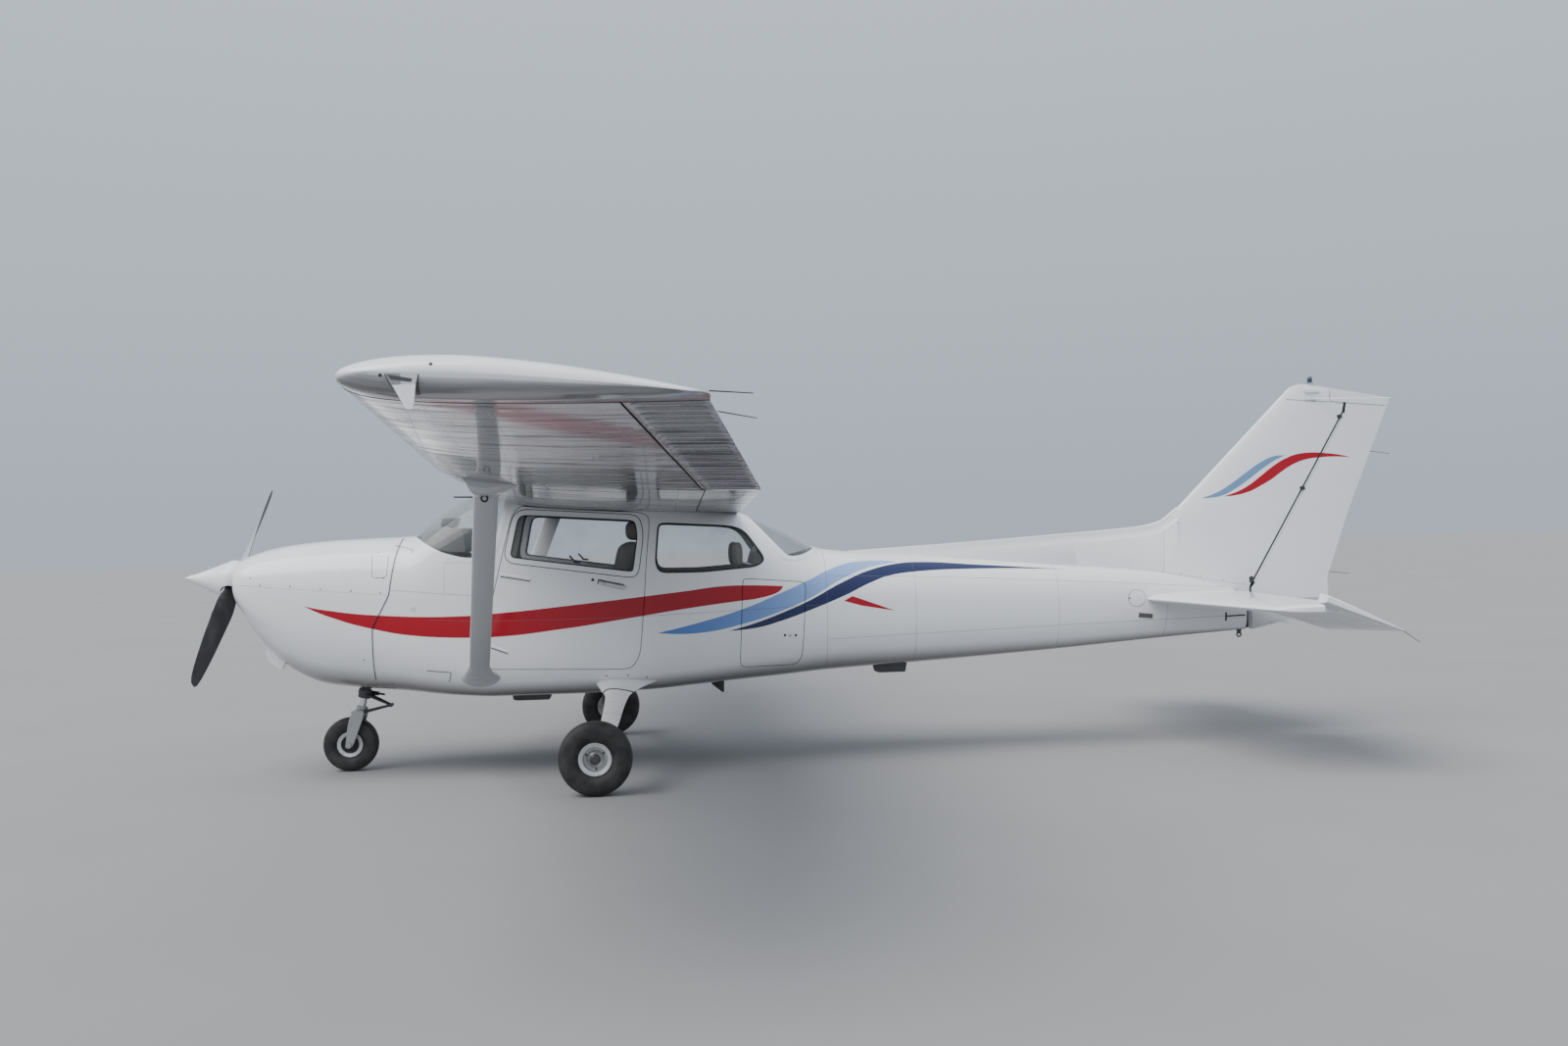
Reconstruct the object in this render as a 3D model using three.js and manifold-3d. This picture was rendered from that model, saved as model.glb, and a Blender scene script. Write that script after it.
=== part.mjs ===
// A four-seat, high-wing light aircraft with fixed tricycle gear, parked on its wheels.
// Millimetres, +Z up, +X aft, +Y to starboard. Stations are measured aft of the firewall and
// heights above the ground; the last lines shift the stations so that the origin is below the
// middle of the aircraft.
import * as THREE from 'three';
import { mergeVertices } from 'three/addons/utils/BufferGeometryUtils.js';
import Module from 'manifold-3d';

const wasm = await Module();
wasm.setup();

// Driving dimensions
const NOSE_TIP = -1240;
const TAIL_TIP = 7046;
const FIT_GAP = 0.3;
const MOVE_GAP = 6;
const COWL_THICKNESS = 8;
const WALL_THICKNESS = 30;
const GLASS_THICKNESS = 6;
const GLASS_INSET = 8;
const SURFACE_SKIN = 4;
const FAR = 9000;
const LUG_THICKNESS = 10;

// Colours
const FINISH = {
  white: { color: 0xe9ecf0, roughness: 0.25, metalness: 0.0 },
  wing: { color: 0xe4e9ef, roughness: 0.15, metalness: 0.0 },
  glass: { color: 0xa9bcc4, roughness: 0.05, metalness: 0.0 },
  black: { color: 0x1b1c1e, roughness: 0.5, metalness: 0.1 },
  tyre: { color: 0x232325, roughness: 0.85, metalness: 0.0 },
  steel: { color: 0x8d9093, roughness: 0.4, metalness: 0.9 },
  alloy: { color: 0xb9bcbf, roughness: 0.35, metalness: 0.9 },
  seat: { color: 0x8b8d90, roughness: 0.7, metalness: 0.0 },
  trim: { color: 0x55585c, roughness: 0.7, metalness: 0.0 },
  beacon: { color: 0x24304a, roughness: 0.2, metalness: 0.0 },
};

const aircraft = new THREE.Group();

// Conversion between geometry and solids
function solidOf(geometry) {
  const plain = geometry.clone();
  plain.deleteAttribute('normal');
  plain.deleteAttribute('uv');
  const merged = mergeVertices(plain, 0.001);
  return new wasm.Manifold(new wasm.Mesh({
    numProp: 3,
    vertProperties: new Float32Array(merged.attributes.position.array),
    triVerts: new Uint32Array(merged.index.array),
  }));
}

function geometryOf(solid) {
  const mesh = solid.getMesh();
  const geometry = new THREE.BufferGeometry();
  geometry.setAttribute('position', new THREE.BufferAttribute(mesh.vertProperties, 3));
  geometry.setIndex(new THREE.BufferAttribute(mesh.triVerts, 1));
  geometry.computeVertexNormals();
  return geometry;
}

function addPiece(name, solid, finish) {
  const mesh = new THREE.Mesh(geometryOf(solid), new THREE.MeshStandardMaterial(FINISH[finish]));
  mesh.name = name;
  aircraft.add(mesh);
}

function joined(solids) {
  return solids.reduce((whole, next) => whole.add(next));
}

function cutBy(solid, cutters) {
  return cutters.reduce((whole, next) => whole.subtract(next), solid);
}

// The largest of the bodies that a cut leaves, without slivers
function mainBody(solid) {
  const bodies = solid.decompose();
  return bodies.reduce((best, next) => (next.volume() > best.volume() ? next : best));
}

function placed(solid, matrix) {
  return solid.transform(matrix.toArray());
}

// A closed body through rings of equal count. Ring point k pairs with point count - 1 - k
// across the section, so each end closes with strips between the pairs.
function loft(rings) {
  const count = rings[0].length;
  const positions = rings.flat().flatMap((point) => [point.x, point.y, point.z]);
  const faces = [];
  const quad = (a, b, c, d) => faces.push(a, b, c, a, c, d);
  for (let ring = 0; ring + 1 < rings.length; ring += 1) {
    for (let k = 0; k < count; k += 1) {
      const here = ring * count + k;
      const next = ring * count + ((k + 1) % count);
      quad(here, next, next + count, here + count);
    }
  }
  const last = (rings.length - 1) * count;
  for (let k = 0; k + 1 < count / 2; k += 1) {
    quad(k, count - 1 - k, count - 2 - k, k + 1);
    quad(last + k, last + k + 1, last + count - 2 - k, last + count - 1 - k);
  }
  const geometry = new THREE.BufferGeometry();
  geometry.setAttribute('position', new THREE.Float32BufferAttribute(positions, 3));
  geometry.setIndex(faces);
  const body = solidOf(geometry);
  if (body.volume() > 0) return body;
  geometry.setIndex(faces.reverse());
  return solidOf(geometry);
}

// Prisms: an outline seen from the side, from above or from the front, given its depth
function outlineShape(points) {
  return new THREE.Shape(points.map(([a, b]) => new THREE.Vector2(a, b)));
}

function extruded(points, depth) {
  return new THREE.ExtrudeGeometry(outlineShape(points), { depth, bevelEnabled: false, curveSegments: 8 });
}

function sidePrism(points, yLow, yHigh) {
  const geometry = extruded(points, yHigh - yLow);
  geometry.rotateX(Math.PI / 2);
  geometry.translate(0, yHigh, 0);
  return solidOf(geometry);
}

function planPrism(points, zLow, zHigh) {
  const geometry = extruded(points, zHigh - zLow);
  geometry.translate(0, 0, zLow);
  return solidOf(geometry);
}

function frontPrism(points, xLow, xHigh) {
  const geometry = extruded(points, xHigh - xLow);
  geometry.applyMatrix4(new THREE.Matrix4().set(0, 0, 1, xLow, 1, 0, 0, 0, 0, 1, 0, 0, 0, 0, 0, 1));
  return solidOf(geometry);
}

function box(xLow, xHigh, yLow, yHigh, zLow, zHigh) {
  const geometry = new THREE.BoxGeometry(xHigh - xLow, yHigh - yLow, zHigh - zLow);
  geometry.translate((xLow + xHigh) / 2, (yLow + yHigh) / 2, (zLow + zHigh) / 2);
  return solidOf(geometry);
}

// A round bar or cone between two points
function rod(from, to, radiusFrom, radiusTo = radiusFrom, segments = 16) {
  const start = new THREE.Vector3(...from);
  const end = new THREE.Vector3(...to);
  const span = new THREE.Vector3().subVectors(end, start);
  const geometry = new THREE.CylinderGeometry(radiusTo, radiusFrom, span.length(), segments);
  const turn = new THREE.Quaternion().setFromUnitVectors(new THREE.Vector3(0, 1, 0), span.normalize());
  geometry.applyQuaternion(turn);
  const middle = new THREE.Vector3().addVectors(start, end).multiplyScalar(0.5);
  geometry.translate(middle.x, middle.y, middle.z);
  return solidOf(geometry);
}

// A body of revolution about a line through a point; the profile is [radius, distance along]
function turned(profile, point, direction, segments = 24) {
  const outline = profile.map(([radius, along]) => new THREE.Vector2(radius, along));
  const geometry = new THREE.LatheGeometry(outline, segments);
  const axis = new THREE.Vector3(...direction).normalize();
  geometry.applyQuaternion(new THREE.Quaternion().setFromUnitVectors(new THREE.Vector3(0, 1, 0), axis));
  geometry.translate(...point);
  const body = solidOf(geometry);
  if (body.volume() > 0) return body;
  const flipped = geometry.toNonIndexed();
  const corners = flipped.attributes.position;
  for (let k = 0; k < corners.count; k += 3) {
    const a = new THREE.Vector3().fromBufferAttribute(corners, k);
    const b = new THREE.Vector3().fromBufferAttribute(corners, k + 1);
    corners.setXYZ(k, b.x, b.y, b.z);
    corners.setXYZ(k + 1, a.x, a.y, a.z);
  }
  return solidOf(flipped);
}

function mirrored(solid) {
  return solid.mirror([0, 1, 0]);
}

// A bar through points, with a ball at each bend
function bentRod(points, radius, segments = 8) {
  const bars = points.slice(1).map((point, k) => rod(points[k], point, radius, radius, segments));
  const balls = points.slice(1, -1).map((point) => (
    solidOf(new THREE.SphereGeometry(radius, segments, segments / 2).translate(...point))));
  return joined([...bars, ...balls]);
}

// A plate across the aircraft, seen from the side, centred on a distance out
function plate(points, y, thickness) {
  return sidePrism(points, y - thickness / 2, y + thickness / 2);
}

// Port and starboard copies: the recipe is written for the starboard side
function addPair(name, solid, finish) {
  addPiece(`${name}_right`, solid, finish);
  addPiece(`${name}_left`, mirrored(solid), finish);
}

// Turn about a line through a point, by degrees
function turnAbout(point, axis, degrees) {
  const angle = THREE.MathUtils.degToRad(degrees);
  const there = new THREE.Matrix4().makeTranslation(...point);
  const back = new THREE.Matrix4().makeTranslation(...point.map((value) => -value));
  const turn = new THREE.Matrix4().makeRotationAxis(new THREE.Vector3(...axis).normalize(), angle);
  return there.multiply(turn).multiply(back);
}

// Fuselage: one table of sections from the cowl's mouth to the tail end
const SECTIONS = [
  // station, half width, bottom, waist, top, lower power, upper power
  [-858, 300, 1120, 1262, 1405, 2.3, 2.3],
  [-825, 350, 1070, 1256, 1426, 2.4, 2.4],
  [-760, 388, 985, 1240, 1452, 2.5, 2.5],
  [-660, 418, 872, 1205, 1481, 2.6, 2.6],
  [-500, 440, 735, 1150, 1507, 2.7, 2.7],
  [-300, 455, 640, 1110, 1525, 2.8, 2.8],
  [0, 475, 586, 1085, 1536, 3.0, 2.9],
  [255, 503, 560, 1075, 1541, 3.4, 3.0],
  [411, 520, 540, 1075, 1661, 3.8, 3.0],
  [574, 532, 524, 1075, 1768, 4.2, 3.1],
  [800, 541, 511, 1075, 1862, 4.6, 3.4],
  [1250, 545, 505, 1080, 1880, 4.6, 3.6],
  [1750, 543, 507, 1080, 1815, 4.4, 3.6],
  [2150, 525, 533, 1070, 1720, 4.0, 3.3],
  [2400, 502, 556, 1060, 1650, 3.6, 3.0],
  [2680, 465, 578, 1050, 1530, 3.2, 2.7],
  [2955, 425, 600, 1035, 1392, 2.9, 2.5],
  [3600, 335, 632, 1005, 1330, 2.6, 2.3],
  [4600, 212, 672, 970, 1238, 2.4, 2.2],
  [5340, 124, 712, 945, 1168, 2.2, 2.1],
  [5940, 52, 748, 905, 1056, 2.1, 2.0],
];
const SECTION_POINTS = 24;

// Slope-limited cubic through one column of the table, so that no stretch overshoots
function sectionAt(station) {
  const lastRow = SECTIONS.length - 2;
  let row = SECTIONS.findIndex((entry) => entry[0] > station) - 1;
  if (row < 0) row = station < SECTIONS[0][0] ? 0 : lastRow;
  row = Math.min(row, lastRow);
  const slope = (k, column) => (SECTIONS[k + 1][column] - SECTIONS[k][column])
    / (SECTIONS[k + 1][0] - SECTIONS[k][0]);
  const tangent = (k, column) => {
    if (k === 0) return slope(0, column);
    if (k === SECTIONS.length - 1) return slope(k - 1, column);
    const before = slope(k - 1, column);
    const after = slope(k, column);
    return before * after > 0 ? (2 * before * after) / (before + after) : 0;
  };
  const length = SECTIONS[row + 1][0] - SECTIONS[row][0];
  const t = THREE.MathUtils.clamp((station - SECTIONS[row][0]) / length, 0, 1);
  return SECTIONS[row].map((value, column) => {
    if (column === 0) return station;
    const start = value;
    const end = SECTIONS[row + 1][column];
    const leave = tangent(row, column) * length;
    const arrive = tangent(row + 1, column) * length;
    return start * (2 * t ** 3 - 3 * t ** 2 + 1) + leave * (t ** 3 - 2 * t ** 2 + t)
      + end * (3 * t ** 2 - 2 * t ** 3) + arrive * (t ** 3 - t ** 2);
  });
}

function power(value, exponent) {
  return Math.sign(value) * Math.abs(value) ** exponent;
}

function sectionRing(station, inset) {
  const [x, halfWidth, bottom, waist, top, lowerPower, upperPower] = sectionAt(station);
  const ring = [];
  for (let k = 0; k < SECTION_POINTS; k += 1) {
    const angle = -Math.PI / 2 + (2 * Math.PI * (k + 0.5)) / SECTION_POINTS;
    const isUpper = Math.sin(angle) > 0;
    const roundness = 2 / (isUpper ? upperPower : lowerPower);
    const reach = (isUpper ? top - waist : waist - bottom) - inset;
    const y = power(Math.cos(angle), roundness) * (halfWidth - inset);
    ring.push(new THREE.Vector3(x, y, waist + power(Math.sin(angle), roundness) * reach));
  }
  return ring;
}

function fuselageBody(stations, inset) {
  return loft(stations.map((station) => sectionRing(station, inset)));
}

const COWL_STATIONS = [-858, -825, -760, -660, -500, -300, -50, 255];
const CABIN_STATIONS = [30, 255, 340, 430, 574, 800, 1250, 1750, 2150, 2400, 2680, 2955];
const INNER_STATIONS = [0, 300, 430, 574, 800, 1250, 1750, 2150, 2400, 2680, 2990];
const TAIL_STATIONS = [2955 + FIT_GAP, 3600, 4100, 4600, 5340, 5640, 5940];

// Wing section: a cambered profile between a leading and a trailing edge
const PROFILE_STEPS = 8;
const THINNEST = 0.2;

// Half the thickness of the profile at a share t of its chord, as a share of the chord
function halfThickness(t, thickness) {
  return 5 * thickness * (0.2969 * Math.sqrt(t) - 0.126 * t - 0.3516 * t ** 2 + 0.2843 * t ** 3 - 0.1036 * t ** 4);
}

function profileRing(lead, trail, y, thickness, camber, grow = 0, steps = PROFILE_STEPS) {
  const chord = new THREE.Vector2(trail[0] - lead[0], trail[1] - lead[1]);
  const length = chord.length();
  const along = chord.clone().normalize();
  const up = new THREE.Vector2(-along.y, along.x);
  const upper = [];
  const lower = [];
  for (let k = 0; k <= steps; k += 1) {
    const t = (1 - Math.cos((Math.PI * k) / steps)) / 2;
    const half = Math.max(THINNEST, halfThickness(t, thickness) * length + grow + 1.5 * t + 0.5);
    const peak = 0.4;
    const mean = t < peak
      ? (camber / peak ** 2) * (2 * peak * t - t ** 2)
      : (camber / (1 - peak) ** 2) * (1 - 2 * peak + 2 * peak * t - t ** 2);
    const distance = -grow + t * (length + 2 * grow);
    const point = (offset) => new THREE.Vector3(
      lead[0] + along.x * distance + up.x * offset,
      y,
      lead[1] + along.y * distance + up.y * offset,
    );
    upper.push(point(mean * length + half));
    lower.push(point(mean * length - half));
  }
  return [...upper, ...lower.reverse()];
}

// Wing: spanwise table of the starboard wing, used on both sides
const WING_ROWS = [
  // y, leading edge station, its height, trailing edge station, its height, thickness ratio
  [0, 782, 1815, 2396, 1648, 0.12],
  [560, 782, 1815, 2396, 1648, 0.12],
  [2550, 783, 1891, 2397, 1724, 0.12],
  [5280, 934, 2002, 2048, 1931, 0.12],
];
const WING_ROOT = 560;
const WING_KINK = 2550;
const WING_TIP_RIB = 5280;
const WING_CAMBER = 0.02;

function wingRow(y) {
  const at = Math.max(1, WING_ROWS.findIndex((row) => row[0] >= y));
  const [low, high] = [WING_ROWS[at - 1], WING_ROWS[at]];
  const t = (y - low[0]) / (high[0] - low[0]);
  return low.map((value, column) => THREE.MathUtils.lerp(value, high[column], t));
}

function wingRing(y, grow = 0) {
  const [, leadX, leadZ, trailX, trailZ, thickness] = wingRow(y);
  return profileRing([leadX, leadZ], [trailX, trailZ], y, thickness, WING_CAMBER, grow);
}

function wingSlab(stations, grow = 0) {
  return loft(stations.map((y) => wingRing(y, grow)));
}

// Cabin openings, each seen from the side as [station, height]
const WINDSCREEN_OUTLINE = [
  [215, 1545], [255, 1541], [331, 1520], [417, 1465], [510, 1421], [640, 1388], [760, 1388],
  [806, 1405], [838, 1470], [905, 1745], [905, 2100], [215, 2100],
];
const REAR_WINDOW_OUTLINE = [
  [2440, 2100], [2440, 1640], [2560, 1500], [2705, 1341], [2800, 1345], [2925, 1395], [2925, 2100],
];
const SIDE_WINDOW_OUTLINE = [
  [1868, 1578], [1845, 1340], [1862, 1284], [1900, 1268], [2150, 1266], [2490, 1290],
  [2540, 1318], [2548, 1352], [2437, 1514], [2380, 1548], [2310, 1560], [1905, 1586],
];
const DOOR_OUTLINE = [
  [784, 700], [792, 688], [1655, 660], [1700, 690], [1735, 760], [1762, 1030], [1790, 1390],
  [1812, 1590], [1800, 1640], [1740, 1659], [1040, 1722], [985, 1710], [945, 1660], [796, 1052],
];
const DOOR_WINDOW_OUTLINE = [
  [1010, 1668], [972, 1640], [918, 1385], [1690, 1272], [1712, 1284], [1745, 1510], [1732, 1600],
  [1700, 1618],
];
const BAGGAGE_DOOR_OUTLINE = [
  [2405, 1200], [2420, 1214], [2800, 1180], [2815, 1160], [2785, 690], [2750, 640], [2400, 640],
  [2378, 665],
];
const FLOOR_HEIGHT = 606;
const FLOOR_SEAM = [[30, 640], [700, FLOOR_HEIGHT], [2400, FLOOR_HEIGHT], [2960, 622]];
const COWL_SEAM = [[209, 2100], [209, 1538], [158, 1172], [49, 965], [41, 300]];
const COWL_SPLIT = [[-1000, 1277], [-735, 1253], [158, 1171], [400, 1149]];

// An outline grown or shrunk about its own middle by a distance, for a gap at its edge
function offsetOutline(points, distance) {
  const middle = points.reduce(([x, z], [a, b]) => [x + a / points.length, z + b / points.length], [0, 0]);
  return points.map(([x, z]) => {
    const reach = Math.hypot(x - middle[0], z - middle[1]);
    const scale = 1 + distance / reach;
    return [middle[0] + (x - middle[0]) * scale, middle[1] + (z - middle[1]) * scale];
  });
}

function acrossPrism(points, distance = 0) {
  return sidePrism(offsetOutline(points, distance), -FAR / 4, FAR / 4);
}

function rightPrism(points, distance = 0) {
  return sidePrism(offsetOutline(points, distance), 150, FAR / 4);
}

const aheadOfCowlSeam = sidePrism([...COWL_SEAM, [-2000, 300], [-2000, 2100]], -FAR / 4, FAR / 4);
const behindCowlSeam = sidePrism(
  [...COWL_SEAM.map(([x, z]) => [x + FIT_GAP + 1, z]), [FAR, 300], [FAR, 2100]],
  -FAR / 4,
  FAR / 4,
);
const aboveCowlSplit = sidePrism(
  [...COWL_SPLIT.map(([x, z]) => [x, z + FIT_GAP]), [400, 2100], [-1000, 2100]],
  -FAR / 4,
  FAR / 4,
);
const belowCowlSplit = sidePrism([...COWL_SPLIT, [400, 300], [-1000, 300]], -FAR / 4, FAR / 4);
const aboveFloorSeam = sidePrism(
  [...FLOOR_SEAM.map(([x, z]) => [x, z + FIT_GAP]), [2960, 2100], [30, 2100]],
  -FAR / 4,
  FAR / 4,
);
const belowFloorSeam = sidePrism([...FLOOR_SEAM, [2960, 300], [30, 300]], -FAR / 4, FAR / 4);

// Roof: the wing's middle bay, level from root to root; the cabin walls end at its underside
const WALL_TOP_GAP = 1;
const DOOR_TOP_GAP = 9;
const roof = wingSlab([0, WING_ROOT]);
const roofBody = joined([roof, mirrored(roof)]);
const roofHollow = loft([-WING_ROOT - 1, WING_ROOT + 1].map((y) => (
  wingRing(WING_ROOT, -SURFACE_SKIN).map((point) => point.setY(y)))));

function aboveUnderside(gap) {
  const underside = wingRing(WING_ROOT, gap).slice(PROFILE_STEPS + 1).map((point) => [point.x, point.z]);
  const [rear, front] = [underside[0], underside.at(-1)];
  return sidePrism([...underside, [front[0], FAR / 4], [rear[0], FAR / 4]], -FAR / 4, FAR / 4);
}

// Cabin
const cabinOuter = fuselageBody(CABIN_STATIONS, 0);
const cabinInner = fuselageBody(INNER_STATIONS, WALL_THICKNESS);
const cabinShell = cabinOuter.subtract(cabinInner);
const glassShell = fuselageBody(CABIN_STATIONS, GLASS_INSET)
  .subtract(fuselageBody(INNER_STATIONS, GLASS_INSET + GLASS_THICKNESS));
const starboardSide = box(-FAR, FAR, FIT_GAP / 2, FAR, -FAR, FAR);

const wallRight = mainBody(cutBy(
  cabinShell.intersect(behindCowlSeam).intersect(aboveFloorSeam).intersect(starboardSide),
  [
    aboveUnderside(WALL_TOP_GAP),
    acrossPrism(WINDSCREEN_OUTLINE),
    acrossPrism(REAR_WINDOW_OUTLINE),
    rightPrism(SIDE_WINDOW_OUTLINE),
    rightPrism(DOOR_OUTLINE, MOVE_GAP + 2),
  ],
));
const baggageOpening = mirrored(rightPrism(BAGGAGE_DOOR_OUTLINE, MOVE_GAP + 2));
addPiece('cabin_side_right', wallRight, 'white');
addPiece('cabin_side_left', mirrored(wallRight).subtract(baggageOpening), 'white');
const BELLY_BOX = { outline: [[870, 560], [880, 440], [905, 432], [1120, 432], [1146, 560]], width: 150 };
const BELLY_AERIAL = { outline: [[2190, 560], [2205, 490], [2275, 433], [2286, 433], [2290, 560]], width: 12 };
const bellyFittings = [BELLY_BOX, BELLY_AERIAL].map(({ outline, width }) => plate(outline, 0, width));
const belly = mainBody(cabinOuter.intersect(belowFloorSeam).intersect(behindCowlSeam));
addPiece('cabin_floor', joined([belly, ...bellyFittings]), 'white');
addPiece('roof', roofBody.subtract(roofHollow), 'wing');

const BULKHEAD_INSET = WALL_THICKNESS + 1;
const bulkhead = fuselageBody([2925, 2952], BULKHEAD_INSET).intersect(aboveFloorSeam);
addPiece('rear_bulkhead', bulkhead, 'trim');

// Doors, with a window of their own, and the baggage door
const doorRight = cutBy(cabinShell.intersect(rightPrism(DOOR_OUTLINE)), [
  aboveUnderside(DOOR_TOP_GAP),
  rightPrism(DOOR_WINDOW_OUTLINE),
]);
const HANDLE = { front: 1476, rear: 1660, bottom: 1182, top: 1212, inner: 525, outer: 566 };
const handle = box(HANDLE.front, HANDLE.rear, HANDLE.inner, HANDLE.outer, HANDLE.bottom, HANDLE.top);
addPair('door', mainBody(doorRight).add(handle), 'white');
const windowGap = -FIT_GAP * 2;
addPair('door_window', mainBody(glassShell.intersect(rightPrism(DOOR_WINDOW_OUTLINE, windowGap))), 'glass');
addPair('side_window', mainBody(glassShell.intersect(rightPrism(SIDE_WINDOW_OUTLINE, windowGap))), 'glass');
const baggageDoor = cabinShell.intersect(mirrored(rightPrism(BAGGAGE_DOOR_OUTLINE)));
addPiece('baggage_door', mainBody(baggageDoor), 'white');

const roofClearHalf = wingSlab([0, WING_ROOT + FIT_GAP], FIT_GAP * 2);
const roofClear = roofClearHalf.add(mirrored(roofClearHalf));
const windscreen = glassShell.intersect(acrossPrism(WINDSCREEN_OUTLINE, windowGap)).subtract(roofClear);
addPiece('windscreen', mainBody(windscreen), 'glass');
addPiece('rear_window', mainBody(glassShell.intersect(acrossPrism(REAR_WINDOW_OUTLINE, windowGap))), 'glass');

// Engine cowling: a thin shell whose front wall holds two cooling inlets and a carburettor inlet
const THRUST_TILT = 5;
const tilt = THREE.MathUtils.degToRad(THRUST_TILT);
const FORWARD = [-Math.cos(tilt), 0, Math.sin(tilt)];
const PROP_HUB = [-918, 0, 1276];

function alongThrust(distance) {
  return PROP_HUB.map((value, k) => value + FORWARD[k] * distance);
}

const COOLING_INLET = [
  [170, 1250], [190, 1225], [300, 1225], [325, 1255], [318, 1320], [285, 1355], [185, 1355], [168, 1335],
];
const INTAKE = [
  [-110, 925], [110, 925], [120, 935], [120, 995], [110, 1005], [-110, 1005], [-120, 995], [-120, 935],
];
const COWL_FRONT = COWL_STATIONS[0];
const FRONT_WALL = 10;
const COWL_INNER_END = 300;
const INLET_REACH = [COWL_FRONT - 90, COWL_FRONT + 160];
const INTAKE_REACH = [COWL_FRONT - 90, COWL_FRONT + 260];
const SPINNER_OPENING = { ahead: 60, behind: -150, radius: 75 };
const STRUT_OPENING = [-250, 100, -140, 140, 300, 800];
const EXHAUST = { top: [-470, 150, 1070], bottom: [-432, 150, 612], radius: 28, room: 12, reach: 400 };
const cowlOuter = fuselageBody(COWL_STATIONS, 0);
const cowlInner = fuselageBody(
  [COWL_FRONT + FRONT_WALL, ...COWL_STATIONS.slice(1, -1), COWL_INNER_END],
  COWL_THICKNESS,
);
const coolingInlet = frontPrism(COOLING_INLET, ...INLET_REACH);
const cowl = cutBy(cowlOuter.subtract(cowlInner).intersect(aheadOfCowlSeam), [
  coolingInlet,
  mirrored(coolingInlet),
  frontPrism(INTAKE, ...INTAKE_REACH),
  rod(alongThrust(SPINNER_OPENING.ahead), alongThrust(SPINNER_OPENING.behind), SPINNER_OPENING.radius),
  box(...STRUT_OPENING),
  rod(EXHAUST.top, [EXHAUST.bottom[0], EXHAUST.bottom[1], EXHAUST.reach], EXHAUST.radius + EXHAUST.room),
]);
// Air scoop below the port inlet
const SCOOP = { outline: [[-660, 930], [-672, 850], [-655, 800], [-575, 740], [-540, 800]], y: -200, width: 70 };
const scoop = plate(SCOOP.outline, SCOOP.y, SCOOP.width).subtract(cowlInner);
const cowlLower = mainBody(cowl.intersect(belowCowlSplit)).add(scoop);
addPiece('cowl_upper', mainBody(cowl.intersect(aboveCowlSplit)), 'white');
addPiece('cowl_lower', cowlLower, 'white');

// Firewall and engine
const FIREWALL_FRONT = 52;
const FIREWALL_REAR = 60;
const firewall = fuselageBody([FIREWALL_FRONT, FIREWALL_REAR], BULKHEAD_INSET).intersect(aboveFloorSeam);
addPiece('firewall', firewall, 'alloy');
const aheadOfFirewall = box(-FAR, FIREWALL_FRONT - FIT_GAP, -FAR, FAR, -FAR, FAR);
const ENGINE = { front: -730, rear: -60, halfWidth: 300, bottom: 1045, top: 1370 };
const CYLINDERS = { front: -590, rear: -150, halfWidth: 390, bottom: 1085, top: 1310 };
const CRANK_CASE = { front: -115, rear: -250, radius: 90 };
const MOUNT_TUBES = [
  // distance out and height at the engine, distance out and height at the firewall
  [220, 1120, 280, 1060],
  [220, 1300, 280, 1340],
];
const MOUNT_TUBE_RADIUS = 14;
const MOUNT_TUBE_SEAT = 20;
const engineBlock = joined([ENGINE, CYLINDERS].map(({ front, rear, halfWidth, bottom, top }) => (
  box(front, rear, -halfWidth, halfWidth, bottom, top))));
const engineMounts = [-1, 1].flatMap((side) => MOUNT_TUBES.map(([innerY, innerZ, outerY, outerZ]) => rod(
  [ENGINE.rear - MOUNT_TUBE_SEAT, side * innerY, innerZ],
  [FIREWALL_FRONT + MOUNT_TUBE_SEAT, side * outerY, outerZ],
  MOUNT_TUBE_RADIUS,
)));
const crankCase = rod(alongThrust(CRANK_CASE.front), alongThrust(CRANK_CASE.rear), CRANK_CASE.radius);
addPiece('engine', joined([engineBlock, crankCase, ...engineMounts]).intersect(aheadOfFirewall), 'alloy');
const belowEngine = box(-FAR, FAR, -FAR, FAR, 0, ENGINE.bottom - FIT_GAP);
addPiece('exhaust', rod(EXHAUST.top, EXHAUST.bottom, EXHAUST.radius).intersect(belowEngine), 'steel');

// Propeller: two blades on a hub, turned to where they stand in the photo's view
const BLADE_ANGLE = 50.8;
const BLADE_ROWS = [
  // radius, chord, thickness, pitch in degrees
  [40, 92, 62, 52],
  [140, 118, 34, 43],
  [300, 156, 22, 31],
  [550, 152, 15, 22],
  [800, 124, 10, 17],
  [925, 84, 6, 15],
  [955, 46, 4, 15],
];
const up = new THREE.Vector3(Math.sin(tilt), 0, Math.cos(tilt));
const forward = new THREE.Vector3(...FORWARD);
const starboard = new THREE.Vector3(0, 1, 0);
const bladeLean = THREE.MathUtils.degToRad(BLADE_ANGLE);

function bladeMatrix(lean) {
  const radial = up.clone().multiplyScalar(Math.cos(lean)).addScaledVector(starboard, Math.sin(lean));
  const tangent = new THREE.Vector3().crossVectors(radial, forward);
  return new THREE.Matrix4().makeBasis(tangent, radial, forward).setPosition(...PROP_HUB);
}

function blade(lean) {
  const rings = BLADE_ROWS.map(([radius, chord, thickness, pitch]) => {
    const turn = new THREE.Matrix4().makeRotationY(THREE.MathUtils.degToRad(pitch));
    return profileRing([-chord / 2, 0], [chord / 2, 0], radius, thickness / chord, 0, 0, 6)
      .map((point) => point.applyMatrix4(turn));
  });
  return placed(loft(rings), bladeMatrix(lean));
}

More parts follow.
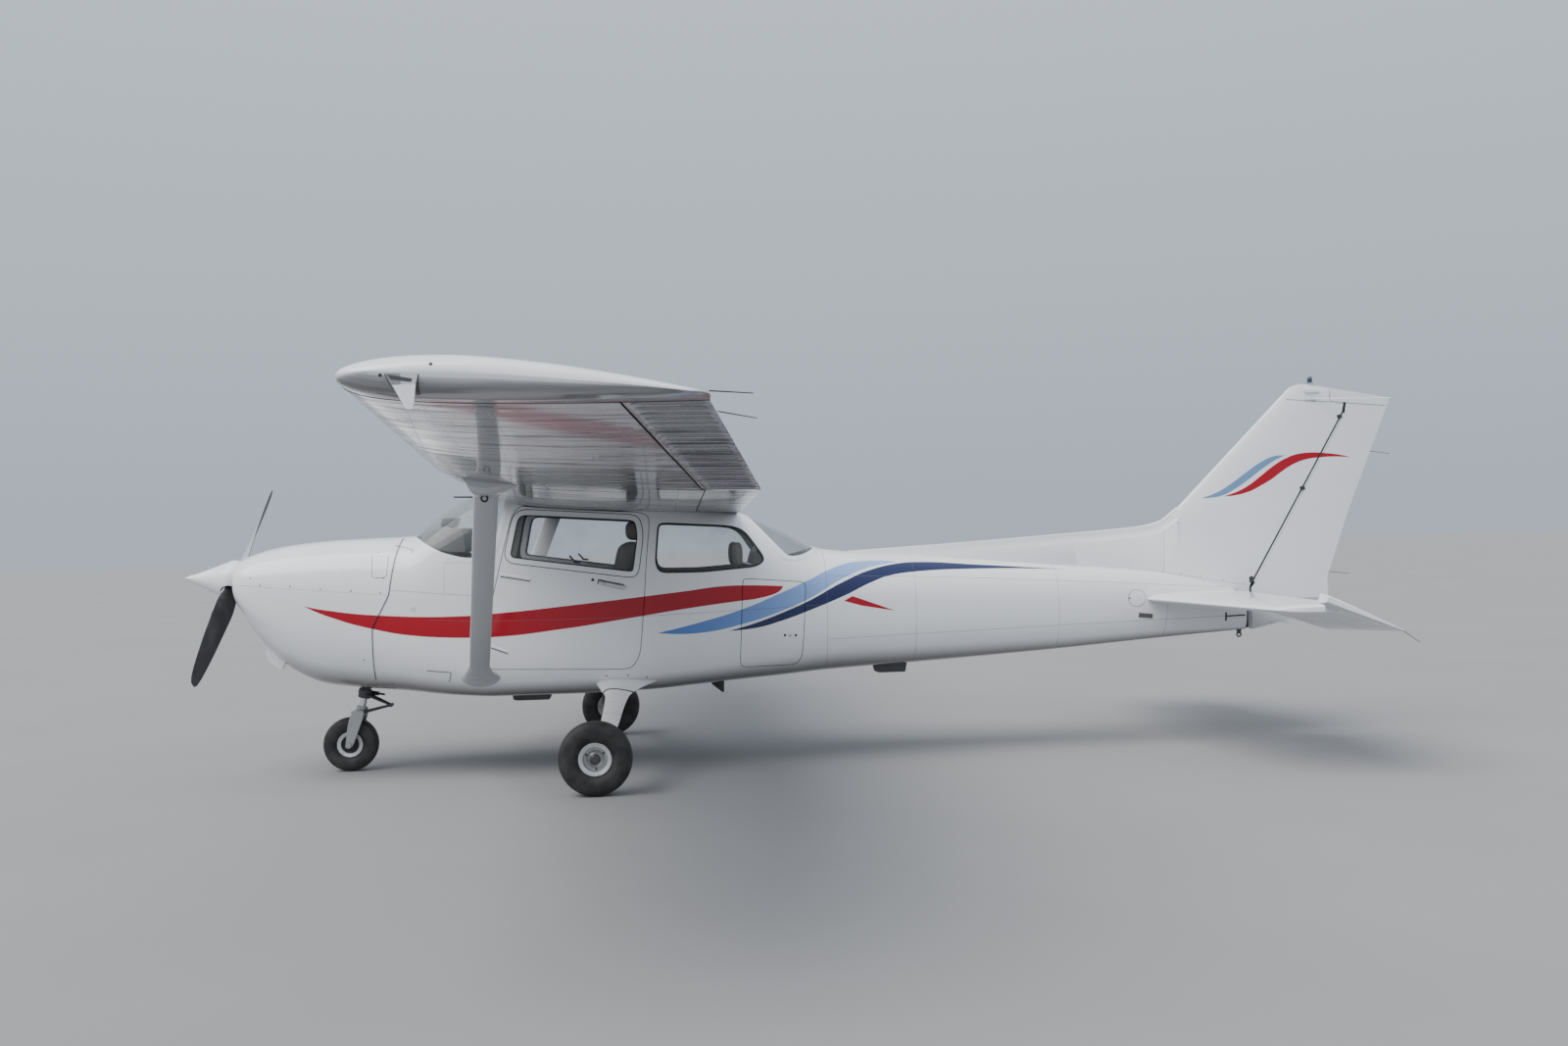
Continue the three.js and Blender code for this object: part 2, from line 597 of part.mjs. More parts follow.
const bladePair = [bladeLean, bladeLean + Math.PI].map((lean) => blade(lean));
const HUB = { ahead: 50, behind: -108, radius: 62, room: 4 };
const propHub = rod(alongThrust(HUB.ahead), alongThrust(HUB.behind), HUB.radius);
addPiece('propeller', joined([propHub, ...bladePair]), 'black');
const SPINNER_BASE = -36;
const SPINNER_PROFILE = [
  // radius, distance ahead of the propeller's plane
  [0, SPINNER_BASE], [134, SPINNER_BASE], [137, 10], [126, 100], [98, 195], [54, 282], [20, 318], [0, 323],
];
const SLOT = { radius: 66, length: 400, sides: 12 };
const bladeSlots = [bladeLean, bladeLean + Math.PI].map((lean) => placed(
  solidOf(new THREE.CylinderGeometry(SLOT.radius, SLOT.radius, SLOT.length, SLOT.sides)),
  bladeMatrix(lean).multiply(new THREE.Matrix4().makeTranslation(0, SLOT.length / 2, 0)),
));
const hubClear = rod(alongThrust(HUB.ahead + HUB.room), alongThrust(SPINNER_BASE - 10), HUB.radius + HUB.room);
const spinner = turned(SPINNER_PROFILE, PROP_HUB, FORWARD);
addPiece('spinner', mainBody(cutBy(spinner, [...bladeSlots, hubClear])), 'white');

// Wings: solid, with coves for the aileron and the flap
function wingMid(y, x) {
  const [, leadX, leadZ, trailX, trailZ, thickness] = wingRow(y);
  const chord = trailX - leadX;
  const t = (x - leadX) / chord;
  const half = halfThickness(t, thickness) * chord;
  const camber = (WING_CAMBER / 0.36) * (0.2 + 0.8 * t - t ** 2) * chord;
  return { z: THREE.MathUtils.lerp(leadZ, trailZ, t) + camber, half };
}

const AILERON = { inner: 2557, outer: 5273, innerFront: 2075, outerFront: 1752 };
const FLAP = { inner: 608, outer: 2544, front: 2090 };
const COVE_INNER = 600;

// A control surface's hinge at its nose: the front edge's station and the half thickness there
function noseAt(y, front) {
  const guess = wingMid(y, front + 36).half;
  const x = front + guess;
  const { z, half } = wingMid(y, x);
  return { point: [x, y, z], radius: half };
}

function controlSurface(inner, outer, reach) {
  const [a, b] = [inner.point, outer.point];
  const plan = [[a[0], a[1]], [reach, a[1]], [reach, b[1]], [b[0], b[1]]];
  const slab = wingSlab([a[1], b[1]]).intersect(planPrism(plan, 0, FAR));
  return slab.add(rod(a, b, inner.radius - 1, outer.radius - 1, 20));
}

function cove(inner, outer, yLow, yHigh, reach) {
  const [a, b] = [new THREE.Vector3(...inner.point), new THREE.Vector3(...outer.point)];
  const at = (y) => a.clone().lerp(b, (y - a.y) / (b.y - a.y));
  const [low, high] = [at(yLow), at(yHigh)];
  const plan = [[low.x, yLow], [reach, yLow], [reach, yHigh], [high.x, yHigh]];
  const round = rod(low.toArray(), high.toArray(), inner.radius + MOVE_GAP, outer.radius + MOVE_GAP, 20);
  return planPrism(plan, 0, FAR).add(round);
}

const aileronNose = [
  noseAt(AILERON.inner, AILERON.innerFront),
  noseAt(AILERON.outer, AILERON.outerFront),
];
const flapNose = [noseAt(FLAP.inner, FLAP.front), noseAt(FLAP.outer, FLAP.front)];
const WING_REACH = 2500;
const wing = cutBy(wingSlab([WING_ROOT + FIT_GAP, WING_KINK, WING_TIP_RIB]), [
  cove(...aileronNose, WING_KINK, WING_TIP_RIB + 1, WING_REACH),
  cove(...flapNose, COVE_INNER, WING_KINK, WING_REACH),
]);
const sparPlan = [[700, 500], [2066, 500], [2066, WING_KINK], [1738, 5200], [700, 5200]];
const wingHollow = wingSlab([WING_ROOT, WING_KINK, 5200], -SURFACE_SKIN).intersect(planPrism(sparPlan, 0, FAR));

addPair('wing', mainBody(wing.subtract(wingHollow)), 'wing');
addPair('aileron', controlSurface(...aileronNose, WING_REACH), 'wing');
addPair('flap', controlSurface(...flapNose, WING_REACH), 'wing');

const TIP_ROWS = [
  // distance out from the tip rib, leading edge setback, trailing edge setback, thickness ratio
  [FIT_GAP, 0, 0, 0.12],
  [110, 6, 0, 0.112],
  [180, 34, 14, 0.088],
  [220, 110, 60, 0.05],
];
const TIP_RISE = 0.036;
const wingTip = loft(TIP_ROWS.map(([out, leadBack, trailBack, thickness]) => {
  const [, leadX, leadZ, trailX, trailZ] = wingRow(WING_TIP_RIB);
  const rise = out * TIP_RISE;
  return profileRing([leadX + leadBack, leadZ + rise], [trailX - trailBack, trailZ + rise],
    WING_TIP_RIB + out, thickness, WING_CAMBER);
}));
const TIP_LAMP = { outline: [[1100, 2012], [1126, 1962], [1188, 1950], [1204, 2012]], y: 5400, width: 90 };
addPair('wing_tip', wingTip.add(plate(TIP_LAMP.outline, TIP_LAMP.y, TIP_LAMP.width)), 'wing');

// A flat lug with a hole for a tie-down hook
const LUG = { root: 26, side: 22, tip: 10, bore: 12 };
function tieDownLug(x, y, zTop, zHole) {
  const outline = [
    [x - LUG.root, zTop], [x - LUG.side, zHole - LUG.tip], [x - LUG.tip, zHole - LUG.side],
    [x + LUG.tip, zHole - LUG.side], [x + LUG.side, zHole - LUG.tip], [x + LUG.root, zTop],
  ];
  const hole = rod([x, y - LUG_THICKNESS, zHole], [x, y + LUG_THICKNESS, zHole], LUG.bore, LUG.bore, 12);
  return plate(outline, y, LUG_THICKNESS).subtract(hole);
}

// Lift struts: a streamlined tube with a fairing at each end and a tie-down lug near its top
const STRUT_ROWS = [
  // y, leading station, trailing station, height, thickness ratio
  [520, 618, 852, 640, 0.34],
  [580, 640, 815, 678, 0.34],
  [660, 676, 803, 727, 0.36],
  [2380, 948, 1074, 1736, 0.36],
  [2470, 930, 1110, 1788, 0.36],
  [2540, 905, 1180, 1830, 0.34],
];
const strut = loft(STRUT_ROWS.map(([y, lead, trail, height, thickness]) => (
  profileRing([lead, height], [trail, height - 8], y, thickness, 0))));
const fuselageClear = fuselageBody(CABIN_STATIONS, -FIT_GAP);
const wingClear = wingSlab([WING_ROOT, WING_KINK, WING_TIP_RIB], FIT_GAP * 2);
const STRUT_LUG = { x: 1010, y: 2440, top: 1765, hole: 1718 };
const strutLug = tieDownLug(STRUT_LUG.x, STRUT_LUG.y, STRUT_LUG.top, STRUT_LUG.hole);
addPair('strut', mainBody(cutBy(strut, [fuselageClear, wingClear])).add(strutLug), 'white');

// Tail cone, stabilizer and elevators
const TAIL_HEIGHT = 985;
const ELEVATOR_HINGE = 5860;
const ELEVATOR_DROOP = 23;
const TAIL_ROWS = [
  // y, leading edge station, trailing edge station, thickness ratio
  [0, 5183, 6500, 0.07],
  [1600, 5405, 6242, 0.07],
  [1700, 5428, 6226, 0.066],
  [1727, 5460, 6210, 0.052],
];

function tailRow(y) {
  const at = Math.max(1, TAIL_ROWS.findIndex((row) => row[0] >= y));
  const [low, high] = [TAIL_ROWS[at - 1], TAIL_ROWS[at]];
  const t = (y - low[0]) / (high[0] - low[0]);
  return low.map((value, column) => THREE.MathUtils.lerp(value, high[column], t));
}

function tailRing(y, grow = 0) {
  const [, lead, trail, thickness] = tailRow(y);
  return profileRing([lead, TAIL_HEIGHT], [trail, TAIL_HEIGHT], y, thickness, 0, grow);
}

function tailHalf(y) {
  const [, lead, trail, thickness] = tailRow(y);
  const t = (ELEVATOR_HINGE - lead) / (trail - lead);
  return halfThickness(t, thickness) * (trail - lead);
}

const tailYs = TAIL_ROWS.map((row) => row[0]);
const tailSlab = (grow) => {
  const half = loft(tailYs.map((y) => tailRing(y, grow)));
  return half.add(mirrored(half));
};
const HORN = { front: 5712, inner: 1608 };
const ELEVATOR_INNER = 112;
const hingePoint = (y) => [ELEVATOR_HINGE, y, TAIL_HEIGHT];
const elevatorCove = joined([
  box(ELEVATOR_HINGE, FAR, -2000, 2000, 0, FAR),
  ...[-1, 1].map((side) => rod(
    hingePoint(0), hingePoint(side * 1600), tailHalf(0) + MOVE_GAP + 1, tailHalf(1600) + MOVE_GAP + 1, 20,
  )),
  ...[-1, 1].map((side) => box(
    HORN.front - MOVE_GAP - 2, FAR,
    Math.min(side * (HORN.inner - MOVE_GAP - 2), side * 1800),
    Math.max(side * (HORN.inner - MOVE_GAP - 2), side * 1800),
    0, FAR,
  )),
]);
const stabilizerHollow = loft([-1585, 0, 1585].map((y) => {
  const ring = tailRing(Math.abs(y), -SURFACE_SKIN);
  return ring.map((point) => point.setY(y));
}));
const stabilizer = mainBody(cutBy(tailSlab(0), [elevatorCove, stabilizerHollow]));
addPiece('stabilizer', stabilizer, 'white');

const TAB = { inner: 340, outer: 1180, chord: 135 };
const tabEdge = (y) => tailRow(y)[2] - TAB.chord;
const elevatorPlan = [
  [ELEVATOR_HINGE, ELEVATOR_INNER], [6520, 310], [6520, 1727], [HORN.front, 1727],
  [HORN.front, HORN.inner], [ELEVATOR_HINGE, HORN.inner],
];
const tabOpening = planPrism([
  [tabEdge(TAB.inner) - MOVE_GAP, TAB.inner - MOVE_GAP], [6600, TAB.inner - MOVE_GAP],
  [6600, TAB.outer + MOVE_GAP], [tabEdge(TAB.outer) - MOVE_GAP, TAB.outer + MOVE_GAP],
], 0, FAR);
const elevatorSparPlan = [[ELEVATOR_HINGE + 14, 50], [6520, 250], [6520, 1590], [ELEVATOR_HINGE + 14, 1590]];
const elevatorHollow = loft(tailYs.slice(0, 2).map((y) => tailRing(y, -SURFACE_SKIN)))
  .intersect(planPrism(elevatorSparPlan, 0, FAR));
const elevatorSkin = tailSlab(0).intersect(planPrism(elevatorPlan, 0, FAR)).subtract(elevatorHollow);
const elevatorHalf = elevatorSkin.add(rod(
  hingePoint(ELEVATOR_INNER), hingePoint(HORN.inner),
  tailHalf(ELEVATOR_INNER) - 1, tailHalf(HORN.inner) - 1, 20,
));
const torqueTube = rod(hingePoint(-ELEVATOR_INNER - 5), hingePoint(ELEVATOR_INNER + 5), 20);
const droop = turnAbout([ELEVATOR_HINGE, 0, TAIL_HEIGHT], [0, 1, 0], ELEVATOR_DROOP);
const elevator = joined([elevatorHalf.subtract(tabOpening), mirrored(elevatorHalf), torqueTube]);
addPiece('elevator', mainBody(placed(elevator, droop)), 'white');

const tabPlan = [
  [tabEdge(TAB.inner) + 10, TAB.inner], [6600, TAB.inner],
  [6600, TAB.outer], [tabEdge(TAB.outer) + 10, TAB.outer],
];
const tabNose = rod(
  [tabEdge(TAB.inner) + 10, TAB.inner, TAIL_HEIGHT], [tabEdge(TAB.outer) + 10, TAB.outer, TAIL_HEIGHT], 9, 8,
);
const tab = tailSlab(0).intersect(planPrism(tabPlan, 0, FAR)).add(tabNose);
addPiece('trim_tab', placed(tab, droop), 'white');

const TAIL_END = 5940;
const TAIL_SKIN = 4;
const tailHollow = fuselageBody([2900, 3600, 4100, 4600, 5100], TAIL_SKIN);
const tailCone = cutBy(fuselageBody(TAIL_STATIONS, 0), [
  tailHollow,
  tailSlab(FIT_GAP),
  box(ELEVATOR_HINGE - 60, TAIL_END + 10, -200, 200, TAIL_HEIGHT - 50, TAIL_HEIGHT + 38),
]);
const TAIL_LUG = { x: 5900, top: 770, hole: 722 };
const TAIL_AERIAL = { outline: [[3285, 660], [3320, 540], [3352, 531], [3530, 531], [3552, 660]], width: 34 };
const tailFittings = [
  tieDownLug(TAIL_LUG.x, 0, TAIL_LUG.top, TAIL_LUG.hole),
  plate(TAIL_AERIAL.outline, 0, TAIL_AERIAL.width).subtract(tailHollow),
];
addPiece('tail_cone', joined([mainBody(tailCone), ...tailFittings]), 'white');

// Fin with its dorsal fairing, and the rudder
const FIN_ROWS = [
  // height, leading edge station, trailing edge station, thickness ratio
  [740, 5160, 6560, 0.062],
  [1100, 5240, 6553, 0.068],
  [1560, 5429, 6718, 0.07],
  [2300, 6174, 7025, 0.07],
  [2460, 6335, 7092, 0.06],
];
const FIN_OUTLINE = [
  [4900, 700], [4900, 2000], [6100, 2300], [6290, 2416], [6333, 2445], [6393, 2458], [6594, 2424],
  [TAIL_TIP, 2350], [7034, 2310], [7200, 2310], [7200, 982], [6565, 982], [6271, 812], [5985, 748],
];
const RUDDER_HINGE = { low: [6008, 0, 1079], high: [6696, 0, 2247], lowRadius: 35, highRadius: 21 };
const RUDDER_OUTLINE = [
  [5985, 600], [5985, 1040], [6016, 1079], [6702, 2247], [6714, 2322], [6600, 2334], [6612, 2600],
  [7400, 2600], [7400, 600],
];
const RUDDER_HOLLOW_OUTLINE = [
  [6000, 600], [6004, 1040], [6026, 1079], [6700, 2225], [6960, 2225], [6535, 1160], [6540, 600],
];
const FIN_FRONT_OUTLINE = [
  [4800, 900], [5966, 900], [5966, 1040], [5984, 1079], [6676, 2247], [6692, 2308], [6588, 2320],
  [6600, 2600], [4800, 2600],
];
const DORSAL_ROWS = [
  // station, top, half width at the base, half width at the top
  [3150, 1368, 5, 3],
  [4076, 1414, 14, 5],
  [4629, 1447, 20, 6],
  [4956, 1467, 25, 7],
  [5206, 1488, 30, 9],
  [5339, 1518, 34, 12],
  [5470, 1612, 36, 14],
];
const DORSAL_BASE = 1130;
const finLoft = (grow) => loft(FIN_ROWS.map(([height, lead, trail, thickness]) => (
  profileRing([lead, 0], [trail, 0], 0, thickness, 0, grow)
    .map((point) => new THREE.Vector3(point.x, point.z, height))
)));
const finBlade = finLoft(0).intersect(sidePrism(FIN_OUTLINE, -300, 300));
const finHollow = finLoft(-SURFACE_SKIN).intersect(box(-FAR, FAR, -300, 300, 1200, 2290));
const dorsal = loft(DORSAL_ROWS.map(([station, top, base, crown]) => [
  [base, DORSAL_BASE], [base, top - 2.2 * crown - 60], [crown, top],
  [-crown, top], [-base, top - 2.2 * crown - 60], [-base, DORSAL_BASE],
].map(([y, z]) => new THREE.Vector3(station, y, z))));
const rudderHingeAt = (share) => new THREE.Vector3(...RUDDER_HINGE.low)
  .lerp(new THREE.Vector3(...RUDDER_HINGE.high), share).toArray();
const rudderCove = rod(
  rudderHingeAt(-0.02), rudderHingeAt(1.01),
  RUDDER_HINGE.lowRadius + MOVE_GAP + 1, RUDDER_HINGE.highRadius + MOVE_GAP + 1, 20,
);
const fin = cutBy(
  finBlade.intersect(sidePrism(FIN_FRONT_OUTLINE, -300, 300)).add(dorsal),
  [rudderCove, finHollow, fuselageBody(TAIL_STATIONS, -FIT_GAP)],
);
addPiece('fin', mainBody(fin), 'white');
const rudder = finBlade.intersect(sidePrism(RUDDER_OUTLINE, -300, 300)).add(rod(
  RUDDER_HINGE.low, RUDDER_HINGE.high, RUDDER_HINGE.lowRadius - 1, RUDDER_HINGE.highRadius - 1, 20,
));
const rudderHollow = finLoft(-SURFACE_SKIN).intersect(sidePrism(RUDDER_HOLLOW_OUTLINE, -300, 300));
addPiece('rudder', mainBody(rudder.subtract(rudderHollow)), 'white');
const BEACON = { x: 6463, foot: 2451.5, collar: 2466, top: 2512, footRadius: 26, radius: 16 };
const beaconAt = (height) => [BEACON.x, 0, height];
addPiece('beacon', joined([
  rod(beaconAt(BEACON.foot), beaconAt(BEACON.collar), BEACON.footRadius),
  rod(beaconAt(BEACON.collar - 2), beaconAt(BEACON.top), BEACON.radius),
]), 'beacon');

// Main gear: a tapered spring leg with a fairing at the fuselage and the axle at its end
const MAIN_AXLE = [1473, 1281, 217];
const LEG_ROWS = [
  // y, leading station, trailing station, height, thickness ratio
  [440, 1440, 1850, 578, 0.2],
  [560, 1482, 1720, 536, 0.24],
  [660, 1512, 1660, 502, 0.3],
  [1100, 1490, 1594, 358, 0.3],
  [1150, 1486, 1582, 336, 0.3],
];
const leg = loft(LEG_ROWS.map(([y, lead, trail, height, thickness]) => (
  profileRing([lead, height], [trail, height], y, thickness, 0))));
const AXLE_RADIUS = 19;
const AXLE_REACH = [1150, 1310];
const STUB = { top: [1536, 1120, 352], bottom: [1480, 1168, 217], radius: 26 };
const CALIPER = [MAIN_AXLE[0] - 62, MAIN_AXLE[0] + 36, 1166, 1196, MAIN_AXLE[2] + 20, MAIN_AXLE[2] + 96];
const onMainAxle = (y) => [MAIN_AXLE[0], y, MAIN_AXLE[2]];
const mainGear = joined([
  leg,
  rod(STUB.top, STUB.bottom, STUB.radius),
  rod(...AXLE_REACH.map(onMainAxle), AXLE_RADIUS),
  box(...CALIPER),
]);
addPair('main_gear', mainBody(mainGear.subtract(fuselageClear)), 'white');

// Wheels: a bored hub and its tyre, turned about the axle
function wheelProfiles(outer, rim, halfWidth) {
  const bead = rim + 0.3;
  const shoulder = outer - (outer - rim) * 0.12;
  const wall = (outer + rim) / 2;
  const side = [[bead, 0.73], [wall, 1], [shoulder, 0.76], [outer, 0.38]];
  const loop = [
    ...side.map(([radius, share]) => [radius, -share * halfWidth]),
    ...[...side].reverse().map(([radius, share]) => [radius, share * halfWidth]),
  ];
  const lip = halfWidth * 0.78;
  const hub = [
    [AXLE_RADIUS + 2, -lip * 0.6], [rim * 0.84, -lip * 0.6], [rim * 0.9, -lip], [rim, -lip],
    [rim, lip], [rim * 0.9, lip], [rim * 0.84, lip * 0.6], [AXLE_RADIUS + 2, lip * 0.6],
  ];
  return { tyre: [...loop, loop[0]], hub: [...hub, hub[0]] };
}

const MAIN_WHEEL = wheelProfiles(217, 98, 80);
const HUB_CAP = { from: AXLE_REACH[1] + MOVE_GAP, to: 1340, radius: 32, tipRadius: 22 };
const BRAKE_DISC = { from: 1203, to: 1209, radius: 82 };
const BRAKE_BELL = { to: 1250, radius: 62 };
const mainHub = joined([
  turned(MAIN_WHEEL.hub, MAIN_AXLE, [0, 1, 0]),
  rod(onMainAxle(HUB_CAP.from), onMainAxle(HUB_CAP.to), HUB_CAP.radius, HUB_CAP.tipRadius),
  rod(onMainAxle(BRAKE_DISC.from), onMainAxle(BRAKE_DISC.to), BRAKE_DISC.radius, BRAKE_DISC.radius, 24)
    .add(rod(onMainAxle(BRAKE_DISC.from), onMainAxle(BRAKE_BELL.to), BRAKE_BELL.radius, BRAKE_BELL.radius, 24))
    .subtract(rod(onMainAxle(BRAKE_DISC.from - 1), onMainAxle(BRAKE_BELL.to + 1), AXLE_RADIUS + 2)),
]);
addPair('main_hub', mainHub, 'alloy');
addPair('main_tyre', turned(MAIN_WHEEL.tyre, MAIN_AXLE, [0, 1, 0]), 'tyre');
const NOSE_AXLE = [-194, 0, 177];
const NOSE_WHEEL = wheelProfiles(177, 84, 63);
addPiece('nose_hub', turned(NOSE_WHEEL.hub, NOSE_AXLE, [0, 1, 0]), 'alloy');
addPiece('nose_tyre', turned(NOSE_WHEEL.tyre, NOSE_AXLE, [0, 1, 0]), 'tyre');

// Nose gear: a barrel on the firewall, and the steered leg below it
const STEER_POINT = [-100, 0, 500];
const STEER_LEAN = THREE.MathUtils.degToRad(12);
const onSteerAxis = (height) => [
  STEER_POINT[0] + (height - STEER_POINT[2]) * Math.tan(STEER_LEAN), 0, height,
];
const BARREL = { bottom: 545, top: 900, radius: 34 };
const BRACKET = { front: -60, halfWidth: 55, depth: 30, heights: [640, 850] };
const brackets = BRACKET.heights.map((height) => box(
  BRACKET.front, FIREWALL_FRONT - FIT_GAP, -BRACKET.halfWidth, BRACKET.halfWidth, height, height + BRACKET.depth,
));
addPiece('nose_gear_barrel', joined([
  rod(onSteerAxis(BARREL.bottom), onSteerAxis(BARREL.top), BARREL.radius), ...brackets,
]), 'steel');
const FORK = { front: -172, rear: -98, crown: 372, crownDepth: 26, halfGap: 72, thickness: 16, nut: 20 };
const COLLAR = { top: 538, bottom: 478, radius: 40 };
const PISTON = { top: 500, bottom: 380, radius: 23 };
const LINK_KNEE = { x: 72, z: 425, halfWidth: 30, radius: 13 };
const LINK_ENDS = [[-90, 0, 505], [-105, 0, 385]];
const LINK_RADIUS = 11;
const DAMPER = { y: 58, from: [-150, 520], to: [20, 490], radius: 15 };
const forkArm = [[-175, 392], [-95, 402], [-100, 350], [-172, 160], [-216, 160], [-200, 300]];
const forkArms = [-1, 1].map((side) => {
  const edges = [side * FORK.halfGap, side * (FORK.halfGap + FORK.thickness)].sort((a, b) => a - b);
  return sidePrism(forkArm, ...edges);
});
const forkHalf = FORK.halfGap + FORK.thickness;
const axleHalf = FORK.halfGap + FORK.nut;
const kneeAt = (y) => [LINK_KNEE.x, y, LINK_KNEE.z];
const onNoseAxle = (y) => [NOSE_AXLE[0], y, NOSE_AXLE[2]];
const damperAt = ([x, z], y) => [x, y, z];
addPiece('nose_fork', joined([
  rod(onSteerAxis(COLLAR.top), onSteerAxis(COLLAR.bottom), COLLAR.radius),
  rod(onSteerAxis(PISTON.top), onSteerAxis(PISTON.bottom), PISTON.radius),
  box(FORK.front, FORK.rear, -forkHalf, forkHalf, FORK.crown, FORK.crown + FORK.crownDepth),
  ...forkArms,
  rod(onNoseAxle(-axleHalf), onNoseAxle(axleHalf), AXLE_RADIUS),
  ...LINK_ENDS.map((end) => rod(end, kneeAt(0), LINK_RADIUS, LINK_RADIUS, 8)),
  rod(kneeAt(-LINK_KNEE.halfWidth), kneeAt(LINK_KNEE.halfWidth), LINK_KNEE.radius, LINK_KNEE.radius, 12),
  rod(damperAt(DAMPER.from, DAMPER.y), damperAt(DAMPER.to, DAMPER.y), DAMPER.radius, DAMPER.radius, 12),
  rod(onSteerAxis(505), damperAt(DAMPER.from.map((value, k) => (value + DAMPER.to[k]) / 2), DAMPER.y), 12, 12, 8),
]), 'steel');

// Cabin fittings that show through the glass
const FLOOR_TOP = FLOOR_HEIGHT + FIT_GAP;
const FRONT_SEAT = {
  base: [1200, 1560, 150, 410, FLOOR_TOP, 860],
  cushion: [1130, 1640, 105, 445, 850, 965],
  back: [[1540, 900], [1670, 890], [1775, 1480], [1745, 1500], [1670, 1490]],
  backReach: [115, 440],
  headRest: [[1690, 1470], [1775, 1475], [1796, 1585], [1780, 1602], [1728, 1600], [1712, 1585]],
  headRestReach: [170, 385],
};
const REAR_SEAT = {
  base: [2060, 2400, -390, 390, 590, 900],
  cushion: [2010, 2470, -440, 440, 890, 990],
  back: [[2380, 940], [2500, 930], [2620, 1420], [2590, 1460], [2530, 1450]],
  backReach: [-430, 430],
  sideRoom: 12,
};
addPair('front_seat', joined([
  box(...FRONT_SEAT.base),
  box(...FRONT_SEAT.cushion),
  sidePrism(FRONT_SEAT.back, ...FRONT_SEAT.backReach),
  sidePrism(FRONT_SEAT.headRest, ...FRONT_SEAT.headRestReach),
]), 'seat');
const rearSeat = joined([
  box(...REAR_SEAT.base),
  box(...REAR_SEAT.cushion),
  sidePrism(REAR_SEAT.back, ...REAR_SEAT.backReach),
]).intersect(aboveFloorSeam).intersect(fuselageBody(INNER_STATIONS, WALL_THICKNESS + REAR_SEAT.sideRoom));
addPiece('rear_seat', rearSeat, 'seat');

const PANEL_OUTLINE = [
  [290, 1470], [540, 1432], [565, 1410], [520, 1392], [500, 1040], [465, 1040], [470, 1380], [285, 1425],
];
const YOKE = { y: 230, halfWidth: 110, x: 692, root: [480, 1175], z: 1198, hornTop: 1285, radius: 12 };
const yokes = [-1, 1].flatMap((side) => {
  const middle = side * YOKE.y;
  const spot = (aside, height) => [YOKE.x, middle + aside, height];
  return [
    rod([YOKE.root[0], middle, YOKE.root[1]], spot(0, YOKE.z), YOKE.radius, YOKE.radius, 12),
    bentRod([
      spot(-YOKE.halfWidth, YOKE.hornTop), spot(-YOKE.halfWidth, YOKE.z),
      spot(YOKE.halfWidth, YOKE.z), spot(YOKE.halfWidth, YOKE.hornTop),
    ], YOKE.radius),
  ];
});
const PANEL_HALF = 440;
const panel = sidePrism(PANEL_OUTLINE, -PANEL_HALF, PANEL_HALF)
  .intersect(fuselageBody(INNER_STATIONS, BULKHEAD_INSET));
addPiece('instrument_panel', joined([panel, ...yokes]), 'trim');

// The origin stands on the ground below the middle of the aircraft's length
const LENGTH_MIDDLE = (NOSE_TIP + TAIL_TIP) / 2;
aircraft.position.x = -LENGTH_MIDDLE;

export default aircraft;
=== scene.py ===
"""Looks of a four-seat, high-wing light aircraft on fixed tricycle gear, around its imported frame.

Tables are in millimetres: stations aft of the firewall, distances out from the plane of symmetry
and heights above the ground. Meshes are in the frame's metres.
"""

import logging
import math
from collections.abc import Callable, Iterable, Sequence
from dataclasses import dataclass
from enum import Enum

import bmesh
import bpy
import numpy as np
from mathutils import Matrix, Vector
from mathutils.bvhtree import BVHTree
from mathutils.interpolate import poly_3d_calc


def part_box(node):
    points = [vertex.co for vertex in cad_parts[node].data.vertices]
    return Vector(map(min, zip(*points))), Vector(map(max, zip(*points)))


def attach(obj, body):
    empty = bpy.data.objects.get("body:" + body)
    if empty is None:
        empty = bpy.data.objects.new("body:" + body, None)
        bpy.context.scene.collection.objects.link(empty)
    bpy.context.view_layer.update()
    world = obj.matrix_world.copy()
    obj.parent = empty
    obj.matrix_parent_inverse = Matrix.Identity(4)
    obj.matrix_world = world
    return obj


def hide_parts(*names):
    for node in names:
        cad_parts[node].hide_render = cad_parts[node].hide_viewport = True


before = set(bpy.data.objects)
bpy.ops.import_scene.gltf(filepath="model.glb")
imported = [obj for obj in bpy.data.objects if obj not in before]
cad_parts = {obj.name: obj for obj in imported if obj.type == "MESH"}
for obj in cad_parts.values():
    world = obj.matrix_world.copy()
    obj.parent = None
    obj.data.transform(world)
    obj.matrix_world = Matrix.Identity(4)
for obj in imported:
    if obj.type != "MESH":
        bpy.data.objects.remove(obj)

LOG = logging.getLogger("aircraft")
MM = 0.001
FIREWALL_FRONT = 52.0
CABIN_FRONT = 30.0
CABIN_REAR = 2955.0
HAIR = 0.3
STATION_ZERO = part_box("firewall")[0].x - FIREWALL_FRONT * MM
FAR = 9000.0

Colour = tuple[float, float, float]
Flat = tuple[float, float]
Spot = tuple[float, float, float]


class Cut(Enum):
    """The ways in which one closed mesh changes another."""

    JOIN = "UNION"
    TAKE = "DIFFERENCE"
    KEEP = "INTERSECT"


class Side(Enum):
    """The two sides of the aircraft, by the sign of Y."""

    RIGHT = 1
    LEFT = -1


class Plane(Enum):
    """The direction along which an outline becomes a prism."""

    SIDE = "y"
    PLAN = "z"
    FRONT = "x"


# Conversions and small geometry


def to_frame(points: np.ndarray | Sequence) -> np.ndarray:
    """Turns stations and heights in millimetres into frame metres.

    Args:
        points: any array whose last axis is station, distance out and height.

    Returns:
        The same array in metres, with stations counted from the frame's origin.
    """
    moved = np.array(points, float) * MM
    moved[..., 0] += STATION_ZERO
    return moved


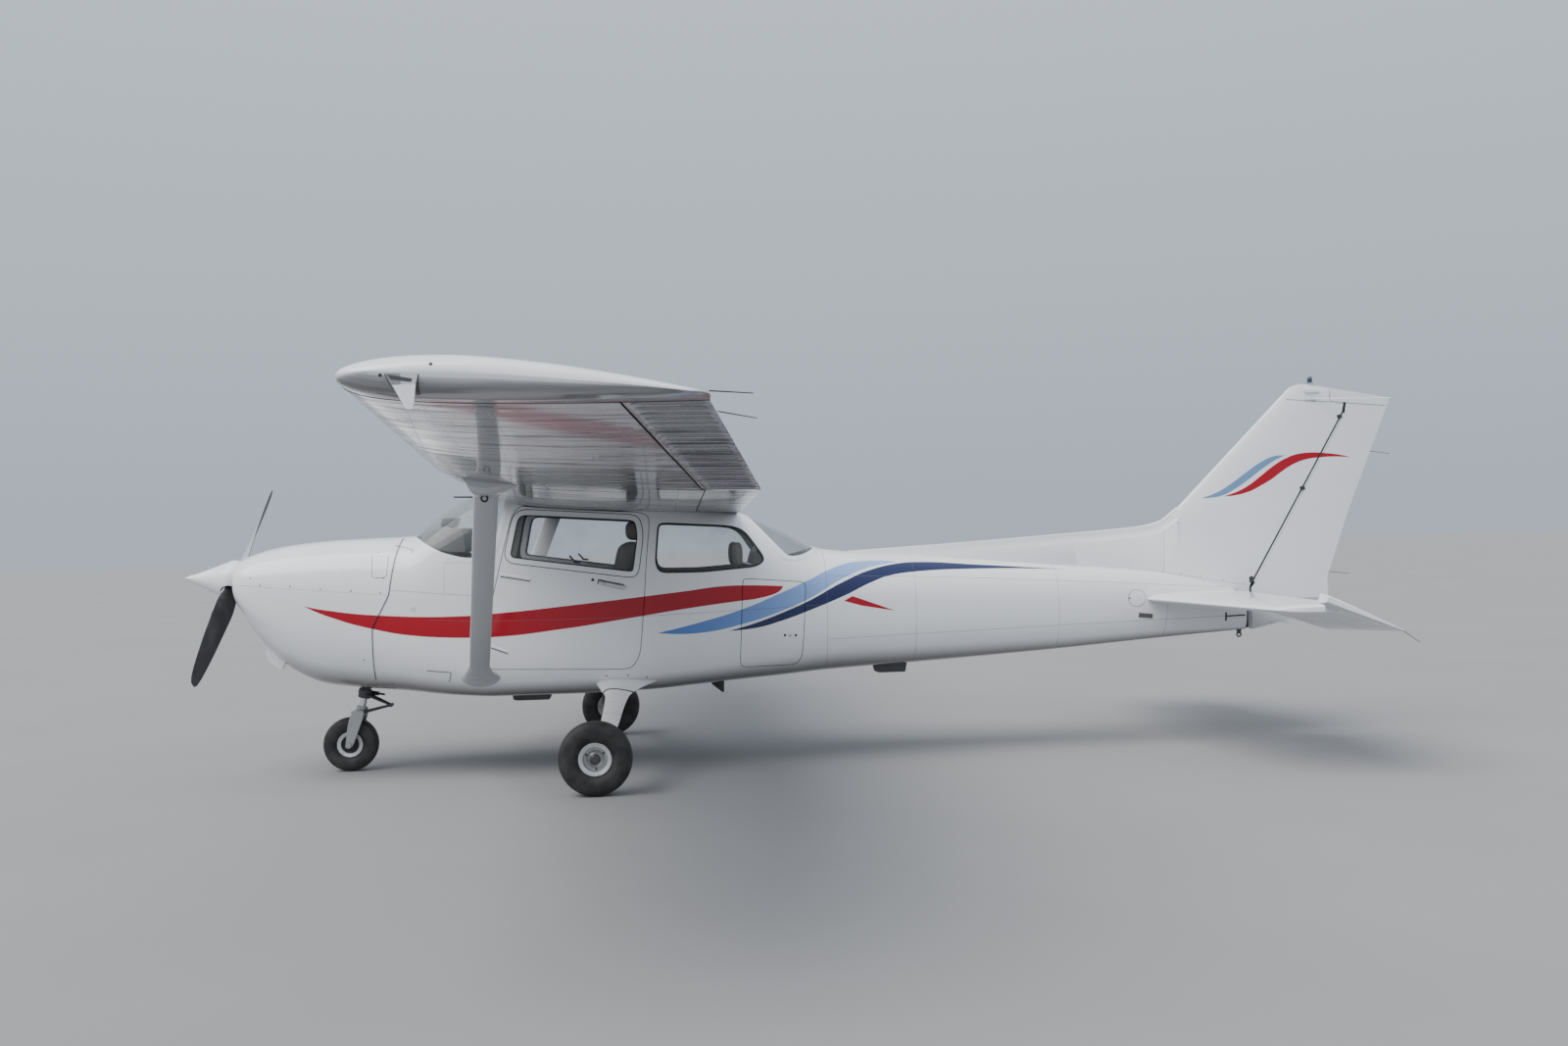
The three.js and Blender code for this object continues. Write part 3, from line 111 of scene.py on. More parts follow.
def limited_cubic(table: Sequence[Sequence[float]], where: Sequence[float]) -> np.ndarray:
    """Rows of a table at other values of its first column.

    Args:
        table: rows in rising order of their first column.
        where: values of the first column.

    Returns:
        One row for each value, by a slope-limited cubic, so that no stretch overshoots.
    """
    rows = np.asarray(table, float)
    first = rows[:, 0]
    slopes = np.diff(rows, axis=0) / np.diff(first)[:, None]
    tangents = np.zeros_like(rows)
    tangents[0] = slopes[0]
    tangents[-1] = slopes[-1]
    before, after = slopes[:-1], slopes[1:]
    same_way = before * after > 0
    total = np.where(same_way, before + after, 1.0)
    tangents[1:-1] = np.where(same_way, 2 * before * after / total, 0.0)
    wanted = np.asarray(where, float)
    inside = np.clip(wanted, first[0], first[-1])
    row = np.clip(np.searchsorted(first, inside, side="right") - 1, 0, len(first) - 2)
    length = (first[row + 1] - first[row])[:, None]
    t = (inside - first[row])[:, None] / length
    made = (
        rows[row] * (2 * t**3 - 3 * t**2 + 1)
        + tangents[row] * length * (t**3 - 2 * t**2 + t)
        + rows[row + 1] * (3 * t**2 - 2 * t**3)
        + tangents[row + 1] * length * (t**3 - t**2)
    )
    made[:, 0] = wanted
    return made


def straight(table: Sequence[Sequence[float]], where: float) -> np.ndarray:
    """One row of a table at another value of its first column, by straight lines."""
    rows = np.asarray(table, float)
    return np.array([np.interp(where, rows[:, 0], rows[:, k]) for k in range(rows.shape[1])])


def signed_power(values: np.ndarray, exponent: np.ndarray) -> np.ndarray:
    """The power of each value's size, with the value's sign."""
    return np.sign(values) * np.abs(values) ** exponent


def rounded(outline: Sequence[Flat], radius: float, steps: int = 5) -> list[Flat]:
    """Rounds each corner of a closed outline.

    Args:
        outline: the corners in order.
        radius: how far a rounding reaches along each edge, at most.
        steps: points on each rounding.

    Returns:
        The corners of the rounded outline.
    """
    reach_share = 0.46
    corners = [np.array(corner, float) for corner in outline]
    made: list[Flat] = []
    for at, corner in enumerate(corners):
        before = corners[at - 1] - corner
        after = corners[(at + 1) % len(corners)] - corner
        start = corner + before * min(radius / np.linalg.norm(before), reach_share)
        end = corner + after * min(radius / np.linalg.norm(after), reach_share)
        for t in np.linspace(0, 1, steps):
            point = (1 - t) ** 2 * start + 2 * t * (1 - t) * corner + t**2 * end
            made.append((float(point[0]), float(point[1])))
    return made


def offset(outline: Sequence[Flat], distance: float) -> list[Flat]:
    """Moves each point of a closed outline outwards, square to the outline.

    Args:
        outline: the corners in order, either way round.
        distance: how far outwards; a negative one shrinks the outline.

    Returns:
        The corners of the new outline.
    """
    points = np.array(outline, float)
    along = np.roll(points, -1, 0) - np.roll(points, 1, 0)
    following = np.roll(points, -1, 0)
    area = np.sum(points[:, 0] * following[:, 1] - following[:, 0] * points[:, 1])
    outwards = np.stack([along[:, 1], -along[:, 0]], 1) * np.sign(area)
    outwards /= np.linalg.norm(outwards, axis=1)[:, None]
    return [tuple(point) for point in points + outwards * distance]


# Meshes


def mesh_piece(name: str, points: np.ndarray | Sequence, faces: Sequence) -> bpy.types.Object:
    """A mesh object at the origin from points in millimetres.

    Args:
        name: the object's name.
        points: stations, distances out and heights.
        faces: tuples of point numbers.

    Returns:
        The linked object.
    """
    mesh = bpy.data.meshes.new(name)
    mesh.from_pydata(to_frame(points).tolist(), [], faces)
    piece = bpy.data.objects.new(name, mesh)
    bpy.context.scene.collection.objects.link(piece)
    return piece


def face_outwards(piece: bpy.types.Object) -> bpy.types.Object:
    """Turns the faces of a closed mesh round where they point inwards."""
    shape = bmesh.new()
    shape.from_mesh(piece.data)
    bmesh.ops.recalc_face_normals(shape, faces=shape.faces)
    if shape.calc_volume(signed=True) < 0:
        bmesh.ops.reverse_faces(shape, faces=shape.faces)
    shape.to_mesh(piece.data)
    shape.free()
    return piece


def loft(name: str, rings: np.ndarray) -> bpy.types.Object:
    """A closed body through rings of equal count.

    Args:
        name: the object's name.
        rings: an array of ring, point and coordinate.

    Returns:
        The body, closed at both ends.
    """
    rows, count, _ = rings.shape
    index = np.arange(rows * count).reshape(rows, count)
    here, ahead = index[:-1], index[1:]
    quads = np.stack([here, np.roll(here, -1, 1), np.roll(ahead, -1, 1), ahead], -1)
    faces = [tuple(quad) for quad in quads.reshape(-1, 4).tolist()]
    faces += [tuple(index[0][::-1].tolist()), tuple(index[-1].tolist())]
    return face_outwards(mesh_piece(name, rings.reshape(-1, 3), faces))


def ring_loop(name: str, rings: np.ndarray) -> bpy.types.Object:
    """A closed body through rings that themselves form a closed loop."""
    rows, count, _ = rings.shape
    index = np.arange(rows * count).reshape(rows, count)
    ahead = np.roll(index, -1, 0)
    quads = np.stack([index, np.roll(index, -1, 1), np.roll(ahead, -1, 1), ahead], -1)
    faces = [tuple(quad) for quad in quads.reshape(-1, 4).tolist()]
    return face_outwards(mesh_piece(name, rings.reshape(-1, 3), faces))


def prism(name: str, outline: Sequence[Flat], plane: Plane, low: float, high: float) -> bpy.types.Object:
    """A closed prism from an outline.

    Args:
        name: the object's name.
        outline: corners in the plane, without the coordinate of the depth.
        plane: the direction of the depth.
        low: where the depth starts.
        high: where the depth ends.

    Returns:
        The prism.
    """
    column = {Plane.SIDE: 1, Plane.PLAN: 2, Plane.FRONT: 0}[plane]
    flat = np.array(outline, float)
    ends = [np.insert(flat, column, depth, axis=1) for depth in (low, high)]
    return loft(name, np.stack(ends))


def block(name: str, low: Spot, high: Spot) -> bpy.types.Object:
    """A box between two corners."""
    outline = [(low[0], low[2]), (high[0], low[2]), (high[0], high[2]), (low[0], high[2])]
    return prism(name, outline, Plane.SIDE, low[1], high[1])


def across(direction: np.ndarray) -> tuple[np.ndarray, np.ndarray]:
    """Two unit vectors square to a direction and to each other."""
    helper = np.array([0.0, 0.0, 1.0]) if abs(direction[2]) < 0.9 else np.array([1.0, 0.0, 0.0])
    first = np.cross(direction, helper)
    first /= np.linalg.norm(first)
    return first, np.cross(direction, first)


def turned(
    name: str,
    profile: Sequence[Flat],
    point: Spot,
    direction: Spot,
    segments: int = 64,
) -> bpy.types.Object:
    """A body of revolution about a line through a point.

    Args:
        name: the object's name.
        profile: radius and distance along the line, a closed loop or one between axis points.
        point: where distance is zero.
        direction: the way in which distance grows.
        segments: faces round the line.

    Returns:
        The body, with its poles closed.
    """
    axis = np.array(direction, float) / np.linalg.norm(direction)
    first, second = across(axis)
    angles = np.arange(segments) * 2 * math.pi / segments
    radial = np.outer(np.cos(angles), first) + np.outer(np.sin(angles), second)
    rows = [np.array(point) + radial * radius + axis * along for radius, along in profile]
    closes = profile[0][0] > 0
    made = ring_loop(name, np.stack(rows)) if closes else loft(name, np.stack(rows))
    shape = bmesh.new()
    shape.from_mesh(made.data)
    bmesh.ops.remove_doubles(shape, verts=shape.verts, dist=0.00001)
    bmesh.ops.dissolve_degenerate(shape, dist=0.000001, edges=shape.edges)
    shape.to_mesh(made.data)
    shape.free()
    return face_outwards(made)


def rod(name: str, start: Spot, end: Spot, radius: float,
        far_radius: float | None = None) -> bpy.types.Object:
    """A round bar or cone between two points, with flat ends."""
    last = radius if far_radius is None else far_radius
    span = np.subtract(end, start)
    length = float(np.linalg.norm(span))
    return turned(name, [(0, 0), (radius, 0), (last, length), (0, length)], start, tuple(span), 32)


def settle(piece: bpy.types.Object) -> bpy.types.Object:
    """Makes a piece's modifiers part of its mesh."""
    graph = bpy.context.evaluated_depsgraph_get()
    mesh = bpy.data.meshes.new_from_object(piece.evaluated_get(graph))
    piece.modifiers.clear()
    plain = piece.data
    piece.data = mesh
    bpy.data.meshes.remove(plain)
    return piece


def discard(*pieces: bpy.types.Object) -> None:
    """Removes helpers that were only made to cut or shade others."""
    for piece in pieces:
        bpy.data.objects.remove(piece)


def carve(piece: bpy.types.Object, steps: Iterable[tuple[Cut, bpy.types.Object]]) -> bpy.types.Object:
    """Cuts, joins or limits a closed mesh by others, in order."""
    for operation, tool in steps:
        modifier = piece.modifiers.new("cut", "BOOLEAN")
        modifier.operation = operation.value
        modifier.solver = "MANIFOLD"
        modifier.object = tool
    return settle(piece)


def weld(piece: bpy.types.Object, parts: Sequence[bpy.types.Object]) -> bpy.types.Object:
    """Joins other closed meshes into a piece and discards them."""
    carve(piece, [(Cut.JOIN, part) for part in parts])
    discard(*parts)
    return piece


def copy_of(piece: bpy.types.Object, name: str) -> bpy.types.Object:
    """A piece of the same shape with a mesh of its own."""
    made = bpy.data.objects.new(name, piece.data.copy())
    bpy.context.scene.collection.objects.link(made)
    return made


def mirrored(piece: bpy.types.Object, name: str) -> bpy.types.Object:
    """A copy of a piece on the aircraft's other side."""
    made = copy_of(piece, name)
    made.data.transform(Matrix.Diagonal((1, -1, 1, 1)))
    made.data.flip_normals()
    return made


def main_body(piece: bpy.types.Object) -> bpy.types.Object:
    """Keeps only the island with the most points, without the slivers that a cut leaves."""
    shape = bmesh.new()
    shape.from_mesh(piece.data)
    shape.verts.ensure_lookup_table()
    seen: set[int] = set()
    islands: list[set[int]] = []
    for start in shape.verts:
        if start.index in seen:
            continue
        island = {start.index}
        waiting = [start]
        while waiting:
            for edge in waiting.pop().link_edges:
                for vertex in edge.verts:
                    if vertex.index not in island:
                        island.add(vertex.index)
                        waiting.append(vertex)
        seen |= island
        islands.append(island)
    best = max(islands, key=len)
    if len(islands) > 1:
        spare = [vertex for vertex in shape.verts if vertex.index not in best]
        bmesh.ops.delete(shape, geom=spare, context="VERTS")
        shape.to_mesh(piece.data)
    shape.free()
    return piece


SHARP_ANGLE = math.radians(32)
SKIN_ANGLE = math.cos(math.radians(24))
SKIN_REACH = 0.0012


def smooth(piece: bpy.types.Object, angle: float = SHARP_ANGLE) -> bpy.types.Object:
    """Shades a piece smooth, with creases where its faces meet at more than an angle."""
    piece.data.shade_smooth()
    piece.data.set_sharp_from_angle(angle=angle)
    return piece


def shade_like(piece: bpy.types.Object, sources: Sequence[bpy.types.Object]) -> bpy.types.Object:
    """Gives a cut skin the shading of the uncut ones, so that cuts leave no mark in reflections.

    Args:
        piece: the cut mesh.
        sources: dense, smooth meshes that hold the piece's surfaces.

    Returns:
        The piece, with normals of its own.
    """
    smooth(piece)
    mesh = piece.data
    normals = np.zeros(len(mesh.loops) * 3)
    mesh.corner_normals.foreach_get("vector", normals)
    normals = normals.reshape(-1, 3)
    trees = []
    for source in sources:
        points = [vertex.co for vertex in source.data.vertices]
        faces = [tuple(polygon.vertices) for polygon in source.data.polygons]
        trees.append((BVHTree.FromPolygons(points, faces), source.data, faces))
    skin: dict[int, Vector] = {}
    for vertex in mesh.vertices:
        for tree, data, faces in trees:
            place, _, face, _ = tree.find_nearest(vertex.co, SKIN_REACH)
            if place is None:
                continue
            corners = faces[face]
            shares = poly_3d_calc([data.vertices[k].co for k in corners], place)
            total = Vector((0, 0, 0))
            for share, corner in zip(shares, corners):
                total += data.vertices[corner].normal * share
            skin[vertex.index] = total.normalized()
            break
    for polygon in mesh.polygons:
        for loop in polygon.loop_indices:
            found = skin.get(mesh.loops[loop].vertex_index)
            if found is not None and found.dot(polygon.normal) > SKIN_ANGLE:
                normals[loop] = found
    mesh.normals_split_custom_set(normals.tolist())
    return piece


def dress(piece: bpy.types.Object, *materials: bpy.types.Material) -> bpy.types.Object:
    """Gives a piece its materials, in slot order."""
    piece.data.materials.clear()
    for material in materials:
        piece.data.materials.append(material)
    return piece


def choose_faces(piece: bpy.types.Object, chooser: Callable[[np.ndarray, np.ndarray],
        np.ndarray]) -> None:
    """Sets each face's material by its middle and normal.

    Args:
        piece: the mesh.
        chooser: takes middles in millimetres by station and normals, and returns slot numbers.
    """
    polygons = piece.data.polygons
    middles = np.zeros(len(polygons) * 3)
    normals = np.zeros(len(polygons) * 3)
    polygons.foreach_get("center", middles)
    polygons.foreach_get("normal", normals)
    middles = middles.reshape(-1, 3)
    middles[:, 0] -= STATION_ZERO
    slots = chooser(middles / MM, normals.reshape(-1, 3)).astype(np.int32)
    polygons.foreach_set("material_index", slots)


def finish_piece(
    piece: bpy.types.Object,
    body: str,
    replaced: Sequence[str] = (),
) -> bpy.types.Object:
    """Makes a finished piece ride on its body and stand for the nodes that it replaces."""
    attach(piece, body)
    if replaced:
        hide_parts(*replaced)
    LOG.info("%s rides on %s with %d faces", piece.name, body, len(piece.data.polygons))
    return piece


def complete(
    piece: bpy.types.Object,
    material: bpy.types.Material,
    body: str,
    replaced: Sequence[str] = (),
) -> bpy.types.Object:
    """Smooths a piece of one material, dresses it and makes it ride on its body."""
    smooth(piece)
    dress(piece, material)
    return finish_piece(piece, body, replaced)


# Materials


class Canvas:
    """The node tree of one material while it is made."""

    def __init__(self, name: str) -> None:
        """Starts a material with a Principled shader.

        Args:
            name: the material's name.
        """
        self.material = bpy.data.materials.new(name)
        self.material.use_nodes = True
        self.nodes = self.material.node_tree.nodes
        self.links = self.material.node_tree.links
        self.nodes.clear()
        output = self.nodes.new("ShaderNodeOutputMaterial")
        self.shader = self.nodes.new("ShaderNodeBsdfPrincipled")
        self.links.new(self.shader.outputs["BSDF"], output.inputs["Surface"])
        self.place = self.nodes.new("ShaderNodeTexCoord").outputs["Object"]

    def put(self, socket: bpy.types.NodeSocket, value: object) -> None:
        """Links a socket to another, or sets its value."""
        if isinstance(value, bpy.types.NodeSocket):
            self.links.new(value, socket)
        else:
            socket.default_value = value

    def set(self, **values: object) -> None:
        """Sets the shader's sockets by their names, with _ for a space."""
        for name, value in values.items():
            self.put(self.shader.inputs[name.replace("_", " ")], value)

    def math(self, operation: str, first: object, second: object = 0.0) -> bpy.types.NodeSocket:
        """The result of one sum or comparison."""
        node = self.nodes.new("ShaderNodeMath")
        node.operation = operation
        self.put(node.inputs[0], first)
        self.put(node.inputs[1], second)
        return node.outputs[0]

    def spread(self, value: object, low: float, high: float, first: float = 0,
            last: float = 1) -> bpy.types.NodeSocket:
        """A value from first at low to last at high, held at both ends."""
        node = self.nodes.new("ShaderNodeMapRange")
        self.put(node.inputs["Value"], value)
        for name, limit in (("From Min", low), ("From Max", high), ("To Min", first), ("To Max", last)):
            node.inputs[name].default_value = limit
        return node.outputs["Result"]

    def axes(self) -> list[bpy.types.NodeSocket]:
        """The place's X, Y and Z."""
        node = self.nodes.new("ShaderNodeSeparateXYZ")
        self.links.new(self.place, node.inputs[0])
        return list(node.outputs)

    def stretched(self, scale: Spot) -> bpy.types.NodeSocket:
        """The place, scaled by axis."""
        node = self.nodes.new("ShaderNodeMapping")
        self.links.new(self.place, node.inputs["Vector"])
        node.inputs["Scale"].default_value = scale
        return node.outputs["Vector"]

    def noise(self, scale: float, detail: float = 2.0, vector: object = None) -> bpy.types.NodeSocket:
        """Smooth noise from 0 to 1.

        Args:
            scale: how many blots to a metre.
            detail: how many finer layers.
            vector: the place, unless it is stretched.

        Returns:
            The noise's value.
        """
        node = self.nodes.new("ShaderNodeTexNoise")
        self.links.new(self.place if vector is None else vector, node.inputs["Vector"])
        node.inputs["Scale"].default_value = scale
        node.inputs["Detail"].default_value = detail
        return node.outputs["Fac"]

    def mix(self, share: object, first: object, second: object) -> bpy.types.NodeSocket:
        """A colour between two."""
        node = self.nodes.new("ShaderNodeMix")
        node.data_type = "RGBA"
        self.put(node.inputs["Factor"], share)
        for name, value in (("A", first), ("B", second)):
            socket = [entry for entry in node.inputs if entry.name == name and entry.type == "RGBA"][0]
            self.put(socket, (*value, 1.0) if isinstance(value, tuple) else value)
        return [entry for entry in node.outputs if entry.type == "RGBA"][0]

    def curve(self, value: object, points: Sequence[Flat]) -> bpy.types.NodeSocket:
        """A smooth curve through points that lie between 0 and 1."""
        node = self.nodes.new("ShaderNodeFloatCurve")
        self.put(node.inputs["Value"], value)
        mapping = node.mapping
        line = mapping.curves[0]
        line.points[0].location = points[0]
        line.points[1].location = points[-1]
        for point in points[1:-1]:
            line.points.new(*point)
        if len(points) < 4:
            for point in line.points:
                point.handle_type = "VECTOR"
        mapping.update()
        return node.outputs["Value"]

    def bump(self, height: object, distance: float, strength: float = 1.0,
            below: object = None) -> bpy.types.NodeSocket:
        """A normal that follows a height.

        Args:
            height: the height's value, from 0 to 1.
            distance: what a height of 1 stands for, in metres.
            strength: the share of it that shows.
            below: the normal under it.

        Returns:
            The normal.
        """
        node = self.nodes.new("ShaderNodeBump")
        node.inputs["Distance"].default_value = distance
        node.inputs["Strength"].default_value = strength
        self.links.new(height, node.inputs["Height"])
        if below is not None:
            self.links.new(below, node.inputs["Normal"])
        return node.outputs["Normal"]


@dataclass(frozen=True)
class Band:
    """A painted stripe between two edges seen from the side.

    Attributes:
        start: the colour at its front end.
        end: the colour at its rear end.
        upper: stations and heights of its upper edge, from front to rear.
        lower: the same of its lower edge.
    """

    start: Colour
    end: Colour
    upper: tuple[Flat, ...]
    lower: tuple[Flat, ...]

    def lay(self, canvas: Canvas, below: object) -> bpy.types.NodeSocket:
        """Paints the stripe over a colour.

        Args:
            canvas: the material under way.
            below: the colour that is there.

        Returns:
            The colour with the stripe on it.
        """
        stations = [point[0] for point in self.upper + self.lower]
        heights = [point[1] for point in self.upper + self.lower]
        first, last = min(stations), max(stations)
        margin = 20.0
        bottom, top = min(heights) - margin, max(heights) + margin
        along, _, height = canvas.axes()
        share = canvas.spread(along, STATION_ZERO + first * MM, STATION_ZERO + last * MM)
        level = canvas.spread(height, bottom * MM, top * MM)
        edges = []
        for edge in (self.upper, self.lower):
            points = [((x - first) / (last - first), (z - bottom) / (top - bottom)) for x, z in edge]
            edges.append(canvas.curve(share, points))
        under = canvas.math("LESS_THAN", level, edges[0])
        over = canvas.math("GREATER_THAN", level, edges[1])
        started = canvas.math("GREATER_THAN", along, STATION_ZERO + first * MM)
        ended = canvas.math("LESS_THAN", along, STATION_ZERO + last * MM)
        mask = canvas.math("MULTIPLY", under, over)
        mask = canvas.math("MULTIPLY", mask, canvas.math("MULTIPLY", started, ended))
        tint = canvas.mix(share, self.start, self.end)
        return canvas.mix(mask, below, tint)


@dataclass(frozen=True)
class Seam:
    """A lap or butt joint of two sheets.

    Attributes:
        points: two or more places along the joint, each as its values on both axes.
        run: the axis that it runs along: 0 for stations, 1 for distances out, 2 for heights.
        level: the axis that the second value stands for.
        width: how wide the line is.
    """

    points: tuple[Flat, ...]
    run: int = 0
    level: int = 2
    width: float = 2.4

    def mark(self, canvas: Canvas) -> bpy.types.NodeSocket:
        """The joint's line as a value of 1 on it and 0 beside it."""
        axes = canvas.axes()
        axes[1] = canvas.math("ABSOLUTE", axes[1])
        zero = (STATION_ZERO, 0.0, 0.0)
        along, place = axes[self.run], axes[self.level]
        line = np.array(self.points) * MM + (zero[self.run], zero[self.level])
        first, last = line[0], line[-1]
        if len(line) == 2:
            level = canvas.spread(along, first[0], last[0], first[1], last[1])
        else:
            low, high = line[:, 1].min() - 0.01, line[:, 1].max() + 0.01
            shares = (line - (first[0], low)) / (last[0] - first[0], high - low)
            curve = canvas.curve(canvas.spread(along, first[0], last[0]),
                [tuple(share) for share in shares])
            level = canvas.math("ADD", canvas.math("MULTIPLY", curve, high - low), low)
        near = canvas.math("ABSOLUTE", canvas.math("SUBTRACT", place, level))
        after = canvas.math("GREATER_THAN", along, first[0])
        before = canvas.math("LESS_THAN", along, last[0])
        line_mark = canvas.math("LESS_THAN", near, self.width * MM / 2)
        return canvas.math("MULTIPLY", line_mark, canvas.math("MULTIPLY", after, before))


def upright(station: float, low: float, high: float, lean: float = 0.0) -> Seam:
    """A joint that runs up and down at a station."""
    return Seam(((low, station), (high, station + lean)), run=2, level=0)


def rib_seam(span: float) -> Seam:
    """A joint that runs along the wing's chord at a distance out."""
    return Seam(((770, span), (2400, span)), level=1)


STREAK_DARK: Colour = (0.07, 0.073, 0.08)
STREAK_STRETCH: Spot = (1.5, 11.0, 1.0)
STREAK_EDGE: Flat = (0.49, 0.62)
SEAM_DARK: Colour = (0.10, 0.11, 0.13)
SEAM_SHARE = 0.75
FACES_DOWN: Flat = (-0.5, -0.92)


@dataclass(frozen=True)
class Paint:
    """Gloss paint on sheet metal, with slow waves of the sheet, stripes, seams, grime, and painted shade
    low down and on faces that look down.

    Attributes:
        name: the material's name.
        colour: the clean colour.
        dirt_and_shade: the colour of grime, and of painted shade.
        roughness: how matt it is where it is clean.
        wave: height of the sheet's slow waves, in metres.
        grime: how much of the dirt and of the painted shade low down shows.
        belly: heights, in metres, between which dirt and painted shade fade out upwards.
        bands: stripes, from the lowest layer up.
        seams: joints that show as fine lines.
        gloss: how much clear gloss lies over it.
        under: how much of that dark colour is painted on faces that look down, as painted shade.
        ripple: the waves' frequency along X, Y and Z.
        streak: how strongly dull streaks run along faces that look down.
    """

    name: str
    colour: Colour
    dirt_and_shade: Colour = (0.30, 0.28, 0.25)
    roughness: float = 0.2
    wave: float = 0.0006
    grime: float = 0.25
    belly: Flat = (0.50, 0.72)
    bands: tuple[Band, ...] = ()
    seams: tuple[Seam, ...] = ()
    gloss: float = 0.5
    under: float = 0.12
    ripple: Spot = (1.0, 1.0, 1.4)
    streak: float = 0.0

    def build(self) -> bpy.types.Material:
        """Makes the material."""
        canvas = Canvas(self.name)
        _, _, height = canvas.axes()
        clouds = canvas.noise(1.3, 3.0)
        shade = canvas.mix(clouds, tuple(value * 0.965 for value in self.colour), self.colour)
        for band in self.bands:
            shade = band.lay(canvas, shade)
        # Darker towards the bottom: streaky dirt and painted shade below the belly heights, with specks
        # of dirt everywhere.
        streaks = canvas.noise(1.0, 6.0, canvas.stretched((2.0, 14.0, 26.0)))
        low = canvas.math("SUBTRACT", 1.0, canvas.spread(height, *self.belly))
        specks = canvas.spread(canvas.noise(9.0, 5.0), 0.52, 0.78)
        soil_and_shade = canvas.math("MULTIPLY", canvas.spread(streaks, 0.42, 0.75), low)
        soil_and_shade = canvas.math("ADD", soil_and_shade, canvas.math("MULTIPLY", specks, 0.10))
        soil_and_shade = canvas.math("MULTIPLY", soil_and_shade, self.grime)
        facing = canvas.nodes.new("ShaderNodeSeparateXYZ")
        geometry = canvas.nodes.new("ShaderNodeNewGeometry")
        canvas.links.new(geometry.outputs["True Normal"], facing.inputs[0])
        # Painted shade: faces that look down take the dark colour, by the share under.
        below = canvas.spread(facing.outputs["Z"], *FACES_DOWN)
        shade = canvas.mix(canvas.math("MULTIPLY", below, self.under), shade, self.dirt_and_shade)
        runs = canvas.noise(1.0, 5.0, canvas.stretched(STREAK_STRETCH))
        dull = canvas.math("MULTIPLY", canvas.spread(runs, *STREAK_EDGE, 0, self.streak), below)
        shade = canvas.mix(dull, shade, STREAK_DARK)
        # Lays the dirt and the painted shade of the lower parts.
        shade = canvas.mix(soil_and_shade, shade, self.dirt_and_shade)
        lines: object = None
        for seam in self.seams:
            mark = seam.mark(canvas)
            lines = mark if lines is None else canvas.math("MAXIMUM", lines, mark)
        if lines is not None:
            shade = canvas.mix(canvas.math("MULTIPLY", lines, SEAM_SHARE), shade, SEAM_DARK)
        uneven = canvas.math("MULTIPLY", canvas.noise(3.0, 4.0), 0.10)
        rough = canvas.math("ADD", uneven, self.roughness - 0.05)
        rough = canvas.math("ADD", rough, canvas.math("MULTIPLY", soil_and_shade, 0.9))
        waves = canvas.bump(canvas.noise(2.2, 1.0, canvas.stretched(self.ripple)), self.wave * 6)
        peel = canvas.bump(canvas.noise(420.0, 1.0), 0.00002, 0.6, waves)
        canvas.set(
            Base_Color=shade,
            Roughness=rough,
            Normal=peel,
            Coat_Weight=canvas.math("MULTIPLY", canvas.math("SUBTRACT", 1.0, dull), self.gloss),
            Coat_Roughness=0.05,
            Specular_IOR_Level=0.25,
        )
        return canvas.material


@dataclass(frozen=True)
class Metal:
    """Bare or thinly painted metal with brushed marks and stains.

    Attributes:
        name: the material's name.
        colour: its clean colour.
        stain: the colour of its stains.
        roughness: how matt it is where it is clean.
        metallic: 1 for bare metal, less under paint.
        stains: share of its surface that is stained.
        grain: strength of the brushed marks.
    """

    name: str
    colour: Colour
    stain: Colour = (0.12, 0.10, 0.08)
    roughness: float = 0.35
    metallic: float = 1.0
    stains: float = 0.35
    grain: float = 0.00004

    def build(self) -> bpy.types.Material:
        """Makes the material."""
        canvas = Canvas(self.name)
        blots = canvas.spread(canvas.noise(22.0, 6.0), 0.72 - self.stains * 0.4, 0.80)
        shade = canvas.mix(canvas.math("MULTIPLY", blots, 0.75), self.colour, self.stain)
        rough = canvas.math("ADD", canvas.math("MULTIPLY", blots, 0.30), self.roughness)
        marks = canvas.noise(60.0, 3.0, canvas.stretched((1.0, 1.0, 14.0)))
        canvas.set(
            Base_Color=shade,
            Roughness=rough,
            Normal=canvas.bump(marks, self.grain, 0.8),
            Metallic=self.metallic,
        )
        return canvas.material


@dataclass(frozen=True)
class Rubber:
    """Black rubber with dust in its hollows.

    Attributes:
        name: the material's name.
        colour: its clean colour.
        dust: the colour of the dust on it.
        roughness: how matt it is.
        dusty: share of the dust that shows.
    """

    name: str
    colour: Colour = (0.014, 0.014, 0.016)
    dust: Colour = (0.16, 0.15, 0.14)
    roughness: float = 0.62
    dusty: float = 0.3

    def build(self) -> bpy.types.Material:
        """Makes the material."""
        canvas = Canvas(self.name)
        film = canvas.spread(canvas.noise(14.0, 6.0), 0.40, 0.80)
        shade = canvas.mix(canvas.math("MULTIPLY", film, self.dusty), self.colour, self.dust)
        rough = canvas.math("ADD", canvas.math("MULTIPLY", film, 0.2), self.roughness)
        grain = canvas.noise(900.0, 2.0)
        canvas.set(Base_Color=shade, Roughness=rough, Normal=canvas.bump(grain, 0.00012, 0.5))
        return canvas.material


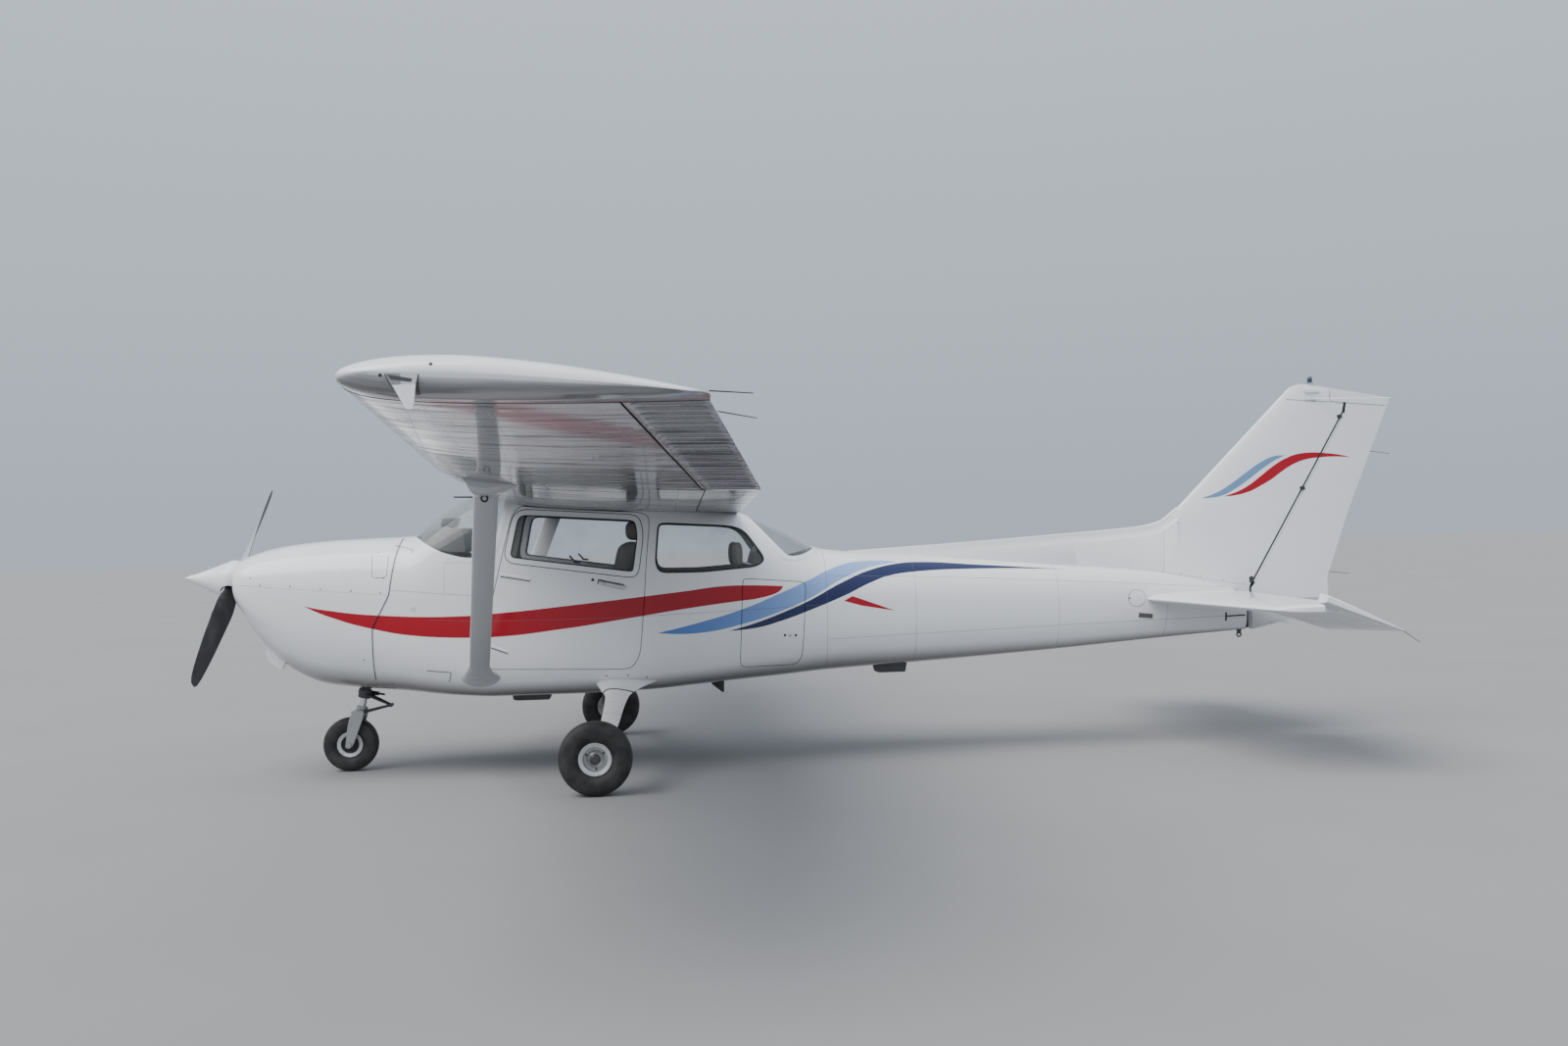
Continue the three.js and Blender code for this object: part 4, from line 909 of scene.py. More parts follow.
@dataclass(frozen=True)
class Moulding:
    """Moulded or textured plastic of the cabin and of small covers.

    Attributes:
        name: the material's name.
        colour: its clean colour.
        worn: its colour where it is rubbed or faded.
        roughness: how matt it is.
        grain: depth of the moulded grain, in metres.
    """

    name: str
    colour: Colour
    worn: Colour = (0.30, 0.30, 0.30)
    roughness: float = 0.5
    grain: float = 0.0001

    def build(self) -> bpy.types.Material:
        """Makes the material."""
        canvas = Canvas(self.name)
        rub = canvas.spread(canvas.noise(6.0, 5.0), 0.50, 0.85)
        shade = canvas.mix(canvas.math("MULTIPLY", rub, 0.25), self.colour, self.worn)
        rough = canvas.math("ADD", canvas.math("MULTIPLY", rub, 0.15), self.roughness)
        pebble = canvas.noise(700.0, 2.0)
        canvas.set(Base_Color=shade, Roughness=rough, Normal=canvas.bump(pebble, self.grain, 0.6))
        return canvas.material


@dataclass(frozen=True)
class Cloth:
    """Woven seat cloth with two crossing yarns.

    Attributes:
        name: the material's name.
        warp: colour of one yarn.
        weft: colour of the other.
        pitch: distance between yarns, in metres.
    """

    name: str
    warp: Colour
    weft: Colour
    pitch: float = 0.0022

    def build(self) -> bpy.types.Material:
        """Makes the material."""
        canvas = Canvas(self.name)
        along, aside, height = canvas.axes()
        turn = 2 * math.pi / self.pitch
        first = canvas.math("SINE", canvas.math("MULTIPLY", aside, turn))
        upwards = canvas.math("ADD", height, canvas.math("MULTIPLY", along, 0.6))
        second = canvas.math("SINE", canvas.math("MULTIPLY", upwards, turn))
        weave = canvas.spread(canvas.math("MULTIPLY", first, second), -1.0, 1.0)
        fade = canvas.noise(5.0, 4.0)
        shade = canvas.mix(weave, self.warp, self.weft)
        shade = canvas.mix(canvas.math("MULTIPLY", fade, 0.35), shade, tuple(v * 1.5 for v in self.weft))
        canvas.set(
            Base_Color=shade,
            Roughness=0.9,
            Normal=canvas.bump(weave, 0.0004, 0.8),
            Sheen_Weight=0.35,
            Sheen_Roughness=0.5,
        )
        return canvas.material


@dataclass(frozen=True)
class Glazing:
    """Clear acrylic window with a faint tint, dust and fine scratches.

    Attributes:
        name: the material's name.
        tint: the colour that its film of dust takes.
        film: how much it hides, seen straight on.
    """

    name: str
    tint: Colour
    film: float = 0.05

    def build(self) -> bpy.types.Material:
        """Makes the material."""
        canvas = Canvas(self.name)
        facing = canvas.nodes.new("ShaderNodeLayerWeight")
        facing.inputs["Blend"].default_value = 0.35
        dust = canvas.math("MULTIPLY", canvas.spread(canvas.noise(7.0, 6.0), 0.4, 0.9), 0.06)
        cover = canvas.math("ADD", canvas.math("MULTIPLY", facing.outputs["Facing"], 0.35), self.film)
        cover = canvas.math("ADD", cover, dust)
        scratches = canvas.noise(120.0, 2.0, canvas.stretched((0.2, 1.0, 3.0)))
        rough = canvas.math("ADD", canvas.math("MULTIPLY", scratches, 0.05), 0.02)
        shade = canvas.mix(dust, self.tint, (0.55, 0.56, 0.56))
        canvas.set(Base_Color=shade, Roughness=rough, Alpha=cover, Specular_IOR_Level=0.9)
        return canvas.material


@dataclass(frozen=True)
class Lamp:
    """A clear or coloured lens with fine ribs.

    Attributes:
        name: the material's name.
        colour: the lens's colour.
        cover: how much it hides.
    """

    name: str
    colour: Colour
    cover: float = 0.75

    def build(self) -> bpy.types.Material:
        """Makes the material."""
        canvas = Canvas(self.name)
        ribs = canvas.noise(260.0, 1.0)
        depth = canvas.mix(canvas.noise(40.0, 2.0), self.colour,
            tuple(value * 0.6 for value in self.colour))
        canvas.set(
            Base_Color=depth,
            Roughness=0.08,
            Alpha=self.cover,
            Normal=canvas.bump(ribs, 0.0002, 0.5),
            Coat_Weight=0.8,
            Coat_Roughness=0.03,
        )
        return canvas.material


# Repeats and sweeps by Geometry Nodes


class Sweeper:
    """Geometry Nodes trees for studs on a surface and tubes along a path."""

    def __init__(self) -> None:
        """Builds both trees."""
        self.studs = self._tree("Studs on points", ("Stud Radius", "Stud Height"))
        self.tubes = self._tree("Tube on a path", ("Tube Radius", "Tube Squash"))
        self._wire_studs()
        self._wire_tubes()

    def _tree(self, name: str, sizes: Sequence[str]) -> bpy.types.GeometryNodeTree:
        """An empty tree with named inputs for sizes and a finish."""
        tree = bpy.data.node_groups.new(name, "GeometryNodeTree")
        tree.interface.new_socket("Geometry", in_out="INPUT", socket_type="NodeSocketGeometry")
        for size in sizes:
            tree.interface.new_socket(size, in_out="INPUT", socket_type="NodeSocketFloat")
        tree.interface.new_socket("Finish", in_out="INPUT", socket_type="NodeSocketMaterial")
        tree.interface.new_socket("Geometry", in_out="OUTPUT", socket_type="NodeSocketGeometry")
        return tree

    def _wire(
        self,
        tree: bpy.types.GeometryNodeTree,
        kinds: dict[str, str],
        links: Sequence[tuple[str, str | int, str, str | int]],
    ) -> dict[str, bpy.types.Node]:
        """Adds nodes to a tree, joins them and ends it with realized instances and a material.

        Args:
            tree: the tree.
            kinds: the type of each node by its short name.
            links: node and output, then node and input, of each link.

        Returns:
            The nodes by their short names.
        """
        kinds = {
            "given": "NodeGroupInput", **kinds, "realize": "GeometryNodeRealizeInstances",
            "smooth": "GeometryNodeSetShadeSmooth", "finish": "GeometryNodeSetMaterial",
            "result": "NodeGroupOutput",
        }
        made = {name: tree.nodes.new(kind) for name, kind in kinds.items()}
        for start, output, end, entry in (
            *links,
            ("realize", "Geometry", "smooth", "Geometry"),
            ("smooth", "Geometry", "finish", "Geometry"),
            ("given", "Finish", "finish", "Material"),
            ("finish", "Geometry", "result", "Geometry"),
        ):
            tree.links.new(made[start].outputs[output], made[end].inputs[entry])
        return made

    def _wire_studs(self) -> None:
        """A flattened ball on every point, turned along the point's facing."""
        kinds = {
            "ball": "GeometryNodeMeshUVSphere", "facing": "GeometryNodeInputNamedAttribute",
            "turn": "FunctionNodeAlignRotationToVector", "size": "ShaderNodeCombineXYZ",
            "place": "GeometryNodeInstanceOnPoints", "points": "GeometryNodeMeshToPoints",
        }
        made = self._wire(self.studs, kinds, (
            ("given", "Geometry", "points", "Mesh"),
            ("points", "Points", "place", "Points"),
            ("ball", "Mesh", "place", "Instance"),
            ("turn", "Rotation", "place", "Rotation"),
            ("given", "Stud Radius", "size", "X"),
            ("given", "Stud Radius", "size", "Y"),
            ("given", "Stud Height", "size", "Z"),
            ("size", "Vector", "place", "Scale"),
            ("place", "Instances", "realize", "Geometry"),
        ))
        for name, value in (("Segments", 8), ("Rings", 4), ("Radius", 1.0)):
            made["ball"].inputs[name].default_value = value
        facing, turn = made["facing"], made["turn"]
        facing.data_type = "FLOAT_VECTOR"
        facing.inputs["Name"].default_value = "facing"
        turn.axis = "Z"
        self.studs.links.new(facing.outputs["Attribute"], turn.inputs["Vector"])

    def _wire_tubes(self) -> None:
        """A round tube with closed ends along a line of edges."""
        kinds = {
            "path": "GeometryNodeMeshToCurve", "circle": "GeometryNodeCurvePrimitiveCircle",
            "size": "ShaderNodeCombineXYZ", "wide": "ShaderNodeMath",
            "grow": "GeometryNodeTransform", "sweep": "GeometryNodeCurveToMesh",
        }
        made = self._wire(self.tubes, kinds, (
            ("given", "Geometry", "path", "Mesh"),
            ("given", "Tube Radius", "size", "X"),
            ("given", "Tube Radius", "wide", 0),
            ("given", "Tube Squash", "wide", 1),
            ("wide", 0, "size", "Y"),
            ("given", "Tube Radius", "size", "Z"),
            ("circle", "Curve", "grow", "Geometry"),
            ("size", "Vector", "grow", "Scale"),
            ("path", "Curve", "sweep", "Curve"),
            ("grow", "Geometry", "sweep", "Profile Curve"),
            ("sweep", "Mesh", "realize", "Geometry"),
        ))
        made["circle"].inputs["Resolution"].default_value = 16
        made["circle"].inputs["Radius"].default_value = 1.0
        made["wide"].operation = "MULTIPLY"
        made["sweep"].inputs["Fill Caps"].default_value = True

    def _run(
        self,
        piece: bpy.types.Object,
        tree: bpy.types.GeometryNodeTree,
        values: dict[str, object],
    ) -> bpy.types.Object:
        """Applies a tree to a piece and leaves a plain mesh."""
        modifier = piece.modifiers.new("make", "NODES")
        modifier.node_group = tree
        for entry in tree.interface.items_tree:
            if entry.in_out == "INPUT" and entry.name in values:
                modifier[entry.identifier] = values[entry.name]
        settle(piece)
        return face_outwards(piece)

    def stud(
        self,
        name: str,
        places: Sequence[tuple[Spot, Spot]],
        radius: float,
        height: float,
        material: bpy.types.Material,
    ) -> bpy.types.Object:
        """Domed heads of rivets or screws.

        Args:
            name: the piece's name.
            places: the spots in millimetres, each with the way that the head faces.
            radius: the head's radius in millimetres.
            height: how far it stands out, in millimetres.
            material: the heads' material.

        Returns:
            One mesh with every head.
        """
        piece = mesh_piece(name, [spot for spot, _ in places], [])
        facing = piece.data.attributes.new("facing", "FLOAT_VECTOR", "POINT")
        facing.data.foreach_set("vector", [value for _, way in places for value in way])
        values = {"Stud Radius": radius * MM, "Stud Height": height * MM, "Finish": material}
        return self._run(piece, self.studs, values)

    def tube(
        self,
        name: str,
        path: Sequence[Spot],
        radius: float,
        material: bpy.types.Material,
        squash: float = 1.0,
        bends: int = 0,
    ) -> bpy.types.Object:
        """A round or flattened tube along points.

        Args:
            name: the piece's name.
            path: points in millimetres.
            radius: the tube's radius in millimetres.
            material: its material.
            squash: its width as a share of its height.
            bends: how often the path's corners are rounded.

        Returns:
            The tube, closed at both ends.
        """
        points = np.array(path, float)
        for _ in range(bends):
            cut = np.empty((2 * len(points) - 2, 3))
            cut[0::2] = points[:-1] * 0.75 + points[1:] * 0.25
            cut[1::2] = points[:-1] * 0.25 + points[1:] * 0.75
            points = np.vstack([points[:1], cut, points[-1:]])
        mesh = bpy.data.meshes.new(name)
        mesh.from_pydata(to_frame(points).tolist(), [(k, k + 1) for k in range(len(points) - 1)], [])
        piece = bpy.data.objects.new(name, mesh)
        bpy.context.scene.collection.objects.link(piece)
        values = {"Tube Radius": radius * MM, "Tube Squash": squash, "Finish": material}
        return self._run(piece, self.tubes, values)


# Shapes that several sub-assemblies share


@dataclass(frozen=True)
class Fuselage:
    """The fuselage's outer form, from the cowl's mouth to the tail end.

    Attributes:
        sections: station, half width, bottom, waist, top, lower power and upper power.
        points: points round one section.
    """

    sections: tuple[tuple[float, ...], ...] = (
        (-858, 300, 1120, 1262, 1405, 2.3, 2.3),
        (-825, 350, 1070, 1256, 1426, 2.4, 2.4),
        (-760, 388, 955, 1240, 1452, 2.5, 2.5),
        (-660, 418, 822, 1205, 1481, 2.6, 2.6),
        (-500, 440, 676, 1150, 1507, 2.7, 2.7),
        (-300, 455, 588, 1110, 1525, 2.8, 2.8),
        (0, 475, 549, 1085, 1536, 3.0, 2.9),
        (255, 503, 526, 1075, 1541, 3.4, 3.0),
        (411, 520, 508, 1075, 1661, 3.8, 3.0),
        (574, 532, 494, 1075, 1768, 4.2, 3.1),
        (800, 541, 483, 1075, 1862, 4.6, 3.4),
        (1250, 545, 483, 1080, 1880, 4.6, 3.6),
        (1750, 543, 491, 1080, 1815, 4.4, 3.6),
        (2150, 525, 517, 1070, 1720, 4.0, 3.3),
        (2400, 502, 534, 1060, 1650, 3.6, 3.0),
        (2680, 465, 550, 1050, 1530, 3.2, 2.7),
        (2955, 425, 570, 1035, 1392, 2.9, 2.5),
        (3600, 335, 599, 1005, 1330, 2.6, 2.3),
        (4600, 212, 656, 970, 1238, 2.4, 2.2),
        (5340, 124, 710, 945, 1168, 2.2, 2.1),
        (5940, 52, 748, 905, 1056, 2.1, 2.0),
    )
    points: int = 128

    def rings(self, stations: Sequence[float], insets: float | Sequence[float] = 0.0) -> np.ndarray:
        """Section rings.

        Args:
            stations: where the sections are.
            insets: how far they lie inside the skin.

        Returns:
            An array of ring, point and coordinate.
        """
        rows = limited_cubic(self.sections, stations)
        inset = np.broadcast_to(np.asarray(insets, float), (len(rows),))[:, None]
        angle = -math.pi / 2 + 2 * math.pi * (np.arange(self.points) + 0.5) / self.points
        sine, cosine = np.sin(angle)[None, :], np.cos(angle)[None, :]
        upper = sine > 0
        power = np.where(upper, rows[:, 6:7], rows[:, 5:6])
        reach = np.where(upper, rows[:, 4:5] - rows[:, 3:4], rows[:, 3:4] - rows[:, 2:3]) - inset
        aside = signed_power(cosine, 2 / power) * (rows[:, 1:2] - inset)
        height = rows[:, 3:4] + signed_power(sine, 2 / power) * reach
        along = np.broadcast_to(rows[:, 0:1], aside.shape)
        return np.stack([along, aside, height], -1)

    def body(self, name: str, start: float, end: float, inset: float = 0.0,
            step: float = 25) -> bpy.types.Object:
        """A closed stretch of the form.

        Args:
            name: the body's name.
            start: its first station.
            end: its last station.
            inset: how far it lies inside the skin.
            step: the distance between sections.

        Returns:
            The body.
        """
        count = max(2, round((end - start) / step) + 1)
        return loft(name, self.rings(np.linspace(start, end, count), inset))

    def shell(self, name: str, start: float, end: float, outer: float, inner: float) -> bpy.types.Object:
        """A stretch of wall between two insets, open at both ends."""
        inside = self.body("inside", start - 30, end + 35, inner)
        wall = carve(self.body(name, start, end, outer), [(Cut.TAKE, inside)])
        discard(inside)
        return wall


PROFILE_PEAK = 0.4


def thickness_curve(share: np.ndarray, ratio: float) -> np.ndarray:
    """Half the thickness of a wing section at shares of its chord, as a share of the chord."""
    terms = 0.2969 * np.sqrt(share) - 0.126 * share - 0.3516 * share**2
    return 5 * ratio * (terms + 0.2843 * share**3 - 0.1036 * share**4)


def mean_line(share: np.ndarray, camber: float) -> np.ndarray:
    """Height of a wing section's middle line at shares of its chord, as a share of the chord."""
    before = camber / PROFILE_PEAK**2 * (2 * PROFILE_PEAK * share - share**2)
    behind = 1 - 2 * PROFILE_PEAK + 2 * PROFILE_PEAK * share - share**2
    return np.where(share < PROFILE_PEAK, before, camber / (1 - PROFILE_PEAK) ** 2 * behind)


@dataclass(frozen=True)
class Surface:
    """The form of a wing, tail plane, fin, strut or leg: wing sections along a span.

    Attributes:
        rows: span, leading station, its rise, trailing station, its rise and thickness ratio.
        camber: height of the middle line, as a share of the chord.
        upright: whether the span runs upwards.
        steps: points on the upper or the lower face of a section.
        eased: whether sections between rows follow a curve.
    """

    rows: tuple[tuple[float, ...], ...]
    camber: float = 0.0
    upright: bool = False
    steps: int = 48
    eased: bool = False

    def row(self, span: float) -> np.ndarray:
        """The sizes of the section at a span."""
        if self.eased:
            return limited_cubic(self.rows, [abs(span)])[0]
        return straight(self.rows, abs(span))

    def placed(self, span: float, flat: np.ndarray) -> np.ndarray:
        """Points of station and rise, put at a span."""
        spans = np.full(len(flat), float(span))
        columns = (flat[:, 0], flat[:, 1], spans) if self.upright else (flat[:, 0], spans, flat[:, 1])
        return np.stack(columns, 1)

    def flat_ring(self, span: float, grow: float = 0.0) -> np.ndarray:
        """A section's stations and rises, from the upper leading edge round the trailing one."""
        _, lead_x, lead_z, trail_x, trail_z, ratio = self.row(span)
        lead = np.array([lead_x, lead_z])
        chord = np.array([trail_x, trail_z]) - lead
        length = float(np.linalg.norm(chord))
        along = chord / length
        up = np.array([-along[1], along[0]])
        share = (1 - np.cos(np.linspace(0, math.pi, self.steps + 1))) / 2
        half = np.maximum(0.2, thickness_curve(share, ratio) * length + grow + 1.5 * share + 0.5)
        middle = mean_line(share, self.camber) * length
        run = -grow + share * (length + 2 * grow)
        spine = lead + np.outer(run, along) + np.outer(middle, up)
        upper = spine + np.outer(half, up)
        lower = spine - np.outer(half, up)
        return np.vstack([upper, lower[::-1]])

    def ring(self, span: float, grow: float = 0.0) -> np.ndarray:
        """A section's points."""
        return self.placed(span, self.flat_ring(span, grow))

    def body(self, name: str, spans: Sequence[float], grow: float = 0.0) -> bpy.types.Object:
        """A closed body through the sections at some spans."""
        return loft(name, np.stack([self.ring(span, grow) for span in spans]))

    def at(self, span: float, stations: np.ndarray) -> tuple[np.ndarray, np.ndarray]:
        """Heights of the middle line and half thicknesses at stations of one section."""
        _, lead_x, lead_z, trail_x, trail_z, ratio = self.row(span)
        chord = trail_x - lead_x
        share = np.clip((stations - lead_x) / chord, 0, 1)
        middle = lead_z + (trail_z - lead_z) * share + mean_line(share, self.camber) * chord
        return middle, thickness_curve(share, ratio) * chord + 1.5 * share + 0.5


@dataclass(frozen=True)
class Flapper:
    """A control surface: a round nose on the hinge line and beaded skins behind it.

    Attributes:
        surface: the form that it is part of.
        inner: the span of its inner end.
        outer: the span of its outer end.
        nose: station of the nose's middle at both ends.
        height: height of the nose's middle at both ends, or None for the middle line.
        pitch: the distance between beads, or 0 for a plain skin.
        depth: how far the skin lies below the beads.
    """

    surface: Surface
    inner: float
    outer: float
    nose: Flat
    height: Flat | None = None
    pitch: float = 105.0
    depth: float = 3.5

    def rings(self) -> np.ndarray:
        """The surface's rings along its span."""
        if self.pitch:
            beads = round((self.outer - self.inner) / self.pitch)
            pitch = (self.outer - self.inner) / beads
            marks = np.array([0.0, 0.36, 0.44, 0.5, 0.56, 0.64])
            spans = [self.inner + (k + mark) * pitch for k in range(beads) for mark in marks]
            raised = [0.0, 0.0, 0.75, 1.0, 0.75, 0.0] * beads
            spans.append(self.outer)
            raised.append(0.0)
        else:
            spans = list(np.linspace(self.inner, self.outer, 24))
            raised = [1.0] * len(spans)
        return np.stack([self.ring(span, lift) for span, lift in zip(spans, raised)])

    def ahead(self, middles: np.ndarray, margin: float) -> np.ndarray:
        """Whether each spot lies in the nose, more than a margin ahead of its middle."""
        share = (np.abs(middles[:, 1]) - self.inner) / (self.outer - self.inner)
        return middles[:, 0] < self.nose[0] + (self.nose[1] - self.nose[0]) * share - margin

    def ring(self, span: float, lift: float) -> np.ndarray:
        """One ring.

        Args:
            span: where it is.
            lift: 1 on a bead's ridge and 0 between beads.

        Returns:
            The ring's points.
        """
        t = (span - self.inner) / (self.outer - self.inner)
        x = self.nose[0] + (self.nose[1] - self.nose[0]) * t
        middle, half = self.surface.at(span, np.array([x]))
        if self.height is None:
            z = float(middle[0])
        else:
            z = self.height[0] + (self.height[1] - self.height[0]) * t
        radius = float(half[0]) - 1.5
        trail = float(self.surface.row(span)[3])
        share = np.array([0, 0.04, 0.09, 0.15, 0.3, 0.5, 0.7, 0.86, 0.92, 0.965, 0.99, 1.0])
        stations = x + (trail - x) * share
        middles, halves = self.surface.at(span, stations)
        fade = np.interp(share, [0.06, 0.15, 0.86, 0.95], [0, 1, 1, 0])
        halves = np.maximum(0.8, halves - self.depth * (1 - lift) * fade - 0.5)
        halves[0] = radius
        middles[0] = z
        upper = np.stack([stations, middles + halves], 1)
        lower = np.stack([stations, middles - halves], 1)[::-1]
        turn = np.linspace(-math.pi / 2, math.pi / 2, 13)[1:-1]
        front = np.stack([x - radius * np.cos(turn), z + radius * np.sin(turn)], 1)
        return self.surface.placed(span, np.vstack([upper, lower, front]))


FUSELAGE = Fuselage()
WING = Surface(
    rows=(
        (0, 782, 1815, 2396, 1648, 0.12),
        (560, 782, 1815, 2396, 1648, 0.12),
        (2550, 783, 1891, 2397, 1724, 0.12),
        (5280, 934, 2002, 2048, 1931, 0.12),
    ),
    camber=0.02,
)
TAIL_HEIGHT = 985.0
TAIL = Surface(
    rows=(
        (0, 5183, TAIL_HEIGHT, 6500, TAIL_HEIGHT, 0.07),
        (1600, 5405, TAIL_HEIGHT, 6242, TAIL_HEIGHT, 0.07),
        (1660, 5417, TAIL_HEIGHT, 6234, TAIL_HEIGHT, 0.0685),
        (1700, 5428, TAIL_HEIGHT, 6226, TAIL_HEIGHT, 0.062),
        (1718, 5442, TAIL_HEIGHT, 6218, TAIL_HEIGHT, 0.05),
        (1727, 5464, TAIL_HEIGHT, 6208, TAIL_HEIGHT, 0.034),
    )
)
FIN = Surface(
    rows=(
        (740, 5160, 0, 6560, 0, 0.062),
        (1100, 5240, 0, 6553, 0, 0.068),
        (1560, 5429, 0, 6718, 0, 0.07),
        (2300, 6174, 0, 7025, 0, 0.07),
        (2400, 6275, 0, 7066, 0, 0.066),
        (2460, 6335, 0, 7092, 0, 0.05),
    ),
    upright=True,
)
WING_ROOT = 560.0
WING_KINK = 2550.0
TIP_RIB = 5280.0
WIDE = 2500.0
FIN_REACH = 300.0


def across_prism(name: str, outline: Sequence[Flat]) -> bpy.types.Object:
    """A prism right across the aircraft from an outline seen from the side."""
    return prism(name, outline, Plane.SIDE, -WIDE, WIDE)


def right_prism(name: str, outline: Sequence[Flat]) -> bpy.types.Object:
    """A prism through the starboard wall only."""
    return prism(name, outline, Plane.SIDE, 150, WIDE)


def above_underside(gap: float) -> bpy.types.Object:
    """What lies above the wing's underside at the roots, less a gap."""
    ring = WING.flat_ring(WING_ROOT, gap)
    underside = [tuple(point) for point in ring[WING.steps + 1 :]]
    rear, front = underside[0], underside[-1]
    return across_prism("above", [*underside, (front[0], FAR / 4), (rear[0], FAR / 4)])


# Finishes

WHITE: Colour = (0.80, 0.815, 0.84)
RED: Colour = (0.36, 0.0, 0.012)
BLUE: Colour = (0.061, 0.171, 0.485)
PALE_BLUE: Colour = (0.305, 0.429, 0.679)
NAVY: Colour = (0.011, 0.019, 0.08)

RED_BAND = Band(
    start=RED,
    end=RED,
    upper=(
        (-381, 1120), (-227, 1086), (88, 1047), (551, 1028), (822, 1039), (1357, 1082), (2037, 1147),
        (2300, 1172), (2477, 1170), (2669, 1158),
    ),
    lower=(
        (-381, 1120), (-185, 1034), (55, 962), (308, 914), (548, 895), (800, 891), (1237, 928),
        (1658, 983), (2034, 1034), (2401, 1074), (2474, 1080), (2669, 1158),
    ),
)
BLUE_BAND = Band(
    start=BLUE,
    end=PALE_BLUE,
    upper=(
        (1851, 885), (2119, 943), (2399, 1019), (2652, 1115), (2837, 1191), (3002, 1261), (3155, 1298),
        (3348, 1301), (3469, 1290),
    ),
    lower=(
        (1851, 885), (2002, 873), (2174, 881), (2397, 923), (2590, 976), (2832, 1069), (3082, 1200),
        (3278, 1264), (3469, 1290),
    ),
)
NAVY_BAND = Band(
    start=NAVY,
    end=NAVY,
    upper=(
        (2305, 882), (2471, 924), (2711, 1007), (2832, 1056), (3080, 1177), (3275, 1247), (3445, 1278),
        (3558, 1285), (4037, 1253), (4661, 1202),
    ),
    lower=(
        (2305, 882), (2470, 893), (2647, 933), (2830, 992), (3075, 1083), (3266, 1165), (3391, 1203),
        (3543, 1221), (4028, 1228), (4661, 1202),
    ),
)
FLICK_BAND = Band(
    start=RED,
    end=RED,
    upper=((3068, 1048), (3128, 1078), (3418, 970)),
    lower=((3068, 1048), (3190, 1012), (3418, 970)),
)
FIN_BLUE: Colour = (0.141, 0.262, 0.429)
FIN_BLUE_BAND = Band(
    start=FIN_BLUE,
    end=FIN_BLUE,
    upper=((5642, 1670), (5757, 1710), (5861, 1770), (5965, 1842), (6078, 1914), (6174, 1953),
        (6256, 1956)),
    lower=((5642, 1670), (5709, 1671), (5796, 1687), (5884, 1730), (5980, 1791), (6085, 1866),
        (6190, 1929), (6256, 1956)),
)
FIN_RED_BAND = Band(
    start=RED,
    end=RED,
    upper=(
        (5796, 1678), (5899, 1711), (5979, 1751), (6075, 1819), (6172, 1889), (6253, 1934), (6349, 1965),
        (6461, 1973), (6572, 1965), (6668, 1952), (6747, 1932),
    ),
    lower=(
        (5796, 1678), (5882, 1684), (5977, 1706), (6073, 1749), (6154, 1794), (6235, 1849), (6315, 1894),
        (6412, 1926), (6508, 1937), (6604, 1941), (6684, 1938), (6747, 1932),
    ),
)


